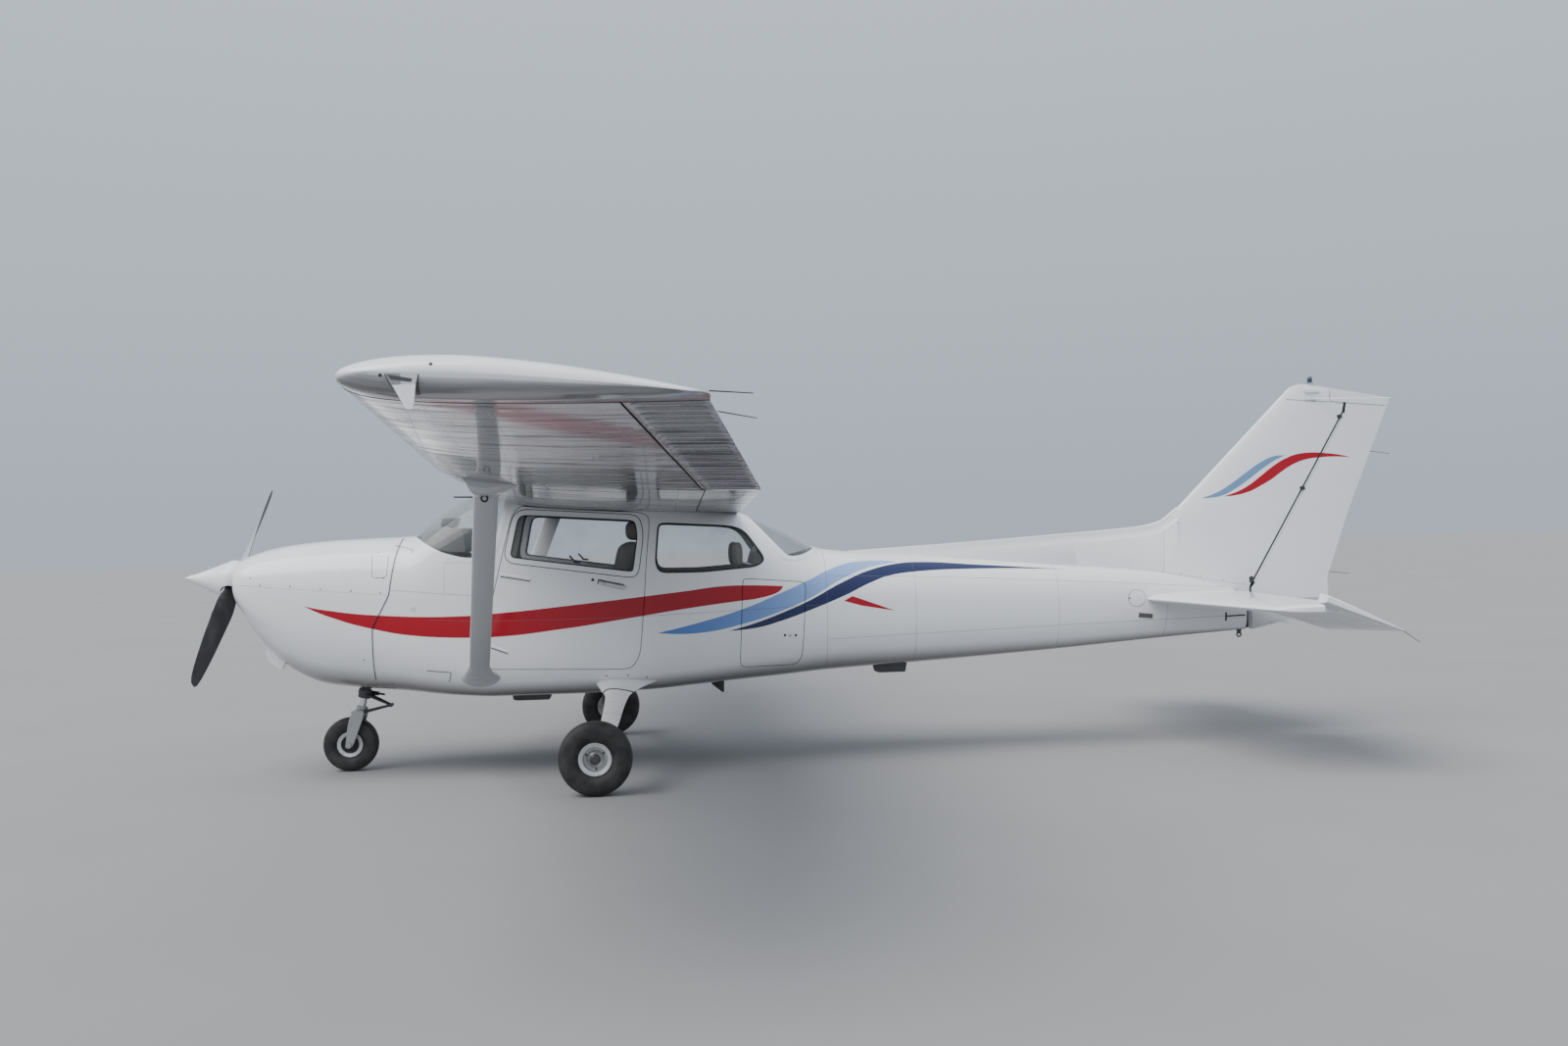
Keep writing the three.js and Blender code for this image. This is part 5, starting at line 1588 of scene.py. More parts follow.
@dataclass(frozen=True)
class Finishes:
    """Every material of the aircraft, made once."""

    skin: bpy.types.Material
    wing: bpy.types.Material
    tail: bpy.types.Material
    strut: bpy.types.Material
    leg: bpy.types.Material
    lining: bpy.types.Material
    edge: bpy.types.Material
    frame_paint: bpy.types.Material
    glass: bpy.types.Material
    seal: bpy.types.Material
    tyre: bpy.types.Material
    alloy: bpy.types.Material
    bright: bpy.types.Material
    dark_metal: bpy.types.Material
    engine: bpy.types.Material
    exhaust: bpy.types.Material
    gear: bpy.types.Material
    blade_black: bpy.types.Material
    blade_grey: bpy.types.Material
    cloth: bpy.types.Material
    leather: bpy.types.Material
    panel: bpy.types.Material
    black_plastic: bpy.types.Material
    beacon: bpy.types.Material
    lamp: bpy.types.Material
    green_lamp: bpy.types.Material
    red_lamp: bpy.types.Material

    @staticmethod
    def make() -> "Finishes":
        """Makes them all."""
        bands = (BLUE_BAND, NAVY_BAND, RED_BAND, FLICK_BAND)
        seams = (
            Seam(((420, 1010), (1200, 990), (2300, 1010), (2950, 1030))),
            Seam(((2970, 800), (3600, 812), (4600, 830), (5900, 850))),
            Seam(((2970, 1215), (3600, 1190), (4600, 1130), (5900, 1040))),
            Seam(((175, 1204), (680, 1156)), width=2.6),
            Seam(((515, 1365), (594, 1369))),
            upright(513, 1176, 1365, 2),
            upright(2957, 620, 1392),
            upright(3560, 640, 1330),
            upright(4560, 660, 1250),
            upright(5330, 716, 1036, 28),
        )
        fin_seams = (
            Seam(((5348, 1160), (5620, 1116), (5941, 1059))),
            Seam(((5369, 1438), (5492, 1533))),
            Seam(((6277, 2348), (7007, 2295)), width=6),
            upright(6640, 2345, 2440, -30),
            upright(5358, 1036, 1438, 11),
        )
        wing_seams = (
            Seam(((600, 1060), (2600, 1060), (5250, 1152)), run=1, level=0, width=4),
            *(rib_seam(span) for span in (1560, 2550, 3460, 4370)),
        )
        return Finishes(
            # Its dark colour is dirt, and painted shade on the belly and on every face that looks down.
            skin=Paint(
                "Fuselage paint", WHITE, (0.13, 0.12, 0.11), grime=0.4, belly=(0.46, 0.56), bands=bands,
                seams=seams, under=0.9
            ).build(),
            # Its dark colour is painted shade on the underside, which looks down; its streaks are dirt.
            wing=Paint(
                "Wing paint", WHITE, (0.15, 0.155, 0.165), 0.12, 0.0011, belly=(1.5, 1.55), grime=0.2,
                seams=wing_seams, gloss=0.62, under=0.9, ripple=(0.9, 5.5, 1.0), streak=0.95,
            ).build(),
            tail=Paint(
                "Tail paint", WHITE, belly=(0.8, 0.95), grime=0.2, bands=(FIN_BLUE_BAND, FIN_RED_BAND),
                seams=fin_seams
            ).build(),
            # Painted shade: the lift struts are white, and this grey stands for the wing's shade on them
            # and on the rudder's foot.
            strut=Paint("Painted shade grey", (0.46, 0.475, 0.50), wave=0.0002, belly=(0.6, 0.8)).build(),
            leg=Paint("Gear leg paint", (0.62, 0.63, 0.64), wave=0.0002, belly=(0.2, 0.6),
                grime=0.9).build(),
            lining=Moulding("Cabin lining", (0.30, 0.30, 0.29), roughness=0.6).build(),
            # Black; on cut faces, coves, hinge lines, the tail's gap and the cowl's inside it is painted
            # shade.
            edge=Moulding("Dark edge", (0.03, 0.03, 0.033), roughness=0.6).build(),
            frame_paint=Paint("Window frame paint", WHITE, wave=0.0001, grime=0.1).build(),
            glass=Glazing("Cabin glass", (0.28, 0.32, 0.33)).build(),
            seal=Rubber("Rubber seal", dusty=0.15).build(),
            tyre=Rubber("Tyre rubber").build(),
            alloy=Metal("Wheel alloy", (0.62, 0.62, 0.63), roughness=0.42, metallic=0.6).build(),
            bright=Metal("Bright metal", (0.72, 0.72, 0.72), roughness=0.16, stains=0.1).build(),
            dark_metal=Metal("Dark metal", (0.10, 0.10, 0.105), roughness=0.5, metallic=0.8).build(),
            engine=Metal("Engine casting", (0.16, 0.16, 0.16), roughness=0.6, metallic=0.7).build(),
            exhaust=Metal("Exhaust steel", (0.30, 0.24, 0.19), roughness=0.55).build(),
            gear=Metal("Gear steel", (0.42, 0.42, 0.42), roughness=0.4, metallic=0.8).build(),
            blade_black=Moulding("Blade black", (0.02, 0.02, 0.022), roughness=0.45,
                grain=0.00003).build(),
            blade_grey=Moulding("Blade grey", (0.42, 0.43, 0.45), roughness=0.35, grain=0.00003).build(),
            cloth=Cloth("Seat cloth", (0.15, 0.14, 0.13), (0.26, 0.245, 0.235)).build(),
            leather=Moulding("Seat leather", (0.13, 0.12, 0.115), roughness=0.5, grain=0.0003).build(),
            panel=Moulding("Panel black", (0.028, 0.028, 0.03), roughness=0.55).build(),
            black_plastic=Moulding("Black plastic", (0.02, 0.02, 0.021), roughness=0.4).build(),
            beacon=Lamp("Beacon lens", (0.02, 0.035, 0.09), cover=0.95).build(),
            lamp=Lamp("Clear lens", (0.30, 0.31, 0.32), cover=0.6).build(),
            green_lamp=Lamp("Green lens", (0.01, 0.25, 0.08)).build(),
            red_lamp=Lamp("Red lens", (0.5, 0.012, 0.01)).build(),
        )


def sort_faces(piece: bpy.types.Object, sources: Sequence[bpy.types.Object]) -> None:
    """Sets each face's material by the source that it lies on, and the last one for cut edges.

    Args:
        piece: the cut mesh.
        sources: the surfaces, in slot order.
    """
    trees = []
    for source in sources:
        points = [vertex.co for vertex in source.data.vertices]
        faces = [tuple(polygon.vertices) for polygon in source.data.polygons]
        trees.append(BVHTree.FromPolygons(points, faces))
    for polygon in piece.data.polygons:
        slot = len(sources)
        for at, tree in enumerate(trees):
            place, normal, _, _ = tree.find_nearest(polygon.center, SKIN_REACH * 2)
            if place is not None and abs(normal.dot(polygon.normal)) > SKIN_ANGLE:
                slot = at
                break
        polygon.material_index = slot


# The cabin

WINDSCREEN_OUTLINE = (
    (215, 1545), (255, 1541), (331, 1520), (417, 1465), (510, 1421), (640, 1388), (760, 1388),
    (806, 1405), (838, 1470), (905, 1745), (905, 2100), (215, 2100),
)
REAR_WINDOW_OUTLINE = (
    (2440, 2100), (2440, 1640), (2560, 1500), (2705, 1341), (2800, 1345), (2925, 1395), (2925, 2100),
)
SIDE_WINDOW_OUTLINE = (
    (1868, 1578), (1845, 1340), (1862, 1284), (1900, 1268), (2150, 1266), (2490, 1290),
    (2540, 1318), (2548, 1352), (2437, 1514), (2380, 1548), (2310, 1560), (1905, 1586),
)
DOOR_OUTLINE = (
    (784, 700), (792, 688), (1655, 660), (1700, 690), (1735, 760), (1762, 1030), (1790, 1390),
    (1812, 1590), (1800, 1640), (1740, 1659), (1040, 1722), (985, 1710), (945, 1660), (796, 1052),
)
DOOR_CORNER = 60.0
WINDOW_CORNER = 45.0
DOOR_WINDOW_OUTLINE = (
    (1010, 1668), (972, 1640), (918, 1385), (1690, 1272), (1712, 1284), (1745, 1510), (1732, 1600),
    (1700, 1618),
)
BAGGAGE_DOOR_OUTLINE = (
    (2405, 1200), (2420, 1214), (2800, 1180), (2815, 1160), (2785, 690), (2750, 640), (2400, 640),
    (2378, 665),
)
FLOOR_SEAM = ((30, 640), (700, 606), (2400, 606), (2960, 622))
COWL_SEAM = ((209, 2100), (209, 1538), (158, 1172), (49, 965), (41, 300))
COWL_SPLIT = ((-1000, 1277), (-735, 1253), (158, 1171), (400, 1149))


@dataclass(frozen=True)
class Strip:
    """How a strip lies along an outline on the skin.

    Attributes:
        outward: how far it reaches outside the outline.
        inward: how far it reaches inside.
        proud: how far it stands out of the skin.
        depth: how far it reaches below the skin.
    """

    outward: float
    inward: float
    proud: float
    depth: float


WINDOW_FRAME = Strip(26, 7, 1.6, 9)
WINDOW_SEAL = Strip(-7, 14, 2.2, 9)
WINDOW_EDGE = Strip(31, -22, 0.9, 6)
WINDOW_TRIM = Strip(32, 3, -30.4, 38)
SIDE_WINDOW_SEAL = Strip(3, 6, 1.6, 9)
GAP_SEAL = Strip(13, 6, -30.6, 36)
SCREEN_STRIP = Strip(22, 8, 1.8, 9)


@dataclass
class Cabin:
    """Walls, floor, roof, bulkhead, doors, windows and their trim.

    Attributes:
        finishes: the materials.
        wall: thickness of the walls.
        glass_inset: how far the panes lie inside the skin.
        glass: thickness of the panes.
        gap: width of the gap round a door.
        skin: thickness of the roof's skins.
    """

    finishes: Finishes
    wall: float = 30.0
    glass_inset: float = 8.0
    glass: float = 6.0
    gap: float = 4.0
    skin: float = 4.0

    def __post_init__(self) -> None:
        """Makes the forms that its pieces are cut from."""
        self.outer = FUSELAGE.body("outer", CABIN_FRONT, CABIN_REAR)
        self.inner = FUSELAGE.body("inner", 0, CABIN_REAR + 35, self.wall)
        self.shell = carve(copy_of(self.outer, "shell"), [(Cut.TAKE, self.inner)])
        self.panes = FUSELAGE.shell(
            "panes", CABIN_FRONT, CABIN_REAR, self.glass_inset, self.glass_inset + self.glass
        )
        self.under = above_underside(1.0)
        self.behind_cowl = across_prism(
            "behind cowl", [*((x + 1.3, z) for x, z in COWL_SEAM), (FAR, 300), (FAR, 2100)]
        )
        self.above_floor = across_prism("above floor", [*FLOOR_SEAM, (2960, 2100), (30, 2100)])
        self.below_floor = across_prism("below floor", [*FLOOR_SEAM, (2960, 300), (30, 300)])

    def skinned(self, piece: bpy.types.Object) -> bpy.types.Object:
        """Shades a cut wall and gives it paint outside, lining inside, and black cut edges as painted
        shade in the gaps.
        """
        main_body(piece)
        shade_like(piece, (self.outer, self.inner))
        dress(piece, self.finishes.skin, self.finishes.lining, self.finishes.edge)
        sort_faces(piece, (self.outer, self.inner))
        return piece

    def pane(self, name: str, outline: Sequence[Flat], replaced: str, body: str,
            side: Side | None) -> None:
        """One window pane.

        Args:
            name: the piece's name.
            outline: its edge seen from the side.
            replaced: the node that it stands for.
            body: the body that it rides on.
            side: the side that it is on, or None for both.
        """
        edge = offset(rounded(outline, WINDOW_CORNER), -0.6)
        cutter = across_prism("cut", edge) if side is None else right_prism("cut", edge)
        steps = [(Cut.KEEP, cutter)]
        if side is None:
            roof = WING.body("roof clear", [-WING_ROOT, WING_ROOT], 0.6)
            steps.append((Cut.TAKE, roof))
        piece = carve(copy_of(self.panes, name), steps)
        discard(*(tool for _, tool in steps))
        main_body(piece)
        if side is Side.LEFT:
            whole = mirrored(piece, "pane")
            discard(piece)
            piece = whole
            piece.name = name
        complete(piece, self.finishes.glass, body, (replaced,))

    def band(
        self,
        name: str,
        outline: Sequence[Flat],
        strip: Strip,
        material: bpy.types.Material,
        side: Side | None,
        limits: Sequence[tuple[Cut, bpy.types.Object]] = (),
    ) -> bpy.types.Object:
        """A strip that follows an outline on the skin.

        Args:
            name: the piece's name.
            outline: the outline seen from the side.
            strip: how it lies along the outline.
            material: its material.
            side: the side that it is on, or None for both.
            limits: more cuts.

        Returns:
            The strip.
        """
        prisms = across_prism if side is None else right_prism
        wide = prisms("wide", offset(outline, strip.outward))
        narrow = prisms("narrow", offset(outline, -strip.inward))
        made = FUSELAGE.shell(name, CABIN_FRONT, CABIN_REAR, -strip.proud, strip.depth)
        carve(made, [(Cut.KEEP, wide), (Cut.TAKE, narrow), *limits])
        discard(wide, narrow)
        if side is Side.LEFT:
            other = mirrored(made, "strip")
            discard(made)
            made = other
            made.name = name
        smooth(made)
        dress(made, material)
        return made

    def build_walls(self) -> None:
        """The two side walls and the floor."""
        door = offset(rounded(DOOR_OUTLINE, DOOR_CORNER), self.gap)
        cutters = [
            self.under,
            across_prism("screen", rounded(WINDSCREEN_OUTLINE, WINDOW_CORNER)),
            across_prism("rear", rounded(REAR_WINDOW_OUTLINE, WINDOW_CORNER)),
            right_prism("side window", rounded(SIDE_WINDOW_OUTLINE, WINDOW_CORNER)),
            right_prism("door", door),
        ]
        half = block("half", (-FAR, 0.15, -FAR), (FAR, FAR, FAR))
        limits = [(Cut.KEEP, tool) for tool in (self.behind_cowl, self.above_floor, half)]
        limits += [(Cut.TAKE, tool) for tool in cutters]
        right = carve(copy_of(self.shell, "cabin_wall_right"), limits)
        main_body(right)
        left = mirrored(right, "cabin_wall_left")
        baggage = right_prism("baggage", offset(rounded(BAGGAGE_DOOR_OUTLINE, WINDOW_CORNER), self.gap))
        opening = mirrored(baggage, "opening")
        carve(left, [(Cut.TAKE, opening)])
        finish_piece(self.skinned(right), "airframe", ("cabin_side_right",))
        finish_piece(self.skinned(left), "airframe", ("cabin_side_left",))
        kept = [(Cut.KEEP, self.below_floor), (Cut.KEEP, self.behind_cowl)]
        floor = carve(copy_of(self.outer, "belly"), kept)
        finish_piece(self.skinned(floor), "airframe", ("cabin_floor",))
        discard(baggage, opening, half, *cutters[1:])

    def build_roof(self) -> None:
        """The wing's middle bay with its headliner."""
        ends = [-WING_ROOT, WING_ROOT]
        hollow = WING.body("hollow", [ends[0] - 1, ends[1] + 1], -self.skin)
        roof = carve(WING.body("roof_bay", np.linspace(*ends, 9)), [(Cut.TAKE, hollow)])
        discard(hollow)
        smooth(roof)
        dress(roof, self.finishes.wing, self.finishes.lining)

        def chooser(middles: np.ndarray, normals: np.ndarray) -> np.ndarray:
            """Lining on the underside between the cabin walls."""
            under = (normals[:, 2] < -0.3) & (np.abs(middles[:, 1]) < 500)
            return np.where(under, 1, 0)

        choose_faces(roof, chooser)
        finish_piece(roof, "airframe", ("roof",))

    def build_doors(self) -> None:
        """Both doors with their windows, frames and seals."""
        outline = rounded(DOOR_OUTLINE, DOOR_CORNER)
        window = rounded(DOOR_WINDOW_OUTLINE, WINDOW_CORNER)
        cut, hole = right_prism("door", outline), right_prism("window", window)
        top = above_underside(9.0)
        right = carve(copy_of(self.shell, "door_panel_right"),
            [(Cut.KEEP, cut), (Cut.TAKE, top), (Cut.TAKE, hole)])
        main_body(right)
        left = mirrored(right, "door_panel_left")
        discard(cut, hole, top)
        for panel, side in ((right, Side.RIGHT), (left, Side.LEFT)):
            hand = side.name.lower()
            body = f"door_{hand}"
            finish_piece(self.skinned(panel), body, (body,))
            self.pane(f"door_glass_{hand}", DOOR_WINDOW_OUTLINE, f"door_window_{hand}", body, side)
            seal, paint = self.finishes.seal, self.finishes.frame_paint
            side_window = rounded(SIDE_WINDOW_OUTLINE, WINDOW_CORNER)
            for name, edge, strip, material, rides_on, slot in (
                ("door_window_frame", window, WINDOW_FRAME, paint, body, "airframe_paint"),
                ("door_window_seal", window, WINDOW_SEAL, seal, body, "tyre"),
                ("door_window_edge", window, WINDOW_EDGE, seal, body, "tyre"),
                ("door_window_trim", window, WINDOW_TRIM, paint, body, "cabin_trim"),
                ("door_gap_seal", outline, GAP_SEAL, seal, "airframe", "tyre"),
                ("side_window_seal", side_window, SIDE_WINDOW_SEAL, seal, "airframe", "tyre"),
            ):
                finish_piece(self.band(f"{name}_{hand}", edge, strip, material, side), rides_on)
            self.pane(f"side_glass_{hand}", SIDE_WINDOW_OUTLINE, f"side_window_{hand}", "airframe", side)

    def build_baggage_door(self) -> None:
        """The baggage door on the port side."""
        cut = right_prism("cut", rounded(BAGGAGE_DOOR_OUTLINE, WINDOW_CORNER))
        panel = carve(copy_of(self.shell, "panel"), [(Cut.KEEP, cut)])
        door = mirrored(panel, "baggage_door_panel")
        discard(cut, panel)
        finish_piece(self.skinned(door), "baggage_door", ("baggage_door",))
        edge = rounded(BAGGAGE_DOOR_OUTLINE, WINDOW_CORNER)
        seal = self.band("baggage_gap_seal", edge, GAP_SEAL, self.finishes.seal, Side.LEFT)
        finish_piece(seal, "airframe")

    def build_screens(self) -> None:
        """The windscreen and the rear window with their strips."""
        self.pane("windscreen_pane", WINDSCREEN_OUTLINE, "windscreen", "airframe", None)
        self.pane("rear_window_pane", REAR_WINDOW_OUTLINE, "rear_window", "airframe", None)
        roof = WING.body("roof clear", [-WING_ROOT, WING_ROOT], 0.6)
        for name, outline in (("windscreen", WINDSCREEN_OUTLINE), ("rear_window", REAR_WINDOW_OUTLINE)):
            strip = self.band(
                f"{name}_strip", rounded(outline, WINDOW_CORNER), SCREEN_STRIP, self.finishes.frame_paint,
                None, [(Cut.TAKE, roof), (Cut.TAKE, self.under)],
            )
            finish_piece(strip, "airframe")
        discard(roof)

    def build_bulkhead(self) -> None:
        """The panel behind the baggage space and the firewall ahead of the pedals."""
        for name, node, start, end, material in (
            ("bulkhead_panel", "rear_bulkhead", 2925, 2952, self.finishes.lining),
            ("firewall_sheet", "firewall", FIREWALL_FRONT, FIREWALL_FRONT + 8, self.finishes.alloy),
        ):
            piece = FUSELAGE.body(name, start, end, self.wall + 1, 4)
            carve(piece, [(Cut.KEEP, self.above_floor)])
            smooth(piece)
            dress(piece, material)
            finish_piece(piece, "airframe", (node,))

    def build(self) -> None:
        """Makes every piece of the cabin."""
        self.build_walls()
        self.build_roof()
        self.build_doors()
        self.build_baggage_door()
        self.build_screens()
        self.build_bulkhead()
        discard(self.inner, self.shell, self.panes, self.under)
        discard(self.behind_cowl, self.above_floor, self.below_floor, self.outer)


# The engine cowling


@dataclass
class Cowling:
    """The two halves of the engine cowling with their openings.

    Attributes:
        finishes: the materials.
        front: station of its front wall.
        rear: station behind its rearmost edge.
        lip: radius between the front wall and the sides.
        thickness: the shell's thickness.
        inlet: the starboard cooling inlet, as distances out and heights.
        intake: the intake below the spinner, in the same way.
        ahead: a station ahead of the front wall, where the openings' cutters start.
    """

    finishes: Finishes
    front: float = -858.0
    rear: float = 255.0
    lip: float = 22.0
    thickness: float = 8.0
    inlet: tuple[Flat, ...] = (
        (170, 1250), (190, 1225), (300, 1225), (325, 1255), (318, 1320), (285, 1355), (185, 1355),
        (168, 1335),
    )
    intake: tuple[Flat, ...] = ((-120, 925), (120, 925), (120, 1005), (-120, 1005))
    ahead: float = -950.0

    def body(self, name: str, inset: float) -> bpy.types.Object:
        """The cowling's form with its rounded lip, moved inwards."""
        start = self.front + inset
        turn = np.linspace(0, math.pi / 2, 8)
        along = np.arange(start + self.lip + 15, self.rear + inset + 15, 15)
        stations = [*(start + self.lip * (1 - np.cos(turn))), *along]
        insets = [*(inset + self.lip * (1 - np.sin(turn))), *([inset] * len(along))]
        return loft(name, FUSELAGE.rings(stations, insets))

    def build(self) -> None:
        """Makes both halves."""
        outer, inner = self.body("outer", 0.0), self.body("inner", self.thickness)
        shell = carve(copy_of(outer, "shell"), [(Cut.TAKE, inner)])
        inlet = prism("inlet", rounded(self.inlet, 30), Plane.FRONT, self.ahead, -700)
        cutters = [
            inlet,
            mirrored(inlet, "inlet left"),
            prism("intake", rounded(self.intake, 22), Plane.FRONT, self.ahead, -600),
            rod("hub", THRUST.at(60), THRUST.at(-150), 75),
            block("strut", (-250, -140, 300), (100, 140, 800)),
            rod("pipe", EXHAUST_TOP, (EXHAUST_BOTTOM[0], EXHAUST_BOTTOM[1], 400), EXHAUST_RADIUS + 12),
        ]
        ahead = across_prism("ahead", [*COWL_SEAM, (-2000, 300), (-2000, 2100)])
        carve(shell, [(Cut.KEEP, ahead), *((Cut.TAKE, tool) for tool in cutters)])
        split = [(x, z + 1.2) for x, z in COWL_SPLIT]
        upper = across_prism("upper", [*split, (400, 2100), (-1000, 2100)])
        lower = across_prism("lower", [*COWL_SPLIT, (400, 300), (-1000, 300)])
        for name, keep in (("cowl_upper", upper), ("cowl_lower", lower)):
            half = carve(copy_of(shell, f"{name}_shell"), [(Cut.KEEP, keep)])
            main_body(half)
            shade_like(half, (outer, inner))
            # The cowl's inside is black, as painted shade; its cut edges are white.
            dress(half, self.finishes.skin, self.finishes.edge, self.finishes.frame_paint)
            sort_faces(half, (outer, inner))
            finish_piece(half, "airframe", (name,))
        discard(outer, inner, shell, ahead, upper, lower, *cutters)


@dataclass(frozen=True)
class ThrustLine:
    """The propeller's axis.

    Attributes:
        hub: where the blades' plane crosses it.
        tilt: how far it points up, in degrees.
        lean: the blades' turn from upright, in degrees.
    """

    hub: Spot = (-918.0, 0.0, 1276.0)
    tilt: float = 5.0
    lean: float = 50.8

    @property
    def forward(self) -> np.ndarray:
        """The way that the aircraft is pulled."""
        turn = math.radians(self.tilt)
        return np.array([-math.cos(turn), 0.0, math.sin(turn)])

    @property
    def up(self) -> np.ndarray:
        """Square to the axis, upwards."""
        turn = math.radians(self.tilt)
        return np.array([math.sin(turn), 0.0, math.cos(turn)])

    def at(self, distance: float) -> Spot:
        """A spot on the axis, ahead of the blades' plane."""
        return tuple(np.array(self.hub) + self.forward * distance)

    def blade_axes(self, number: int) -> tuple[np.ndarray, np.ndarray, np.ndarray]:
        """The tangent, the radial and the forward direction of a blade."""
        lean = math.radians(self.lean) + number * math.pi
        radial = self.up * math.cos(lean) + np.array([0.0, 1.0, 0.0]) * math.sin(lean)
        return np.cross(radial, self.forward), radial, self.forward


THRUST = ThrustLine()
EXHAUST_TOP: Spot = (-470.0, 150.0, 1070.0)
EXHAUST_BOTTOM: Spot = (-432.0, 150.0, 612.0)
EXHAUST_RADIUS = 28.0


@dataclass
class Propulsion:
    """Propeller, spinner, engine and exhaust.

    Attributes:
        finishes: the materials.
        sweeper: the maker of studs and tubes.
        blade_rows: radius, chord, thickness and pitch in degrees.
        spinner_profile: radius and distance ahead of the blades' plane.
        slot: radius of the spinner's holes for the hub and the blades.
    """

    finishes: Finishes
    sweeper: Sweeper
    blade_rows: tuple[tuple[float, ...], ...] = (
        (40, 92, 62, 52),
        (140, 118, 34, 43),
        (300, 156, 22, 31),
        (550, 152, 15, 22),
        (800, 124, 10, 17),
        (925, 84, 6, 15),
        (955, 46, 4, 15),
    )
    spinner_profile: tuple[Flat, ...] = (
        (134, -36), (137, 10), (119, 60), (98, 105), (51, 208), (27, 264), (9, 311), (0, 323),
    )
    slot: float = 66.0

    def blade(self, number: int) -> bpy.types.Object:
        """One blade, as a twisted stack of sections."""
        rounding = [941, 947, 951, 954, 955]
        radii = [*np.linspace(40, 935, 70), *rounding]
        rows = limited_cubic(self.blade_rows, radii)
        tangent, radial, forward = THRUST.blade_axes(number)
        rings = []
        for radius, chord, thickness, pitch in rows:
            section = Surface(((0, -chord / 2, 0, chord / 2, 0, thickness / chord),), steps=18)
            flat = section.flat_ring(0)
            turn = math.radians(pitch)
            aside = flat[:, 0] * math.cos(turn) + flat[:, 1] * math.sin(turn)
            ahead = -flat[:, 0] * math.sin(turn) + flat[:, 1] * math.cos(turn)
            middle = np.array(THRUST.hub) + radial * radius
            rings.append(middle + np.outer(aside, tangent) + np.outer(ahead, forward))
        return loft(f"blade {number}", np.stack(rings))

    def build_propeller(self) -> None:
        """Hub and both blades."""
        blades = [self.blade(0), self.blade(1)]
        hub = turned(
            "propeller",
            [(0, -108), (58, -108), (62, -104), (62, 44), (56, 50), (0, 50)],
            THRUST.hub,
            tuple(THRUST.forward),
            48,
        )
        weld(hub, blades)
        smooth(hub)
        dress(hub, self.finishes.blade_black, self.finishes.blade_grey)

        def chooser(middles: np.ndarray, normals: np.ndarray) -> np.ndarray:
            """The grey face looks ahead."""
            away = np.linalg.norm(middles - np.array(THRUST.hub), axis=1) > 70
            return np.where((normals @ THRUST.forward > 0.05) & away, 1, 0)

        choose_faces(hub, chooser)
        hub.name = "propeller_blades"
        finish_piece(hub, "propeller", ("propeller",))

    def build_spinner(self) -> None:
        """The spinner's shell with slots for the blades, and its back plate."""
        along = np.array(self.spinner_profile)
        order = np.stack([along[:, 1], along[:, 0]], 1)
        heights = np.concatenate([np.linspace(-36, 282, 36), np.linspace(290, 320, 8), [322, 323]])
        rows = limited_cubic(order, heights)
        profile = [(float(radius), float(height)) for height, radius in rows]
        back, tip = self.spinner_profile[0][1], self.spinner_profile[-1][1]
        profile[-1] = (0.0, float(tip))
        outline = [(0.0, float(back)), *profile]
        shell = turned("spinner", outline, THRUST.hub, tuple(THRUST.forward), 96)
        source = copy_of(shell, "source")
        smooth(source)
        cutters = [rod("bore", THRUST.at(55), THRUST.at(-46), self.slot)]
        for number in (0, 1):
            _, radial, _ = THRUST.blade_axes(number)
            end = tuple(np.array(THRUST.hub) + radial * 400)
            cutters.append(rod(f"slot {number}", THRUST.hub, end, self.slot))
        carve(shell, [(Cut.TAKE, tool) for tool in cutters])
        main_body(shell)
        shade_like(shell, (source,))
        dress(shell, self.finishes.frame_paint)
        shell.name = "spinner_shell"
        finish_piece(shell, "propeller", ("spinner",))
        discard(source, *cutters)

    def build_engine(self) -> None:
        """The flat engine behind the inlets, with finned cylinders and its mount."""
        front, rear, bottom, top = -730, -60, 1045, 1370
        parts = [block("case", (front + 20, -150, bottom), (rear, 150, top - 20))]
        for side in (-1, 1):
            for number in range(2):
                middle = front + 190 + number * 200
                for fin in range(9):
                    aside = side * (165 + fin * 22)
                    parts.append(
                        rod(f"fin {number}", (middle, aside, 1215), (middle, aside + side * 9, 1215), 84)
                    )
                start, end = (middle, side * 140, 1215), (middle, side * 372, 1215)
                parts.append(rod(f"barrel {number}", start, end, 66))
                parts.append(
                    block(f"head {number}", (middle - 80, min(side * 345, side * 388), 1130),
                          (middle + 80, max(side * 345, side * 388), 1300))
                )
        parts.append(rod("crank nose", THRUST.at(-115), THRUST.at(-250), 90))
        whole = weld(parts[0], parts[1:])
        whole.name = "engine_block"
        complete(whole, self.finishes.engine, "airframe", ("engine",))
        for side in (-1, 1):
            for height in (1120, 1300):
                end = (FIREWALL_FRONT - 1, side * 280, height + (40 if height > 1200 else -60))
                tube = self.sweeper.tube(
                    f"engine_mount_{'left' if side < 0 else 'right'}_{height}",
                    [(rear - 20, side * 220, height), end], 12, self.finishes.dark_metal,
                )
                finish_piece(tube, "airframe")

    def build_exhaust(self) -> None:
        """The exhaust pipe, open at its end."""
        wall = 2.5
        length = float(np.linalg.norm(np.subtract(EXHAUST_BOTTOM, EXHAUST_TOP)))
        way = tuple(np.subtract(EXHAUST_BOTTOM, EXHAUST_TOP) / length)
        outer, inner = EXHAUST_RADIUS, EXHAUST_RADIUS - wall
        start = 26.0
        open_end = 120.0
        profile = [
            (0, start), (outer, start), (outer, length), (inner, length), (inner, length - open_end),
            (0, length - open_end - 1),
        ]
        pipe = turned("exhaust_pipe", profile, EXHAUST_TOP, way, 40)
        complete(pipe, self.finishes.exhaust, "airframe", ("exhaust",))

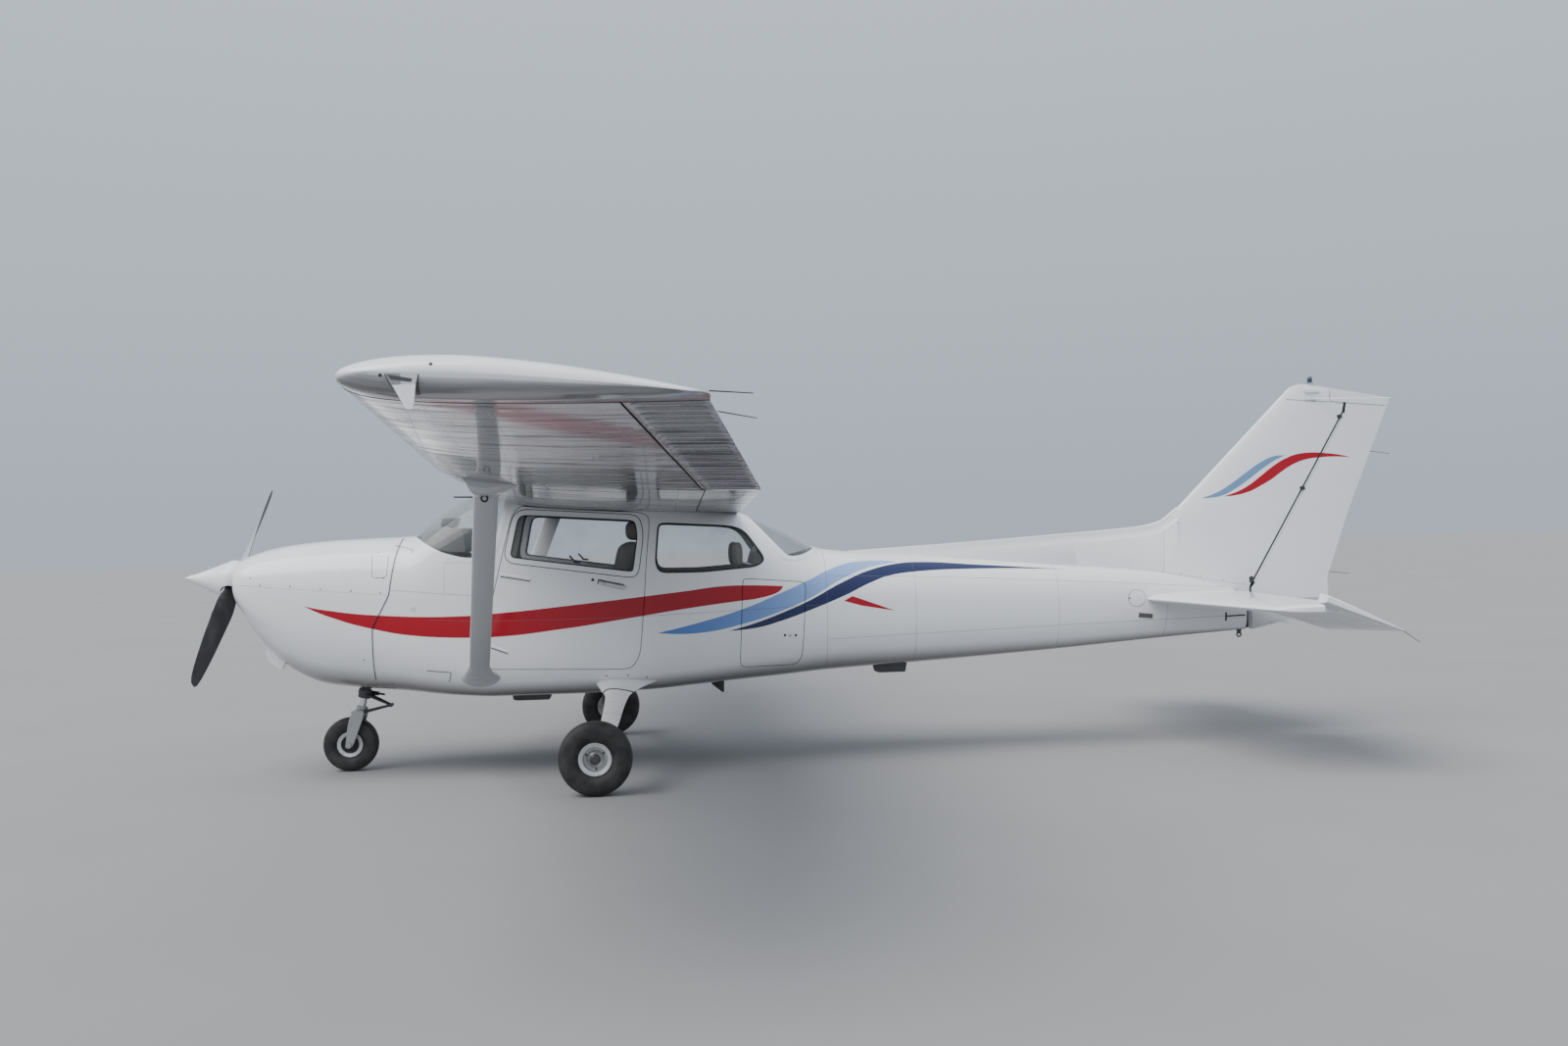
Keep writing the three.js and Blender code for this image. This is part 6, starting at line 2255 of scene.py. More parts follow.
    def build(self) -> None:
        """Makes every piece."""
        self.build_propeller()
        self.build_spinner()
        self.build_engine()
        self.build_exhaust()


# Wings


def spaced(*stops: float, step: float = 150.0) -> list[float]:
    """Values between stops, no further apart than a step."""
    made: list[float] = [stops[0]]
    for low, high in zip(stops, stops[1:]):
        count = max(1, math.ceil((high - low) / step))
        made.extend(low + (high - low) * (k + 1) / count for k in range(count))
    return made


def nose_of(surface: Surface, span: float, front: float) -> tuple[float, float, float]:
    """Station, height and radius of a round nose that starts at a front edge."""
    guess = 36.0
    chord = float(surface.row(span)[3] - surface.row(span)[1])

    def half_at(station: float) -> float:
        """Half the section's thickness."""
        share = np.array([(station - float(surface.row(span)[1])) / chord])
        return float(thickness_curve(share, float(surface.row(span)[5]))[0]) * chord

    station = front + half_at(front + guess)
    middle, _ = surface.at(span, np.array([station]))
    return station, float(middle[0]), half_at(station)


def cove(surface: Surface, ends: tuple[Flat, Flat], low: float, high: float,
        room: float) -> list[bpy.types.Object]:
    """The space that a control surface turns in.

    Args:
        surface: the form that it is cut from.
        ends: span and front station at the inner and the outer end.
        low: span where the space starts.
        high: span where it ends.
        room: gap between the nose and the cove.

    Returns:
        A prism and a tapered bar that cut it.
    """
    noses = [nose_of(surface, span, front) for span, front in ends]
    spots = [np.array([nose[0], span, nose[1], nose[2]]) for nose, (span, _) in zip(noses, ends)]

    def along(span: float) -> np.ndarray:
        """The nose at a span, on a straight line."""
        share = (span - spots[0][1]) / (spots[1][1] - spots[0][1])
        return spots[0] + (spots[1] - spots[0]) * share

    first, last = along(low), along(high)
    plan = [(first[0], low), (WIDE, low), (WIDE, high), (last[0], high)]
    start = (first[0], low, first[2])
    end = (last[0], high, last[2])
    return [
        prism("cove", plan, Plane.PLAN, 0, FAR),
        rod("cove nose", start, end, spots[0][3] + room, spots[1][3] + room),
    ]


@dataclass
class Wings:
    """Both wings with ailerons, flaps, tips and lift struts.

    Attributes:
        finishes: the materials.
        aileron: span and front station at its two ends.
        flap: the same of the flap.
        room: gap between a nose and its cove.
        strut_rows: span, leading station, rise, trailing station, rise and thickness ratio.
        tip_rows: distance out, leading and trailing setback and thickness ratio.
    """

    finishes: Finishes
    aileron: tuple[Flat, Flat] = ((2557, 2075), (5273, 1752))
    flap: tuple[Flat, Flat] = ((608, 2090), (2544, 2090))
    room: float = 5.0
    strut_rows: tuple[tuple[float, ...], ...] = (
        (520, 618, 640, 852, 632, 0.34),
        (580, 640, 678, 815, 670, 0.34),
        (660, 676, 727, 803, 719, 0.36),
        (740, 689, 774, 815, 766, 0.36),
        (2300, 935, 1689, 1061, 1681, 0.36),
        (2380, 948, 1736, 1074, 1728, 0.36),
        (2470, 925, 1788, 1190, 1780, 0.36),
        (2540, 915, 1830, 1262, 1822, 0.34),
    )
    tip_rows: tuple[tuple[float, ...], ...] = (
        (0.3, 0, 0, 0.12),
        (60, 2, 0, 0.118),
        (110, 7, 1, 0.110),
        (160, 22, 8, 0.096),
        (195, 52, 26, 0.072),
        (214, 88, 47, 0.042),
        (220, 112, 62, 0.012),
    )

    def build_main(self) -> None:
        """Both wings' boxes with their coves."""
        source = WING.body("source", spaced(WING_ROOT + HAIR, WING_KINK, TIP_RIB))
        smooth(source)
        cutters = cove(WING, self.aileron, WING_KINK, TIP_RIB + 1, self.room)
        cutters += cove(WING, self.flap, 600, WING_KINK, self.room)
        right = carve(copy_of(source, "wing_box_right"), [(Cut.TAKE, tool) for tool in cutters])
        main_body(right)
        left = mirrored(right, "wing_box_left")
        other = mirrored(source, "other source")
        smooth(other)
        for made, hand, shape in ((right, "right", source), (left, "left", other)):
            shade_like(made, (shape,))
            # The coves' cut faces are black, as painted shade.
            dress(made, self.finishes.wing, self.finishes.edge)
            sort_faces(made, (shape,))
            finish_piece(made, "airframe", (f"wing_{hand}",))
        discard(source, other, *cutters)

    def build_flappers(self) -> None:
        """Ailerons and flaps."""
        for name, ends in (("aileron", self.aileron), ("flap", self.flap)):
            noses = [nose_of(WING, span, front) for span, front in ends]
            shape = Flapper(
                WING, ends[0][0], ends[1][0], (noses[0][0], noses[1][0]), (noses[0][1], noses[1][1]),
                pitch=105.0 if name == "aileron" else 0,
            )
            right = loft(f"{name}_skin_right", shape.rings())
            left = mirrored(right, f"{name}_skin_left")
            for made, hand in ((right, "right"), (left, "left")):
                smooth(made, math.radians(40))
                dress(made, self.finishes.wing, self.finishes.edge)
                # The nose inside the cove is black, as painted shade.
                choose_faces(made, lambda middles, normals: shape.ahead(middles, 12))
                finish_piece(made, f"{name}_{hand}", (f"{name}_{hand}",))

    def build_tips(self) -> None:
        """The moulded wing tips."""
        _, lead_x, lead_z, trail_x, trail_z, _ = WING.row(TIP_RIB)
        outs = [*np.linspace(0.3, 160, 12), *np.linspace(168, 212, 10), 215, 217.5, 219, 220]
        rings = []
        for out, lead_back, trail_back, ratio in limited_cubic(self.tip_rows, outs):
            rise = out * 0.036
            shape = Surface(
                ((0, lead_x + lead_back, lead_z + rise, trail_x - trail_back, trail_z + rise, ratio),),
                camber=WING.camber,
            )
            flat = shape.flat_ring(0)
            rings.append(np.stack([flat[:, 0], np.full(len(flat), TIP_RIB + out), flat[:, 1]], 1))
        right = loft("wing_tip_shell_right", np.stack(rings))
        left = mirrored(right, "wing_tip_shell_left")
        for made, hand in ((right, "right"), (left, "left")):
            complete(made, self.finishes.wing, "airframe", (f"wing_tip_{hand}",))

    def build_struts(self) -> None:
        """The lift struts with their flared ends."""
        shape = Surface(self.strut_rows, eased=True, steps=24)
        spans = [*np.linspace(520, 700, 16), *np.linspace(760, 2340, 20), *np.linspace(2370, 2540, 16)]
        source = shape.body("strut source", spans)
        fuselage = FUSELAGE.body("fuselage", CABIN_FRONT, CABIN_REAR, -HAIR)
        wing = WING.body("wing", spaced(WING_ROOT, WING_KINK, TIP_RIB), 0.6)
        right = carve(copy_of(source, "lift_strut_right"), [(Cut.TAKE, fuselage), (Cut.TAKE, wing)])
        main_body(right)
        left = mirrored(right, "lift_strut_left")
        for made, hand in ((right, "right"), (left, "left")):
            # Their grey is painted shade of the wing over them.
            complete(made, self.finishes.strut, "airframe", (f"strut_{hand}",))
        discard(source, fuselage, wing)

    def build(self) -> None:
        """Makes every piece."""
        self.build_main()
        self.build_flappers()
        self.build_tips()
        self.build_struts()


# Tail


@dataclass
class Tail:
    """Tail cone, stabilizer, elevators, trim tab, fin, rudder and beacon.

    Attributes:
        finishes: the materials.
        hinge: station of the elevator's hinge.
        droop: how far the parked elevator hangs, in degrees.
        root: span of the elevator's inner end.
        horn_inner: span where the balance horn starts.
        horn_front: station of the horn's front edge.
        tip: span of the tips.
        tab: inner span, outer span and chord of the trim tab.
        room: gap round what moves.
        hinge_low: the rudder's lower hinge.
        hinge_high: its upper hinge.
        hinge_radii: the nose's radius at both.
        end: station of the tail cone's end.
        fin_outline: the fin and the rudder together, seen from the side.
        rudder_outline: what of that is the rudder's.
        fin_front: what of that is the fin's.
        dorsal_rows: station, top, half width at the base and half width at the crown.
    """

    finishes: Finishes
    hinge: float = 5860.0
    droop: float = 23.0
    root: float = 112.0
    horn_inner: float = 1608.0
    horn_front: float = 5712.0
    tip: float = 1727.0
    tab: tuple[float, float, float] = (340.0, 1180.0, 135.0)
    room: float = 6.0
    hinge_low: Spot = (6008.0, 0.0, 1079.0)
    hinge_high: Spot = (6696.0, 0.0, 2247.0)
    hinge_radii: Flat = (35.0, 21.0)
    end: float = 5940.0
    fin_outline: tuple[Flat, ...] = (
        (4900, 700), (4900, 2000), (6100, 2300), (6290, 2416), (6333, 2445), (6393, 2458), (6594, 2424),
        (7046, 2350), (7034, 2310), (7200, 2310), (7200, 982), (6565, 982), (6271, 812), (5985, 748),
    )
    rudder_outline: tuple[Flat, ...] = (
        (5985, 600), (5985, 1040), (6016, 1079), (6702, 2247), (6714, 2322), (6600, 2334), (6612, 2600),
        (7400, 2600), (7400, 600),
    )
    fin_front: tuple[Flat, ...] = (
        (4800, 900), (5966, 900), (5966, 1040), (5984, 1079), (6676, 2247), (6692, 2308), (6588, 2320),
        (6600, 2600), (4800, 2600),
    )
    dorsal_rows: tuple[tuple[float, ...], ...] = (
        (3150, 1368, 5, 3), (4076, 1414, 14, 5), (4629, 1447, 20, 6), (4956, 1467, 25, 7),
        (5206, 1488, 30, 9), (5339, 1518, 34, 12), (5470, 1612, 36, 14),
    )

    def tail_span(self) -> list[float]:
        """Spans of the whole tail plane's sections."""
        half = [*spaced(0, 1600), 1630, 1660, 1680, 1700, 1710, 1718, 1723, self.tip]
        return [*(-span for span in half[:0:-1]), *half]

    def half_at(self, span: float) -> float:
        """Half the tail plane's thickness on the hinge line."""
        _, lead, _, trail, _, ratio = TAIL.row(span)
        share = np.array([(self.hinge - lead) / (trail - lead)])
        return float(thickness_curve(share, ratio)[0]) * (trail - lead)

    def drooped(self, piece: bpy.types.Object) -> bpy.types.Object:
        """Turns a piece about the elevator's hinge to where it hangs."""
        place = Vector(to_frame((self.hinge, 0, TAIL_HEIGHT)))
        turn = Matrix.Rotation(math.radians(self.droop), 4, "Y")
        piece.data.transform(Matrix.Translation(place) @ turn @ Matrix.Translation(-place))
        return piece

    def build_stabilizer(self) -> None:
        """The fixed tail plane."""
        source = TAIL.body("source", self.tail_span())
        smooth(source)
        cutters = [block("aft", (self.hinge, -2000, 0), (FAR, 2000, FAR))]
        for side in (-1, 1):
            start = (self.hinge, 0, TAIL_HEIGHT)
            end = (self.hinge, side * 1600, TAIL_HEIGHT)
            room = self.room + 1
            cutters.append(rod("nose", start, end, self.half_at(0) + room, self.half_at(1600) + room))
            inner = side * (self.horn_inner - self.room)
            low, high = sorted((inner, side * 1800))
            cutters.append(block("horn", (self.horn_front - self.room, low, 0), (FAR, high, FAR)))
        piece = carve(copy_of(source, "tail_plane"), [(Cut.TAKE, tool) for tool in cutters])
        main_body(piece)
        shade_like(piece, (source,))
        dress(piece, self.finishes.tail)
        finish_piece(piece, "airframe", ("stabilizer",))
        discard(source, *cutters)

    def tab_edge(self, span: float) -> float:
        """Station of the trim tab's front edge."""
        return float(TAIL.row(span)[3]) - self.tab[2]

    def elevator_half(self, name: str, with_tab: bool) -> bpy.types.Object:
        """The starboard elevator, level.

        Args:
            name: the piece's name.
            with_tab: whether it is cut out for the trim tab.

        Returns:
            The closed skin.
        """
        shape = Flapper(
            TAIL, self.root, self.horn_inner, (self.hinge, self.hinge), (TAIL_HEIGHT, TAIL_HEIGHT),
            depth=2.5
        )
        plan = [
            (self.hinge - 100, self.root), (self.hinge, self.root), (6520, 310), (6520, 1800),
            (self.hinge - 100, 1800)
        ]
        keep = prism("plan", plan, Plane.PLAN, 0, FAR)
        piece = carve(loft(name, shape.rings()), [(Cut.KEEP, keep)])
        horn = TAIL.body("horn", [self.horn_inner - 0.5, *self.tail_span()[-8:]])
        ahead = block("ahead", (0, 0, 0), (self.horn_front, FAR, FAR))
        carve(horn, [(Cut.TAKE, ahead)])
        steps = [(Cut.JOIN, horn)]
        if with_tab:
            inner, outer, _ = self.tab
            opening = [
                (self.tab_edge(inner) - self.room, inner - self.room), (6600, inner - self.room),
                (6600, outer + self.room), (self.tab_edge(outer) - self.room, outer + self.room),
            ]
            steps.append((Cut.TAKE, prism("opening", opening, Plane.PLAN, 0, FAR)))
        carve(piece, steps)
        discard(keep, ahead, *(tool for _, tool in steps))
        return main_body(piece)

    def build_elevators(self) -> None:
        """Both elevators on their torque tube, and the trim tab."""
        right = self.elevator_half("elevator_right", True)
        plain = self.elevator_half("plain", False)
        left = mirrored(plain, "elevator_left")
        tube = rod(
            "elevator_tube", (self.hinge, -self.root - 5, TAIL_HEIGHT),
            (self.hinge, self.root + 5, TAIL_HEIGHT), 20
        )
        discard(plain)
        for at, piece in enumerate((right, left, tube)):
            smooth(piece, math.radians(40))
            dress(piece, self.finishes.tail)
            self.drooped(piece)
            finish_piece(piece, "elevator", ("elevator",) if at == 0 else ())
        inner, outer, _ = self.tab
        plan = [
            (self.tab_edge(inner) + 10, inner), (6600, inner), (6600, outer),
            (self.tab_edge(outer) + 10, outer)
        ]
        keep = prism("plan", plan, Plane.PLAN, 0, FAR)
        nose = rod(
            "nose", (self.tab_edge(inner) + 10, inner, TAIL_HEIGHT),
            (self.tab_edge(outer) + 10, outer, TAIL_HEIGHT), 9, 8
        )
        tab = carve(TAIL.body("trim_tab_skin", spaced(0, self.tip)), [(Cut.KEEP, keep), (Cut.JOIN, nose)])
        discard(keep, nose)
        smooth(tab)
        dress(tab, self.finishes.tail)
        finish_piece(self.drooped(tab), "trim_tab", ("trim_tab",))

    def build_cone(self) -> None:
        """The tail cone."""
        source = FUSELAGE.body("source", CABIN_REAR + HAIR, self.end, 0, 40)
        smooth(source)
        slab = TAIL.body("slab", self.tail_span(), HAIR)
        low = (self.hinge - 60, -200, TAIL_HEIGHT - 50)
        room = block("room", low, (self.end + 10, 200, TAIL_HEIGHT + 38))
        piece = carve(copy_of(source, "tail_cone_skin"), [(Cut.TAKE, slab), (Cut.TAKE, room)])
        main_body(piece)
        shade_like(piece, (source,))
        dress(piece, self.finishes.skin)
        finish_piece(piece, "airframe", ("tail_cone",))
        discard(source, slab, room)

    def dorsal(self) -> bpy.types.Object:
        """The fairing ahead of the fin."""
        base_height = 1130.0
        rings = []
        for station, top, base, crown in limited_cubic(self.dorsal_rows, np.linspace(3150, 5470, 60)):
            shoulder = top - 2.2 * crown - 60
            rise = np.linspace(0, 1, 9)
            flank = [
                (crown + (base - crown) * (1 - t) ** 2.2, shoulder + (top - crown - shoulder) * t)
                for t in rise
            ]
            turn = np.linspace(0, math.pi, 9)[1:-1]
            cap = [(crown * math.cos(t), top - crown + crown * math.sin(t)) for t in turn]
            side = [(base, base_height), *flank]
            around = [*side, *cap, *((-y, z) for y, z in side[::-1])]
            rings.append([(station, y, z) for y, z in around])
        return loft("dorsal", np.array(rings))

    def build_fin(self) -> None:
        """Fin with its dorsal fairing, and the rudder."""
        heights = [*spaced(740, 1100, 1560, 2300, step=80), *np.linspace(2320, 2460, 9)]
        source = FIN.body("source", heights)
        smooth(source)
        outline = prism("outline", rounded(self.fin_outline, 24), Plane.SIDE, -FIN_REACH, FIN_REACH)
        blade = carve(copy_of(source, "blade"), [(Cut.KEEP, outline)])
        low, high = np.array(self.hinge_low), np.array(self.hinge_high)
        reach = [tuple(low + (high - low) * share) for share in (-0.02, 1.01)]
        room = self.room
        opening = rod("cove", *reach, self.hinge_radii[0] + room, self.hinge_radii[1] + room)
        front = prism("front", self.fin_front, Plane.SIDE, -FIN_REACH, FIN_REACH)
        cone = FUSELAGE.body("cone", CABIN_REAR + HAIR, self.end, -HAIR, 40)
        dorsal = self.dorsal()
        smooth(dorsal)
        fin = carve(
            copy_of(blade, "fin_skin"),
            [(Cut.KEEP, front), (Cut.JOIN, dorsal), (Cut.TAKE, opening), (Cut.TAKE, cone)],
        )
        main_body(fin)
        shade_like(fin, (source, dorsal))
        # Faces in the hinge gap are painted black as shade.
        dress(fin, self.finishes.tail, self.finishes.edge)
        along = (high - low) / np.linalg.norm(high - low)

        def near_hinge(middles: np.ndarray, normals: np.ndarray) -> np.ndarray:
            """Faces round the rudder's hinge line, painted black as shade in the gap."""
            away = np.linalg.norm(np.cross(middles - low, along), axis=1)
            share = (middles[:, 2] - low[2]) / (high[2] - low[2])
            radius = self.hinge_radii[0] + (self.hinge_radii[1] - self.hinge_radii[0]) * share
            return np.where((away < radius + room + 1.5) & (np.abs(normals[:, 1]) < 0.96), 1, 0)

        choose_faces(fin, near_hinge)
        finish_piece(fin, "airframe", ("fin",))
        rear = prism("rear", self.rudder_outline, Plane.SIDE, -FIN_REACH, FIN_REACH)
        nose = rod("nose", self.hinge_low, self.hinge_high, *(radius - 1 for radius in self.hinge_radii))
        rudder = carve(copy_of(blade, "rudder_skin"), [(Cut.KEEP, rear), (Cut.JOIN, nose)])
        main_body(rudder)
        shade_like(rudder, (source,))
        # The black faces in the hinge gap and the grey foot are painted shade.
        dress(rudder, self.finishes.tail, self.finishes.edge, self.finishes.strut)
        foot = 968.0

        def by_height(middles: np.ndarray, normals: np.ndarray) -> np.ndarray:
            """Grey painted shade on the rudder's foot, and black painted shade on the hinge line's faces
            above it.
            """
            return np.where(middles[:, 2] < foot, 2, near_hinge(middles, normals))

        choose_faces(rudder, by_height)
        finish_piece(rudder, "rudder", ("rudder",))
        discard(source, outline, blade, opening, front, cone, dorsal, rear, nose)

    def build_beacon(self) -> None:
        """The beacon on top of the fin."""
        profile = [(0, 0), (26, 0), (26, 12), (17, 13), (17, 40), (14, 52), (8, 59), (0, 60.5)]
        piece = turned("beacon_lamp", profile, (6463, 0, 2451.5), (0, 0, 1), 32)
        smooth(piece)
        dress(piece, self.finishes.beacon, self.finishes.bright)
        choose_faces(piece, lambda middles, normals: np.where(middles[:, 2] < 2464.4, 1, 0))
        finish_piece(piece, "airframe", ("beacon",))

    def build(self) -> None:
        """Makes every piece."""
        self.build_cone()
        self.build_stabilizer()
        self.build_elevators()
        self.build_fin()
        self.build_beacon()


# Landing gear


@dataclass(frozen=True)
class WheelSize:
    """The sizes of one wheel.

    Attributes:
        outer: the tyre's radius.
        rim: the rim's radius.
        half: half the tyre's width.
        ring: inner radius of the rim's bright ring.
        bolt_ring: radius on which the bolts sit.
        axle: the axle's radius.
    """

    outer: float
    rim: float
    half: float
    ring: float
    bolt_ring: float
    axle: float = 19.0

    def tyre_profile(self) -> list[Flat]:
        """The tyre's section with its tread grooves, as radius and distance along the axle."""
        height = self.outer - self.rim
        side = [
            (self.rim + 0.3, 0.70), (self.rim + 0.10 * height, 0.80), (self.rim + 0.3 * height, 0.97),
            (self.rim + 0.52 * height, 1.0), (self.rim + 0.76 * height, 0.93),
            (self.rim + 0.91 * height, 0.78),
        ]
        half_tread = 0.62
        grooves = (-0.40, -0.135, 0.135, 0.40)
        width, depth = 0.035, 0.055 * height
        tread: list[Flat] = [(self.outer - 3.2, half_tread)]
        for middle in reversed(grooves):
            crown = self.outer - 3.0 * (middle / half_tread) ** 2
            for shift, drop in ((width, 0.0), (width * 0.8, depth), (-width * 0.8, depth), (-width, 0.0)):
                tread.append((crown - drop, middle + shift))
        tread.append((self.outer - 3.2, -half_tread))
        flank = [(radius, share * self.half) for radius, share in side]
        smooth_side = self._eased(flank)
        across_tread = [(radius, share * self.half) for radius, share in tread]
        back = [(radius, -share) for radius, share in reversed(smooth_side)]
        return [*smooth_side, *across_tread, *back]

    def _eased(self, flank: list[Flat]) -> list[Flat]:
        """A curve through the sidewall's points."""
        rows = [(k, *point) for k, point in enumerate(flank)]
        made = limited_cubic(rows, np.linspace(0, len(flank) - 1, 22))
        return [(float(radius), float(along)) for _, radius, along in made]

    def rim_profile(self) -> list[Flat]:
        """The wheel's section, with a flange at each side and a boss at the axle."""
        lip = self.half * 0.78
        web = self.half * 0.30
        boss = self.half * 0.62
        bore = self.axle + 1.0
        ring = self.ring
        side = [
            (bore, boss), (bore + 9, boss), (bore + 12, boss - 4), (ring * 0.69, web + 9),
            (ring * 0.72, web),
            (ring * 0.97, web), (ring, web + 5), (ring, lip - 9), (ring + 3, lip - 5),
            (self.rim * 0.90, lip - 1),
            (self.rim * 0.92, lip), (self.rim * 0.97, lip), (self.rim, lip - 3),
        ]
        return [*side, *((radius, -along) for radius, along in reversed(side))]


@dataclass
class Gear:
    """Main legs, wheels, brakes and the steered nose leg.

    Attributes:
        finishes: the materials.
        sweeper: the maker of bolts and pipes.
        main_axle: middle of the starboard main wheel.
        nose_axle: middle of the nose wheel.
        leg_rows: span, leading station, rise, trailing station, rise and thickness ratio.
        main: the main wheel's sizes.
        nose: the nose wheel's sizes.
        steer_point: a spot on the steering axis.
        steer_lean: its lean, in degrees.
        fork_gap: half the distance between the fork's arms.
        fork_thickness: thickness of an arm.
    """

    finishes: Finishes
    sweeper: Sweeper
    main_axle: Spot = (1473.0, 1281.0, 217.0)
    nose_axle: Spot = (-194.0, 0.0, 177.0)
    leg_rows: tuple[tuple[float, ...], ...] = (
        (440, 1440, 578, 1850, 578, 0.2),
        (560, 1482, 536, 1720, 536, 0.24),
        (660, 1512, 502, 1660, 502, 0.3),
        (1100, 1490, 358, 1594, 358, 0.3),
        (1150, 1486, 336, 1582, 336, 0.3),
    )
    main: WheelSize = WheelSize(217.0, 98.0, 80.0, 71.0, 58.0)
    nose: WheelSize = WheelSize(177.0, 84.0, 63.0, 58.0, 47.0)
    steer_point: Spot = (-100.0, 0.0, 500.0)
    steer_lean: float = 12.0
    fork_gap: float = 72.0
    fork_thickness: float = 16.0

    def on_steer_axis(self, height: float) -> Spot:
        """A spot on the steering axis."""
        back = (height - self.steer_point[2]) * math.tan(math.radians(self.steer_lean))
        return (self.steer_point[0] + back, 0.0, height)

    def wheel(self, size: WheelSize, axle: Spot, name: str, body: str, nodes: tuple[str, str]) -> None:
        """One wheel with its tyre.

        Args:
            size: its sizes.
            axle: its middle.
            name: the start of the pieces' names.
            body: the body that it turns with.
            nodes: the hub's and the tyre's nodes.
        """
        tyre = turned(f"{name}_tyre_rubber", size.tyre_profile(), axle, (0, 1, 0), 128)
        smooth(tyre, math.radians(35))
        dress(tyre, self.finishes.tyre)
        finish_piece(tyre, body, (nodes[1],))
        rim = turned(f"{name}_rim", size.rim_profile(), axle, (0, 1, 0), 96)
        smooth(rim)
        dish = self.finishes.gear if size is self.main else self.finishes.black_plastic
        dress(rim, self.finishes.alloy, dish)

        def chooser(middles: np.ndarray, normals: np.ndarray) -> np.ndarray:
            """The dish lies inside the bright ring."""
            away = np.hypot(middles[:, 0] - axle[0], middles[:, 2] - axle[2])
            return np.where(away < size.ring - 0.5, 1, 0)

        choose_faces(rim, chooser)
        finish_piece(rim, body, (nodes[0],))
        bolts = []
        ring = size.bolt_ring
        for side in (-1, 1):
            for number in range(3):
                turn = 0.59 + 2 * math.pi * number / 3
                spot = (
                    axle[0] + ring * math.cos(turn), axle[1] + side * size.half * 0.30,
                    axle[2] + ring * math.sin(turn)
                )
                bolts.append((spot, (0.0, float(side), 0.0)))
        heads = self.sweeper.stud(f"{name}_rim_bolts", bolts, 7, 6, self.finishes.dark_metal)
        finish_piece(heads, body)

    def build_main(self) -> None:
        """The spring legs with axles, brakes and wheels."""
        shape = Surface(self.leg_rows, eased=True, steps=24)
        spans = [*np.linspace(440, 680, 20), *np.linspace(720, 1150, 14)]
        source = shape.body("leg source", spans)
        fuselage = FUSELAGE.body("fuselage", CABIN_FRONT, CABIN_REAR, -HAIR)
        foot = rod("foot", (1536, 1120, 352), (1480, 1168, self.main_axle[2]), 26)
        x, _, z = self.main_axle
        axle = rod("axle", (x, 1150, z), (x, 1310, z), self.main.axle)
        steps = [(Cut.TAKE, fuselage), (Cut.JOIN, foot), (Cut.JOIN, axle)]
        right = carve(copy_of(source, "gear_leg_right"), steps)
        main_body(right)
        left = mirrored(right, "gear_leg_left")
        for made, hand in ((right, "right"), (left, "left")):
            complete(made, self.finishes.leg, "airframe", (f"main_gear_{hand}",))
        discard(source, fuselage, foot, axle)
        for side in Side:
            hand = side.name.lower()
            axle_spot = (self.main_axle[0], side.value * self.main_axle[1], self.main_axle[2])
            nodes = (f"main_hub_{hand}", f"main_tyre_{hand}")
            self.wheel(self.main, axle_spot, f"main_{hand}", f"main_wheel_{hand}", nodes)
            self.brake(side)

    def brake(self, side: Side) -> None:
        """Disc, hub cap and caliper of one main wheel."""
        hand = side.name.lower()
        x, _, z = self.main_axle
        sign = side.value
        disc = ((30, 0), (82, 0), (82, 6), (62, 6), (62, 47), (30, 47))
        cap = ((0, 0), (32, 0), (32, 10), (28, 20), (22, 24), (0, 24))
        for name, body, profile, aside, material in (
            ("brake_disc", "main_wheel", disc, 1203, self.finishes.gear),
            ("hub_cap", "main_wheel", cap, 1316, self.finishes.dark_metal),
        ):
            piece = turned(f"{name}_{hand}", profile, (x, sign * aside, z), (0, sign, 0), 72)
            complete(piece, material, f"{body}_{hand}")
        outline = rounded(((1411, 237), (1509, 237), (1509, 313), (1411, 313)), 14)
        caliper = prism(f"brake_caliper_{hand}", outline, Plane.SIDE, *sorted((sign * 1166, sign * 1196)))
        complete(caliper, self.finishes.engine, "airframe")

    def build_nose(self) -> None:
        """The nose leg with its fork, links and wheel."""
        barrel = turned(
            "nose_leg_barrel",
            [(0, -355), (30, -355), (34, -350), (34, -40), (37, -38), (37, -2), (34, 0), (0, 0)],
            self.on_steer_axis(545),
            tuple(np.subtract(self.on_steer_axis(545), self.on_steer_axis(900))),
            48,
        )
        brackets = [
            block("bracket", (-60, -55, height), (FIREWALL_FRONT - HAIR, 55, height + 30))
            for height in (640, 850)
        ]
        weld(barrel, brackets)
        complete(barrel, self.finishes.dark_metal, "airframe", ("nose_gear_barrel",))
        damper = rod("steering_damper", (-150, 58, 520), (-20, 58, 497), 14)
        tail_rod = rod("rod", (-30, 58, 499), (20, 58, 490), 7)
        weld(damper, [tail_rod])
        complete(damper, self.finishes.black_plastic, "nose_fork")
        piston = rod("nose_piston", self.on_steer_axis(520), self.on_steer_axis(380), 22)
        complete(piston, self.finishes.bright, "nose_fork")
        collar = turned(
            "nose_collar",
            [(0, 0), (40, 0), (42, 6), (42, 52), (38, 60), (0, 60)],
            self.on_steer_axis(538),
            tuple(np.subtract(self.on_steer_axis(400), self.on_steer_axis(538))),
            40,
        )
        complete(collar, self.finishes.dark_metal, "nose_fork")
        arm = rounded(((-175, 392), (-95, 402), (-100, 350), (-172, 160), (-216, 160), (-200, 300)), 40)
        parts = []
        for side in (-1, 1):
            low, high = sorted((side * self.fork_gap, side * (self.fork_gap + self.fork_thickness)))
            parts.append(prism("arm", arm, Plane.SIDE, low, high))
        reach = self.fork_gap + self.fork_thickness
        crown = prism(
            "nose_fork_casting", rounded(((-172, 372), (-98, 372), (-94, 402), (-176, 402)), 16),
            Plane.SIDE, -reach, reach
        )
        x, _, z = self.nose_axle
        parts.append(rod("axle", (x, -reach - 12, z), (x, reach + 12, z), self.nose.axle))
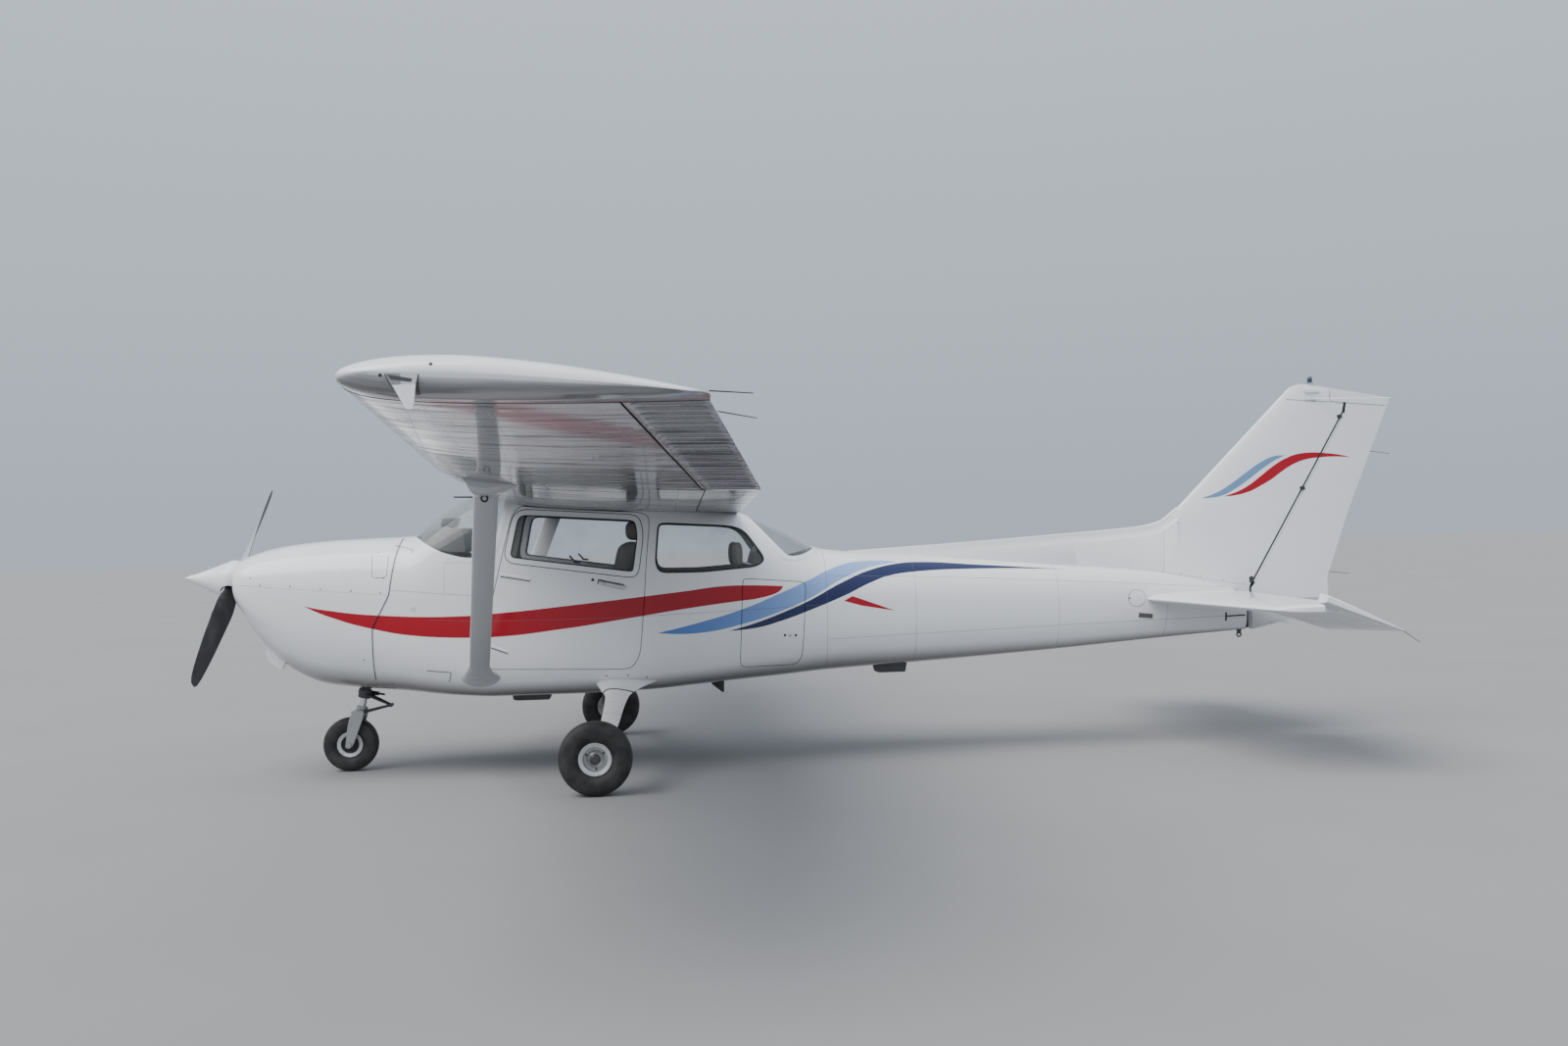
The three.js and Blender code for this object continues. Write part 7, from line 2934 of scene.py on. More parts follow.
        parts.append(rod("socket", self.on_steer_axis(425), self.on_steer_axis(372), 36))
        weld(crown, parts)
        complete(crown, self.finishes.gear, "nose_fork", ("nose_fork",))
        links = []
        for half in (-1, 1):
            for start, end in (((-90, 0, 505), (72, 0, 425)), ((-105, 0, 385), (72, 0, 425))):
                near = (start[0], half * 34, start[2])
                far = (end[0], half * 12, end[2])
                links.append(rod("link", near, far, 9, 7))
        knee = rod("nose_torque_links", (72, -30, 425), (72, 30, 425), 12)
        weld(knee, links)
        complete(knee, self.finishes.dark_metal, "nose_fork")
        self.wheel(self.nose, self.nose_axle, "nose", "nose_wheel", ("nose_hub", "nose_tyre"))

    def build(self) -> None:
        """Makes every piece."""
        self.build_main()
        self.build_nose()


# Cabin fittings


@dataclass
class Interior:
    """Seats, instrument panel and yokes.

    Attributes:
        finishes: the materials.
        sweeper: the maker of tubes.
        panel: the instrument panel, seen from the side.
        hood: the hood over it, in the same way.
        grip: a yoke's grip, as distances from its middle and heights.
    """

    finishes: Finishes
    sweeper: Sweeper
    panel: tuple[Flat, ...] = (
        (290, 1470), (540, 1432), (565, 1410), (520, 1392), (500, 1040), (465, 1040), (470, 1380),
        (285, 1425),
    )
    hood: tuple[Flat, ...] = (
        (325, 1480), (350, 1545), (440, 1582), (620, 1588), (640, 1430), (540, 1436),
    )
    grip: tuple[Flat, ...] = (
        (-115, 1290), (-110, 1215), (-60, 1195), (0, 1197), (60, 1195), (110, 1215), (115, 1290),
    )

    def cushion(self, name: str, low: Spot, high: Spot, crown: float,
            lean: float = 0.0) -> bpy.types.Object:
        """A crowned pad whose sides pull in between its corners.

        Args:
            name: the piece's name.
            low: its lowest corner.
            high: its highest corner.
            crown: how far its faces bulge.
            lean: how far its top leans back, for each millimetre of height.

        Returns:
            The pad, with its creases softened.
        """
        middle = (np.array(low) + np.array(high)) / 2
        half = (np.array(high) - np.array(low)) / 2
        shape = bmesh.new()
        bmesh.ops.create_cube(shape, size=2.0)
        bmesh.ops.subdivide_edges(shape, edges=shape.edges, cuts=14, use_grid_fill=True)
        power = 9.0
        for vertex in shape.verts:
            unit = np.array(vertex.co)
            length = float(np.sum(np.abs(unit) ** power) ** (1 / power))
            unit = unit / max(length, 0.001)
            pull = np.ones(3)
            for axis in range(3):
                others = [other for other in range(3) if other != axis]
                edge = np.prod([1 - unit[other] ** 2 for other in others])
                pull[axis] = 1 - crown / half[axis] * (1 - edge)
            spot = middle + unit * half * pull
            spot[0] += lean * (spot[2] - low[2])
            vertex.co = Vector(to_frame(spot))
        mesh = bpy.data.meshes.new(name)
        shape.to_mesh(mesh)
        shape.free()
        piece = bpy.data.objects.new(name, mesh)
        bpy.context.scene.collection.objects.link(piece)
        face_outwards(piece)
        self.fill_out(piece)
        smooth(piece, math.radians(70))
        return piece

    def fill_out(self, piece: bpy.types.Object) -> None:
        grain, pressure, frames, most = 0.009, 4.0, 20, 0.012
        remesh = piece.modifiers.new("even", "REMESH")
        remesh.mode = "VOXEL"
        remesh.voxel_size = grain
        settle(piece)
        start = np.array([vertex.co for vertex in piece.data.vertices])
        cloth = piece.modifiers.new("cloth", "CLOTH")
        cloth.settings.quality = 5
        cloth.settings.use_pressure = True
        cloth.settings.uniform_pressure_force = pressure
        cloth.settings.effector_weights.gravity = 0
        cloth.point_cache.frame_end = frames
        for number in range(1, frames + 1):
            bpy.context.scene.frame_set(number)
        settle(piece)
        bpy.context.scene.frame_set(1)
        shift = np.array([vertex.co for vertex in piece.data.vertices]) - start
        length = np.linalg.norm(shift, axis=1)[:, None]
        LOG.info("%s filled out by up to %.1f mm", piece.name, float(length.max()) / MM)
        spots = start + shift * np.minimum(1.0, most / np.maximum(length, 1e-9))
        piece.data.vertices.foreach_set("co", spots.ravel())
        piece.data.update()

    def build_front_seats(self) -> None:
        """The two front seats."""
        for side in Side:
            hand = side.name.lower()
            low_y, high_y = sorted((side.value * 110, side.value * 440))
            seat = self.cushion(f"seat_cushion_{hand}", (1135, low_y, 852), (1635, high_y, 962), 14)
            back = self.cushion(f"seat_back_{hand}", (1520, low_y, 935), (1660, high_y, 1480), 12, 0.17)
            middle = side.value * 275
            head = self.cushion(
                f"head_rest_{hand}", (1655, middle - 110, 1482), (1780, middle + 110, 1604), 8
            )
            base_low, base_high = sorted((side.value * 155, side.value * 405))
            base = block(f"seat_base_{hand}", (1200, base_low, 608), (1560, base_high, 858))
            for piece, material, fill in (
                (seat, self.finishes.cloth, 0.6), (back, self.finishes.cloth, 0.6),
                (head, self.finishes.leather, 0.7)
            ):
                dress(piece, material)
                replaced = (f"front_seat_{hand}",) if piece is seat else ()
                finish_piece(piece, "airframe", replaced)
            complete(base, self.finishes.black_plastic, "airframe")

    def build_rear_seat(self) -> None:
        """The rear bench."""
        seat = self.cushion("rear_cushion", (2015, -435, 892), (2465, 435, 988), 14)
        back = self.cushion("rear_back", (2400, -420, 950), (2490, 420, 1440), 12, 0.24)
        base = block("rear_base", (2065, -385, 628), (2395, 385, 890))
        rests = []
        for side in Side:
            y, hand = side.value * 275, side.name.lower()
            low, high = (2350, y - 85, 1285), (2420, y + 85, 1450)
            rests.append(self.cushion(f"rear_head_rest_{hand}", low, high, 10))
            post = rod(f"rear_head_post_{hand}", (2400, y, 1320), (2500, y, 1290), 7)
            complete(post, self.finishes.bright, "airframe")
        for piece in (seat, back, *rests):
            dress(piece, self.finishes.cloth)
            finish_piece(piece, "airframe", ("rear_seat",) if piece is seat else ())
        complete(base, self.finishes.black_plastic, "airframe")

    def build_panel(self) -> None:
        """The instrument panel with its hood and yokes."""
        panel = prism("instrument_board", rounded(self.panel, 12), Plane.SIDE, -440, 440)
        inside = FUSELAGE.body("inside", 0, 900, 31)
        carve(panel, [(Cut.KEEP, inside)])
        hood = prism("panel_hood", rounded(self.hood, 18), Plane.SIDE, -430, 430)
        carve(hood, [(Cut.KEEP, inside)])
        complete(hood, self.finishes.leather, "airframe")
        discard(inside)
        complete(panel, self.finishes.panel, "airframe", ("instrument_panel",))
        for side in Side:
            hand = side.name.lower()
            y = side.value * 230
            grip = [(690, y + aside, height) for aside, height in self.grip]
            yoke = self.sweeper.tube(f"yoke_{hand}", grip, 13, self.finishes.black_plastic, bends=2)
            finish_piece(yoke, "airframe")
            shaft = self.sweeper.tube(
                f"yoke_shaft_{hand}", [(480, y, 1175), (690, y, 1198)], 12, self.finishes.bright
            )
            finish_piece(shaft, "airframe")

    def build(self) -> None:
        """Makes every piece."""
        self.build_front_seats()
        self.build_rear_seat()
        self.build_panel()


# Small parts on the skins


class Skin:
    """The outer faces of finished pieces, met by straight lines from outside."""

    def __init__(self, *names: str) -> None:
        """Reads the pieces.

        Args:
            names: the pieces' names.
        """
        self.trees = []
        for name in names:
            data = bpy.data.objects[name].data
            faces = [tuple(polygon.vertices) for polygon in data.polygons]
            self.trees.append(BVHTree.FromPolygons([vertex.co for vertex in data.vertices], faces))

    def hit(self, start: Spot, way: Spot) -> tuple[Spot, Spot] | None:
        """The first spot that a line meets, in millimetres, and the skin's facing there."""
        met = [tree.ray_cast(Vector(to_frame(start)), Vector(way)) for tree in self.trees]
        met = [entry for entry in met if entry[0] is not None]
        if not met:
            return None
        place, normal, _, _ = min(met, key=lambda entry: entry[3])
        spot = (np.array(place) - (STATION_ZERO, 0, 0)) / MM
        return tuple(spot), tuple(normal)

    def seen(self, line: Sequence[Flat], view: Plane, sign: int, pitch: float) -> list[tuple[Spot, Spot]]:
        """Spots spaced along a line that is seen from one side.

        Args:
            line: its corners in the view, without the coordinate of the depth.
            view: the direction of the depth.
            sign: 1 from starboard or from above, -1 from port or from below.
            pitch: the distance between spots.

        Returns:
            The spots in millimetres, each with the skin's facing.
        """
        column = 1 if view is Plane.SIDE else 2
        flat = np.array(line, float)
        run = np.concatenate([[0.0], np.cumsum(np.linalg.norm(np.diff(flat, axis=0), axis=1))])
        wanted = np.linspace(0, run[-1], max(min(len(flat), 2), round(run[-1] / pitch) + 1))
        places = np.stack([np.interp(wanted, run, flat[:, k]) for k in (0, 1)], 1)
        way = np.zeros(3)
        way[column] = -sign
        starts = np.insert(places, column, sign * FAR, axis=1)
        found = [self.hit(tuple(start), tuple(way)) for start in starts]
        spots = [entry for entry in found if entry is not None and np.dot(entry[1], way) < -0.1]
        return [entry for entry in spots if column == 2 or entry[0][1] * sign > 0]


def oval(middle: Flat, half: Flat, steps: int = 24) -> tuple[Flat, ...]:
    """A closed oval line, whose last point is its first."""
    turn = np.linspace(0, 2 * math.pi, steps + 1)
    return tuple(zip(middle[0] + half[0] * np.cos(turn), middle[1] + half[1] * np.sin(turn)))


BOTH = (Side.RIGHT, Side.LEFT)
PORT = (Side.LEFT,)


@dataclass(frozen=True)
class Trim:
    """A line that lies on the skin, seen from the side.

    Attributes:
        name: the start of its name.
        line: its corners, as stations and heights.
        radius: half its width.
        finish: the name of its material.
        body: the body that it rides on, without its hand where it starts with door.
        sides: the sides that it is on.
        lift: how far its middle stands out of the skin.
        squash: its depth as a share of its width.
    """

    name: str
    line: tuple[Flat, ...]
    radius: float
    finish: str = "seal"
    body: str = "airframe"
    sides: tuple[Side, ...] = BOTH
    lift: float = 0.0
    squash: float = 1.0


@dataclass(frozen=True)
class Heads:
    """Screws, catches or other round heads on the skin, seen from the side.

    Attributes:
        name: the start of their name.
        spots: their stations and heights.
        radius: a head's radius.
        height: how far it stands out.
        finish: the name of their material.
        body: the body that they ride on, without its hand where it starts with door.
        sides: the sides that they are on.
    """

    name: str
    spots: tuple[Flat, ...]
    radius: float = 5.0
    height: float = 1.6
    finish: str = "dark_metal"
    body: str = "airframe"
    sides: tuple[Side, ...] = BOTH


@dataclass(frozen=True)
class Plate:
    """A flat part with an outline seen from the side.

    Attributes:
        name: the start of its name.
        outline: its corners, as stations and heights.
        low: its inner distance out.
        high: its outer distance out.
        finish: the name of its material.
        sides: the sides that it is on, or none when low and high lie on both sides.
        body: the body that it rides on, without its hand for a wing's parts.
        radius: how much its corners are rounded.
    """

    name: str
    outline: tuple[Flat, ...]
    low: float
    high: float
    finish: str = "frame_paint"
    sides: tuple[Side, ...] = ()
    body: str = "airframe"
    radius: float = 6.0


@dataclass(frozen=True)
class Bar:
    """A thin round or tapered bar.

    Attributes:
        name: the start of its name.
        start: one end, on the starboard side.
        end: the other end.
        radius: its radius at the start.
        tip: its radius at the end.
        finish: the name of its material.
        sides: the sides that it is on, or none when it lies in the middle.
        body: the body that it rides on; a hand is added to an aileron.
    """

    name: str
    start: Spot
    end: Spot
    radius: float = 2.2
    tip: float = 1.6
    finish: str = "black_plastic"
    sides: tuple[Side, ...] = BOTH
    body: str = "airframe"


TRIMS = (
    Trim("cowl_line", ((216, 1525), (214, 1500), (190, 1350), (162, 1172), (108, 1068), (54, 965),
            (46, 620)), 2, squash=2.6),
    Trim("vent_line", ((388, 688), (543, 672), (523, 612)), 2.4, sides=PORT),
    Trim("air_door_line", ((179, 1488), (306, 1454), (306, 1434)), 1.8, sides=PORT),
    Trim("oil_door_line", ((50, 1420), (55, 1300), (66, 1284), (138, 1284), (150, 1300), (154, 1420)),
        1.5, sides=PORT),
    Trim("ring_line", oval((318, 1078), (13, 13)), 1.2, sides=PORT),
    Trim("oval_panel_line", oval((5125, 995), (64, 59)), 1.2, sides=PORT),
    Trim("grey_plate", ((5136, 884), (5238, 873)), 1.3, "engine", sides=PORT, squash=17),
    Trim("hinge_cover_upper", ((872, 1284), (1053, 1250)), 6, "frame_paint", "door", squash=1.5),
    Trim("hinge_cover_lower", ((800, 834), (901, 795)), 6, "frame_paint", "door", squash=1.5),
    # Black lines just under the hinge covers, as their painted shadow.
    Trim("hinge_line_upper", ((866, 1272), (1053, 1237)), 2.4, "seal", "door"),
    Trim("hinge_line_lower", ((799, 822), (901, 783)), 2.4, "seal", "door"),
    Trim("handle_base", ((1478, 1224), (1640, 1186)), 2.5, "dark_metal", "door", squash=6.4),
    Trim("handle_paddle", ((1484, 1219), (1560, 1202), (1655, 1180)), 4.5, "alloy", "door", lift=14,
        squash=2.6),
    Trim("handle_post", ((1488, 1218), (1510, 1213)), 8, "bright", "door", lift=7),
    Trim("bracket_line", ((5783, 872), (5785, 846), (5955, 850)), 5, sides=BOTH),
    Trim("bracket_stem", ((5783, 870), (5784, 815)), 6, sides=BOTH),
)
HEADS = (
    Heads("cowl_split_screws", ((-711, 1301), (-648, 1256), (-456, 1245), (-266, 1222), (-75, 1205),
            (110, 1188))),
    Heads("cowl_screws", ((84, 1441), (128, 1280), (-9, 766), (146, 603), (60, 1000), (188, 1330),
            (196, 1480))),
    Heads("fairing_screws", ((1517, 619), (1655, 618), (1773, 600)), 6, 2),
    Heads("door_lock", ((1446, 1236),), 10, 3, "black_plastic", "door"),
    Heads("baggage_catches", ((2672, 839), (2743, 836)), 9, 3, "black_plastic", "baggage_door", PORT),
    Heads("baggage_lock", ((2707, 838),), 12, 2, "bright", "baggage_door", PORT),
    Heads("oval_panel_catch", ((5072, 996),), 7, 2, sides=PORT),
    Heads("tip_screws", ((1092, 1998), (1236, 2028)), 6, 2),
    Heads("fin_root_screws", ((5348, 1172), (5480, 1150), (5620, 1128), (5780, 1100), (5930, 1073)), 4,
        1.4),
)
PLATES = (
    Plate("belly_box_cover", ((870, 530), (880, 440), (905, 432), (1120, 432), (1146, 530)), -75, 75,
        "dark_metal"),
    Plate("belly_aerial_fin", ((2190, 550), (2205, 490), (2275, 433), (2286, 433), (2290, 550)), -6, 6,
        "black_plastic"),
    Plate("tail_aerial_pod", ((3285, 650), (3320, 540), (3352, 531), (3530, 531), (3552, 650)), -17, 17,
        "dark_metal"),
    Plate("cowl_scoop", ((-660, 900), (-676, 815), (-655, 762), (-575, 702), (-540, 770)), -235, -165),
    Plate("tip_lamp_case", ((1101, 2011), (1126, 1963), (1187, 1951), (1203, 2011)), 5364, 5498.4,
        "alloy", BOTH),
    Plate("tip_lamp_rim", ((1096, 2016), (1123, 1958), (1190, 1946), (1208, 2016)), 5400, 5497.6,
        "dark_metal", BOTH),
    Plate("tip_lamp_lens", ((1106, 2002), (1124, 1966), (1150, 1962), (1150, 2002)), 5360, 5499.2,
        "lamp", BOTH),
    Plate("tip_lamp_holder", ((1112, 1999), (1122, 1984), (1180, 1976), (1184, 1986)), 5400, 5499.4,
        "dark_metal", BOTH, radius=3),
    Plate("tip_blade", ((1126, 1968), (1163, 1898), (1184, 1898), (1193, 1970)), 5492, 5499.7,
        sides=BOTH, radius=3),
    # A black plate in the gap at the tail cone's end, as painted shade.
    Plate("tail_gap_filler", ((5941, 990), (5957, 990), (5957, 765), (5941, 757)), -34, 34, "edge",
        radius=2),
    Plate("tail_lug", ((5878, 775), (5888, 716), (5912, 716), (5922, 775)), -5, 5, "dark_metal"),
    Plate("rudder_hinge_slot_high", ((6640, 2232), (6672, 2238), (6682, 2214), (6648, 2206)), -27, 27,
        "edge"),
    Plate("rudder_hinge_slot_middle", ((6352, 1734), (6384, 1742), (6396, 1716), (6362, 1706)), -35, 35,
        "edge"),
    Plate("rudder_hinge_slot_low", ((5968, 1112), (5994, 1120), (6004, 1076), (5972, 1072)), -42, 42,
        "edge"),
    Plate("compass", ((426, 1600), (440, 1656), (552, 1656), (528, 1596)), -38, 38, "panel", radius=8),
    Plate("fin_cap_base", ((6400, 2412), (6480, 2418), (6520, 2398), (6420, 2392)), -40, 40),
)
BARS = (
    Bar("air_probe", (676, 300, 1787), (556, 300, 1789), 6.5, 5.5, "dark_metal", PORT),
    Bar("door_pull", (1335, 492, 1352), (1300, 492, 1392), 6, 6, "black_plastic", body="door"),
    Bar("door_pull_foot", (1325, 492, 1353), (1370, 492, 1347), 6, 6, "black_plastic", body="door"),
    Bar("tip_wick", (2040, 5455, 1941), (2172, 5460, 1931)),
    Bar("aileron_wick", (2085, 4960, 1921), (2215, 4960, 1896), body="aileron"),
    Bar("rudder_wick_high", (6880, 0, 1977), (7034, 0, 1954), sides=(), body="rudder"),
    Bar("rudder_wick_low", (6516, 0, 1141), (6716, 0, 1115), sides=(), body="rudder"),
    Bar("elevator_wick", (6160, 1670, 870), (6286, 1700, 774), body="elevator"),
    Bar("aerial_rod", (6464, 22, 2349), (6894, 300, 2322), 4, 3, "frame_paint"),
    Bar("aerial_foot", (6410, 20, 2340), (6480, 34, 2342), 12, 8, "strut"),
    Bar("visor_post", (500, 0, 1580), (500, 0, 1600), 12, 12, sides=()),
)
RINGS = (
    ("strut_ring_right", (1010, 2440, 1718), 15.5),
    ("strut_ring_left", (1010, -2440, 1718), 15.5),
    ("tail_ring", (5900, 0, 712), 15),
)
RING_THICKNESS = 5.0
FUEL_CAP = ((0, -6), (44, -6), (44, 4), (40, 7), (0, 8))
FUEL_CAP_PLACE = (1180.0, 1500.0)
BULB = ((0, -12), (9, -10), (12, 0), (9, 10), (0, 12))
BULB_PLACE: Spot = (1112.0, 5452.0, 1986.0)
SAUCER = ((0, -14), (60, -14), (61, 0), (52, 9), (34, 15), (0, 18))
SAUCER_PLACE = (724.0, 632.0)
SAUCER_STRETCH = 2
TIP_SEAM = (5277.0, 5283.5)
LEG_RING = (604.0, 612.0)
FUSELAGE_ROWS = (
    ((2970, 810), (3600, 822), (4600, 840), (5800, 859)), ((2970, 1205), (3600, 1180), (4600, 1120),
        (5780, 1045)),
    ((2944, 640), (2944, 1370)), ((3548, 650), (3548, 1320)), ((4548, 672), (4548, 1230)),
    ((5318, 730), (5318, 1150)),
    ((228, 1020), (770, 1000)), ((1830, 1000), (2360, 1002)), ((240, 652), (770, 634)),
    ((1800, 632), (2360, 632)),
    ((527, 660), (527, 1350)), ((1835, 720), (1835, 1230)), ((2356, 700), (2356, 1230)),
    ((2850, 640), (2850, 1300)),
    ((222, 1500), (186, 1180), (78, 965), (70, 640)),
)
WING_ROWS = (
    ((1050, 600), (1050, 2600), (1142, 5250)), ((1070, 600), (1070, 2600), (1162, 5250)),
    ((1320, 600), (1320, 2550), (1350, 5250)), ((1980, 600), (1980, 2540), (1690, 5250)),
    *(((830 + 0.055 * max(0, y - 2550), y), (2030 - 0.11 * max(0, y - 2550), y)) for y in range(780,
            5250, 445)),
)
TAIL_ROWS = tuple(((5260 + 0.14 * y, y), (5835, y)) for y in range(240, 1600, 220))
FIN_ROWS = (
    ((5910, 1150), (6610, 2230)), ((5480, 1300), (6000, 1300)), ((5570, 1500), (6130, 1500)),
    ((5770, 1760), (6290, 1760)), ((5990, 2030), (6460, 2030)),
)


@dataclass
class Fittings:
    """Rivets, screws, catches, lamps, aerials and static wicks.

    Attributes:
        finishes: the materials.
        sweeper: the maker of heads and lines.
        pitch: the distance between rivets.
    """

    finishes: Finishes
    sweeper: Sweeper
    pitch: float = 58.0

    def put(self, piece: bpy.types.Object, body: str, finish: str | None = None) -> None:
        """Finishes a small part."""
        if finish is not None:
            smooth(piece)
            dress(piece, getattr(self.finishes, finish))
        finish_piece(piece, body)

    def skin(self, body: str, hand: str) -> Skin:
        """The skin that lines and heads of a body lie on."""
        if body == "door":
            return Skin(f"door_panel_{hand}")
        if body == "baggage_door":
            return Skin("baggage_door_panel")
        names = ("belly", "cowl_upper_shell", "cowl_lower_shell", "tail_cone_skin", "fin_skin")
        return Skin(f"cabin_wall_{hand}", f"wing_tip_shell_{hand}", *names)

    def build_lines(self) -> None:
        """Lines and heads on the fuselage."""
        for side in Side:
            hand = side.name.lower()
            skins = {body: self.skin(body, hand) for body in ("airframe", "door", "baggage_door")}
            for entry in (*TRIMS, *HEADS):
                if side not in entry.sides:
                    continue
                body = f"door_{hand}" if entry.body == "door" else entry.body
                name, material = f"{entry.name}_{hand}", getattr(self.finishes, entry.finish)
                skin = skins[entry.body]
                if isinstance(entry, Heads):
                    spots = [
                        spot for place in entry.spots
                        for spot in skin.seen([place], Plane.SIDE, side.value, 1)
                    ]
                    piece = self.sweeper.stud(name, spots, entry.radius, entry.height, material)
                else:
                    spots = skin.seen(entry.line, Plane.SIDE, side.value, 14)
                    path = [
                        tuple(np.array(spot) + np.array(facing) * entry.lift) for spot, facing in spots
                    ]
                    piece = self.sweeper.tube(name, path, entry.radius, material, entry.squash)
                self.put(piece, body)

    def build_rivets(self) -> None:
        """Rows of rivets on fuselage, wings and tail."""
        for side in Side:
            hand, sign = side.name.lower(), side.value
            wing = Skin(f"wing_box_{hand}")
            tail = Skin("tail_plane")
            groups = {
                f"fuselage_rivets_{hand}": [
                    spot for row in FUSELAGE_ROWS
                    for spot in self.skin("airframe", hand).seen(row, Plane.SIDE, sign, self.pitch)
                ],
                f"fin_rivets_{hand}": [
                    spot for row in FIN_ROWS
                    for spot in Skin("fin_skin").seen(row, Plane.SIDE, sign, self.pitch)
                ],
            }
            for name, skin, rows in (("wing", wing, WING_ROWS), ("tail", tail, TAIL_ROWS)):
                groups[f"{name}_rivets_{hand}"] = [
                    spot for row in rows for face in (-1, 1)
                    for spot in skin.seen([(x, y * sign) for x, y in row], Plane.PLAN, face, self.pitch)
                ]
            for name, spots in groups.items():
                kind = {"fuselage": "skin", "fin": "tail"}.get(name.split("_")[0], name.split("_")[0])
                rows = self.sweeper.stud(name, spots, 2.8, 1.1, getattr(self.finishes, kind))
                self.put(rows, "airframe")

    def build_parts(self) -> None:
        """Plates, bars and rings."""
        for entry in (*PLATES, *BARS):
            for side in entry.sides or (None,):
                sign = 1 if side is None else side.value
                name = entry.name if side is None else f"{entry.name}_{side.name.lower()}"
                if isinstance(entry, Plate):
                    ends = sorted((sign * entry.low, sign * entry.high))
                    piece = prism(name, rounded(entry.outline, entry.radius), Plane.SIDE, *ends)
                else:
                    start, end = [(x, sign * y, z) for x, y, z in (entry.start, entry.end)]
                    piece = rod(name, start, end, entry.radius, entry.tip)
                handed = entry.body in ("aileron", "door")
                body = f"{entry.body}_{side.name.lower()}" if handed else entry.body
                self.put(piece, body, entry.finish)
        turn = np.linspace(0, 2 * math.pi, 13)[:-1]
        for name, middle, radius in RINGS:
            around = [
                (radius + RING_THICKNESS * math.cos(t), RING_THICKNESS * math.sin(t)) for t in turn
            ]
            self.put(turned(name, around, middle, (0, 1, 0), 32), "airframe", "edge")
        for side in Side:
            self.build_side_parts(side)

    def build_side_parts(self, side: Side) -> None:
        """The fuel cap, the tip's lamp, the rings and the strut's saucer of one side."""
        hand, sign = side.name.lower(), side.value
        station, out = FUEL_CAP_PLACE
        top, facing = Skin(f"wing_box_{hand}").hit((station, sign * out, FAR), (0, 0, -1))
        self.put(turned(f"fuel_cap_{hand}", FUEL_CAP, top, facing, 40), "airframe", "bright")
        name = "green_lamp" if side is Side.RIGHT else "red_lamp"
        spot = (BULB_PLACE[0], sign * BULB_PLACE[1], BULB_PLACE[2])
        self.put(turned(f"tip_position_lamp_{hand}", BULB, spot, (1, 0, 0), 32), "airframe", name)
        ends = [sign * end for end in TIP_SEAM]
        self.put(WING.body(f"tip_seam_{hand}", ends, 0.9), "airframe", "seal")
        leg = Surface(Gear.leg_rows, eased=True, steps=24)
        ends = [sign * end for end in LEG_RING]
        self.put(leg.body(f"leg_ring_{hand}", ends, 2), "airframe", "seal")
        station, height = SAUCER_PLACE
        foot, facing = self.skin("airframe", hand).hit((station, sign * FAR, height), (0, -sign, 0))
        saucer = turned(f"strut_saucer_{hand}", SAUCER, foot, facing, 48)
        middle = STATION_ZERO + foot[0] * MM
        for vertex in saucer.data.vertices:
            vertex.co.x = SAUCER_STRETCH * vertex.co.x - (SAUCER_STRETCH - 1) * middle
        # It takes the struts' grey, which is painted shade.
        self.put(saucer, "airframe", "strut")

    def build(self) -> None:
        """Makes every piece."""
        self.build_lines()
        self.build_rivets()
        self.build_parts()


# The studio


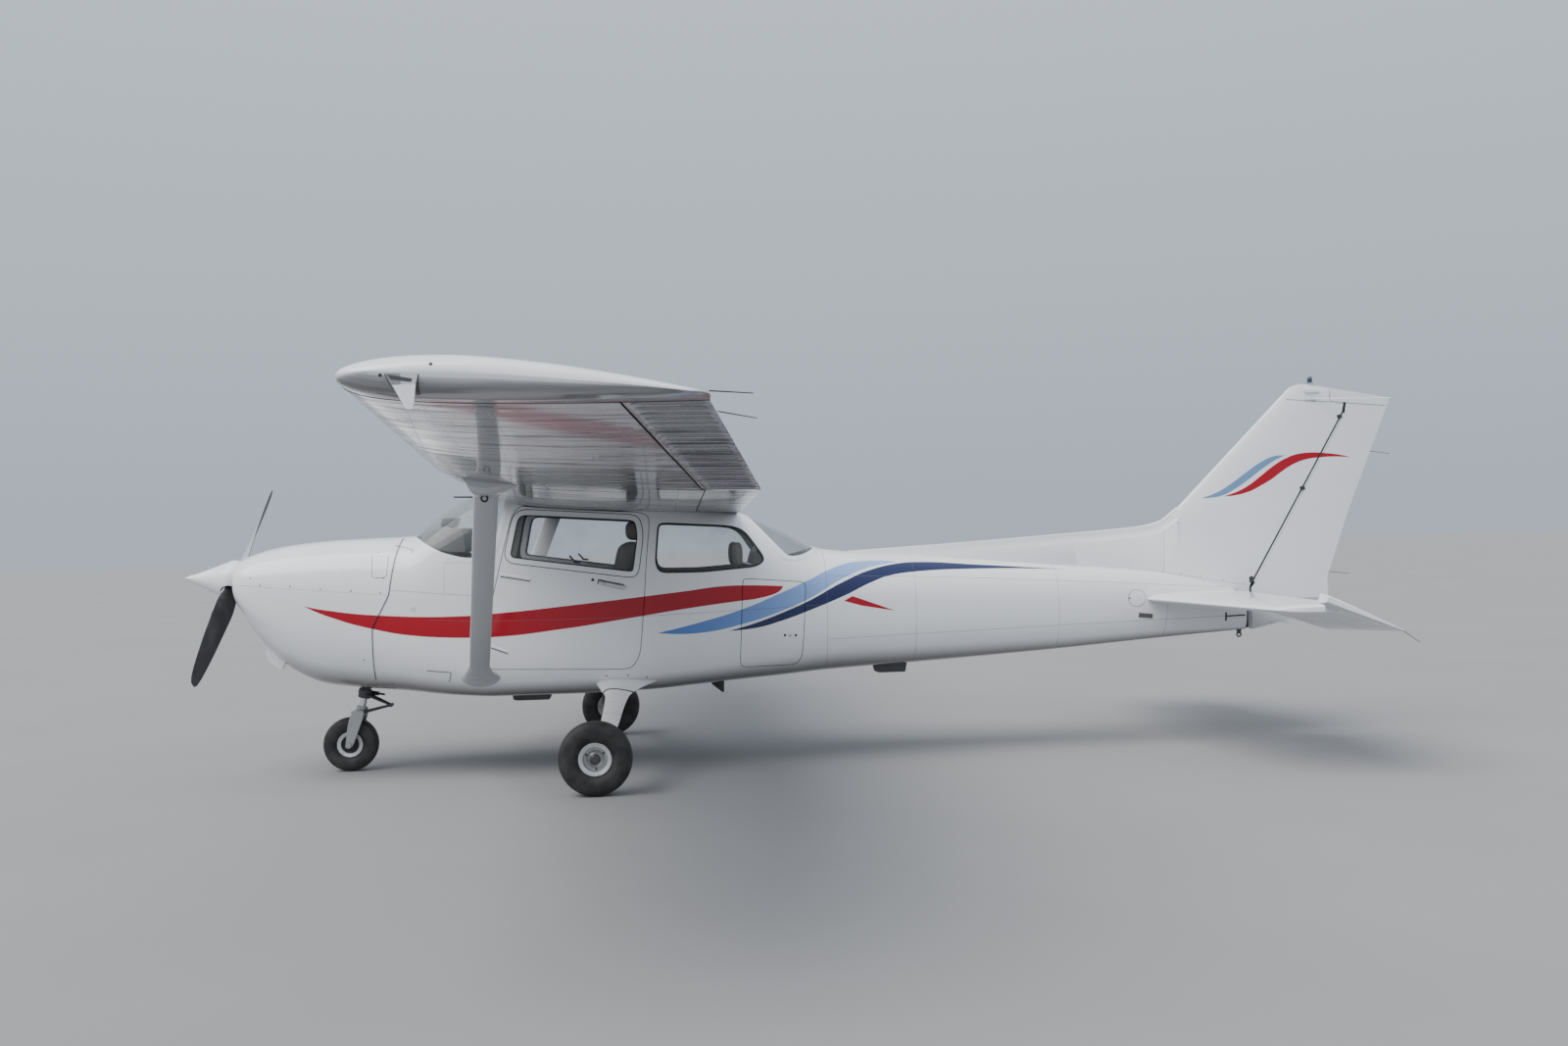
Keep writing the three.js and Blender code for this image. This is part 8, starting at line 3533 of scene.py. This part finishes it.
@dataclass(frozen=True)
class Studio:
    """Camera, floor and light.

    Attributes:
        spot: the camera's station, distance out and height, in millimetres.
        yaw: its turn towards the tail, in radians.
        pitch: its tilt upwards, in radians.
        roll: its roll, in radians.
        lens: its focal length, for a sensor 36 mm wide.
        sun: the sun's strength.
        sky: the sky's strength.
        fill: the strength of the low soft light on the port side.
    """

    spot: Spot = (1889.1, -9693.2, 1521.9)
    yaw: float = 0.0858
    pitch: float = 0.0049
    roll: float = -0.0252
    lens: float = 32.77
    sun: float = 3.5
    sky: float = 1.15
    fill: float = 0.5

    def camera(self) -> None:
        """Stands the camera where the photograph was taken."""
        cosine, sine = math.cos(self.pitch), math.sin(self.pitch)
        ahead = np.array([math.sin(self.yaw) * cosine, math.cos(self.yaw) * cosine, sine])
        right = np.array([math.cos(self.yaw), -math.sin(self.yaw), 0.0])
        up = np.cross(right, ahead)
        across_view = math.cos(self.roll) * right + math.sin(self.roll) * up
        up_view = -math.sin(self.roll) * right + math.cos(self.roll) * up
        data = bpy.data.cameras.new("Camera")
        data.lens = self.lens
        data.sensor_width = 36.0
        data.sensor_fit = "HORIZONTAL"
        data.clip_end = 500.0
        camera = bpy.data.objects.new("Camera", data)
        bpy.context.scene.collection.objects.link(camera)
        columns = np.stack([across_view, up_view, -ahead], 1)
        place = to_frame(self.spot)
        matrix = Matrix.Identity(4)
        for row in range(3):
            for column in range(3):
                matrix[row][column] = columns[row][column]
            matrix[row][3] = place[row]
        camera.matrix_world = matrix
        bpy.context.scene.camera = camera

    def floor(self) -> None:
        """A wide pale floor."""
        size = 90.0
        mesh = bpy.data.meshes.new("floor")
        corners = [(-size, -size, 0), (size, -size, 0), (size, size, 0), (-size, size, 0)]
        mesh.from_pydata(corners, [], [(0, 1, 2, 3)])
        piece = bpy.data.objects.new("floor", mesh)
        bpy.context.scene.collection.objects.link(piece)
        canvas = Canvas("Floor")
        canvas.set(
            Base_Color=canvas.mix(canvas.noise(0.6, 3.0), (0.25, 0.25, 0.253), (0.285, 0.285, 0.288)),
            Roughness=0.85,
        )
        mesh.materials.append(canvas.material)

    def light(self) -> None:
        """A soft high sun from the nose's side and a sky that is paler at the top."""
        sun = bpy.data.lights.new("Sun", "SUN")
        sun.energy = self.sun
        sun.angle = math.radians(50)
        sun.color = (1.0, 0.97, 0.93)
        lamp = bpy.data.objects.new("Sun", sun)
        lamp.rotation_euler = (math.radians(16), math.radians(-30), 0)
        bpy.context.scene.collection.objects.link(lamp)
        world = bpy.data.worlds.new("Sky")
        world.use_nodes = True
        nodes, links = world.node_tree.nodes, world.node_tree.links
        height = nodes.new("ShaderNodeSeparateXYZ")
        links.new(nodes.new("ShaderNodeTexCoord").outputs["Generated"], height.inputs[0])
        ramp = nodes.new("ShaderNodeValToRGB")
        ramp.color_ramp.elements[0].color = (0.42, 0.48, 0.56, 1.0)
        ramp.color_ramp.elements[1].color = (0.78, 0.85, 0.95, 1.0)
        ramp.color_ramp.elements[1].position = 0.75
        links.new(height.outputs["Z"], ramp.inputs["Fac"])
        links.new(ramp.outputs["Color"], nodes["Background"].inputs["Color"])
        nodes["Background"].inputs["Strength"].default_value = self.sky
        bpy.context.scene.world = world
        fill = bpy.data.lights.new("Fill", "SUN")
        fill.energy = self.fill
        fill.angle = math.radians(60)
        lamp = bpy.data.objects.new("Fill", fill)
        lamp.rotation_euler = (math.radians(84), 0, 0)
        lamp.visible_glossy = False
        bpy.context.scene.collection.objects.link(lamp)

    def build(self) -> None:
        """Sets up everything."""
        self.camera()
        self.floor()
        self.light()


def main() -> None:
    """Builds the aircraft's looks around the frame."""
    logging.basicConfig(level=logging.INFO, format="%(message)s")
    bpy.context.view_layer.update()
    Studio().build()
    finishes = Finishes.make()
    sweeper = Sweeper()
    for assembly in (
        Cabin(finishes),
        Cowling(finishes),
        Propulsion(finishes, sweeper),
        Wings(finishes),
        Tail(finishes),
        Gear(finishes, sweeper),
        Interior(finishes, sweeper),
        Fittings(finishes, sweeper),
    ):
        LOG.info("Building the %s", type(assembly).__name__.lower())
        assembly.build()
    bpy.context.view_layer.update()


if __name__ == "__main__":
    main()
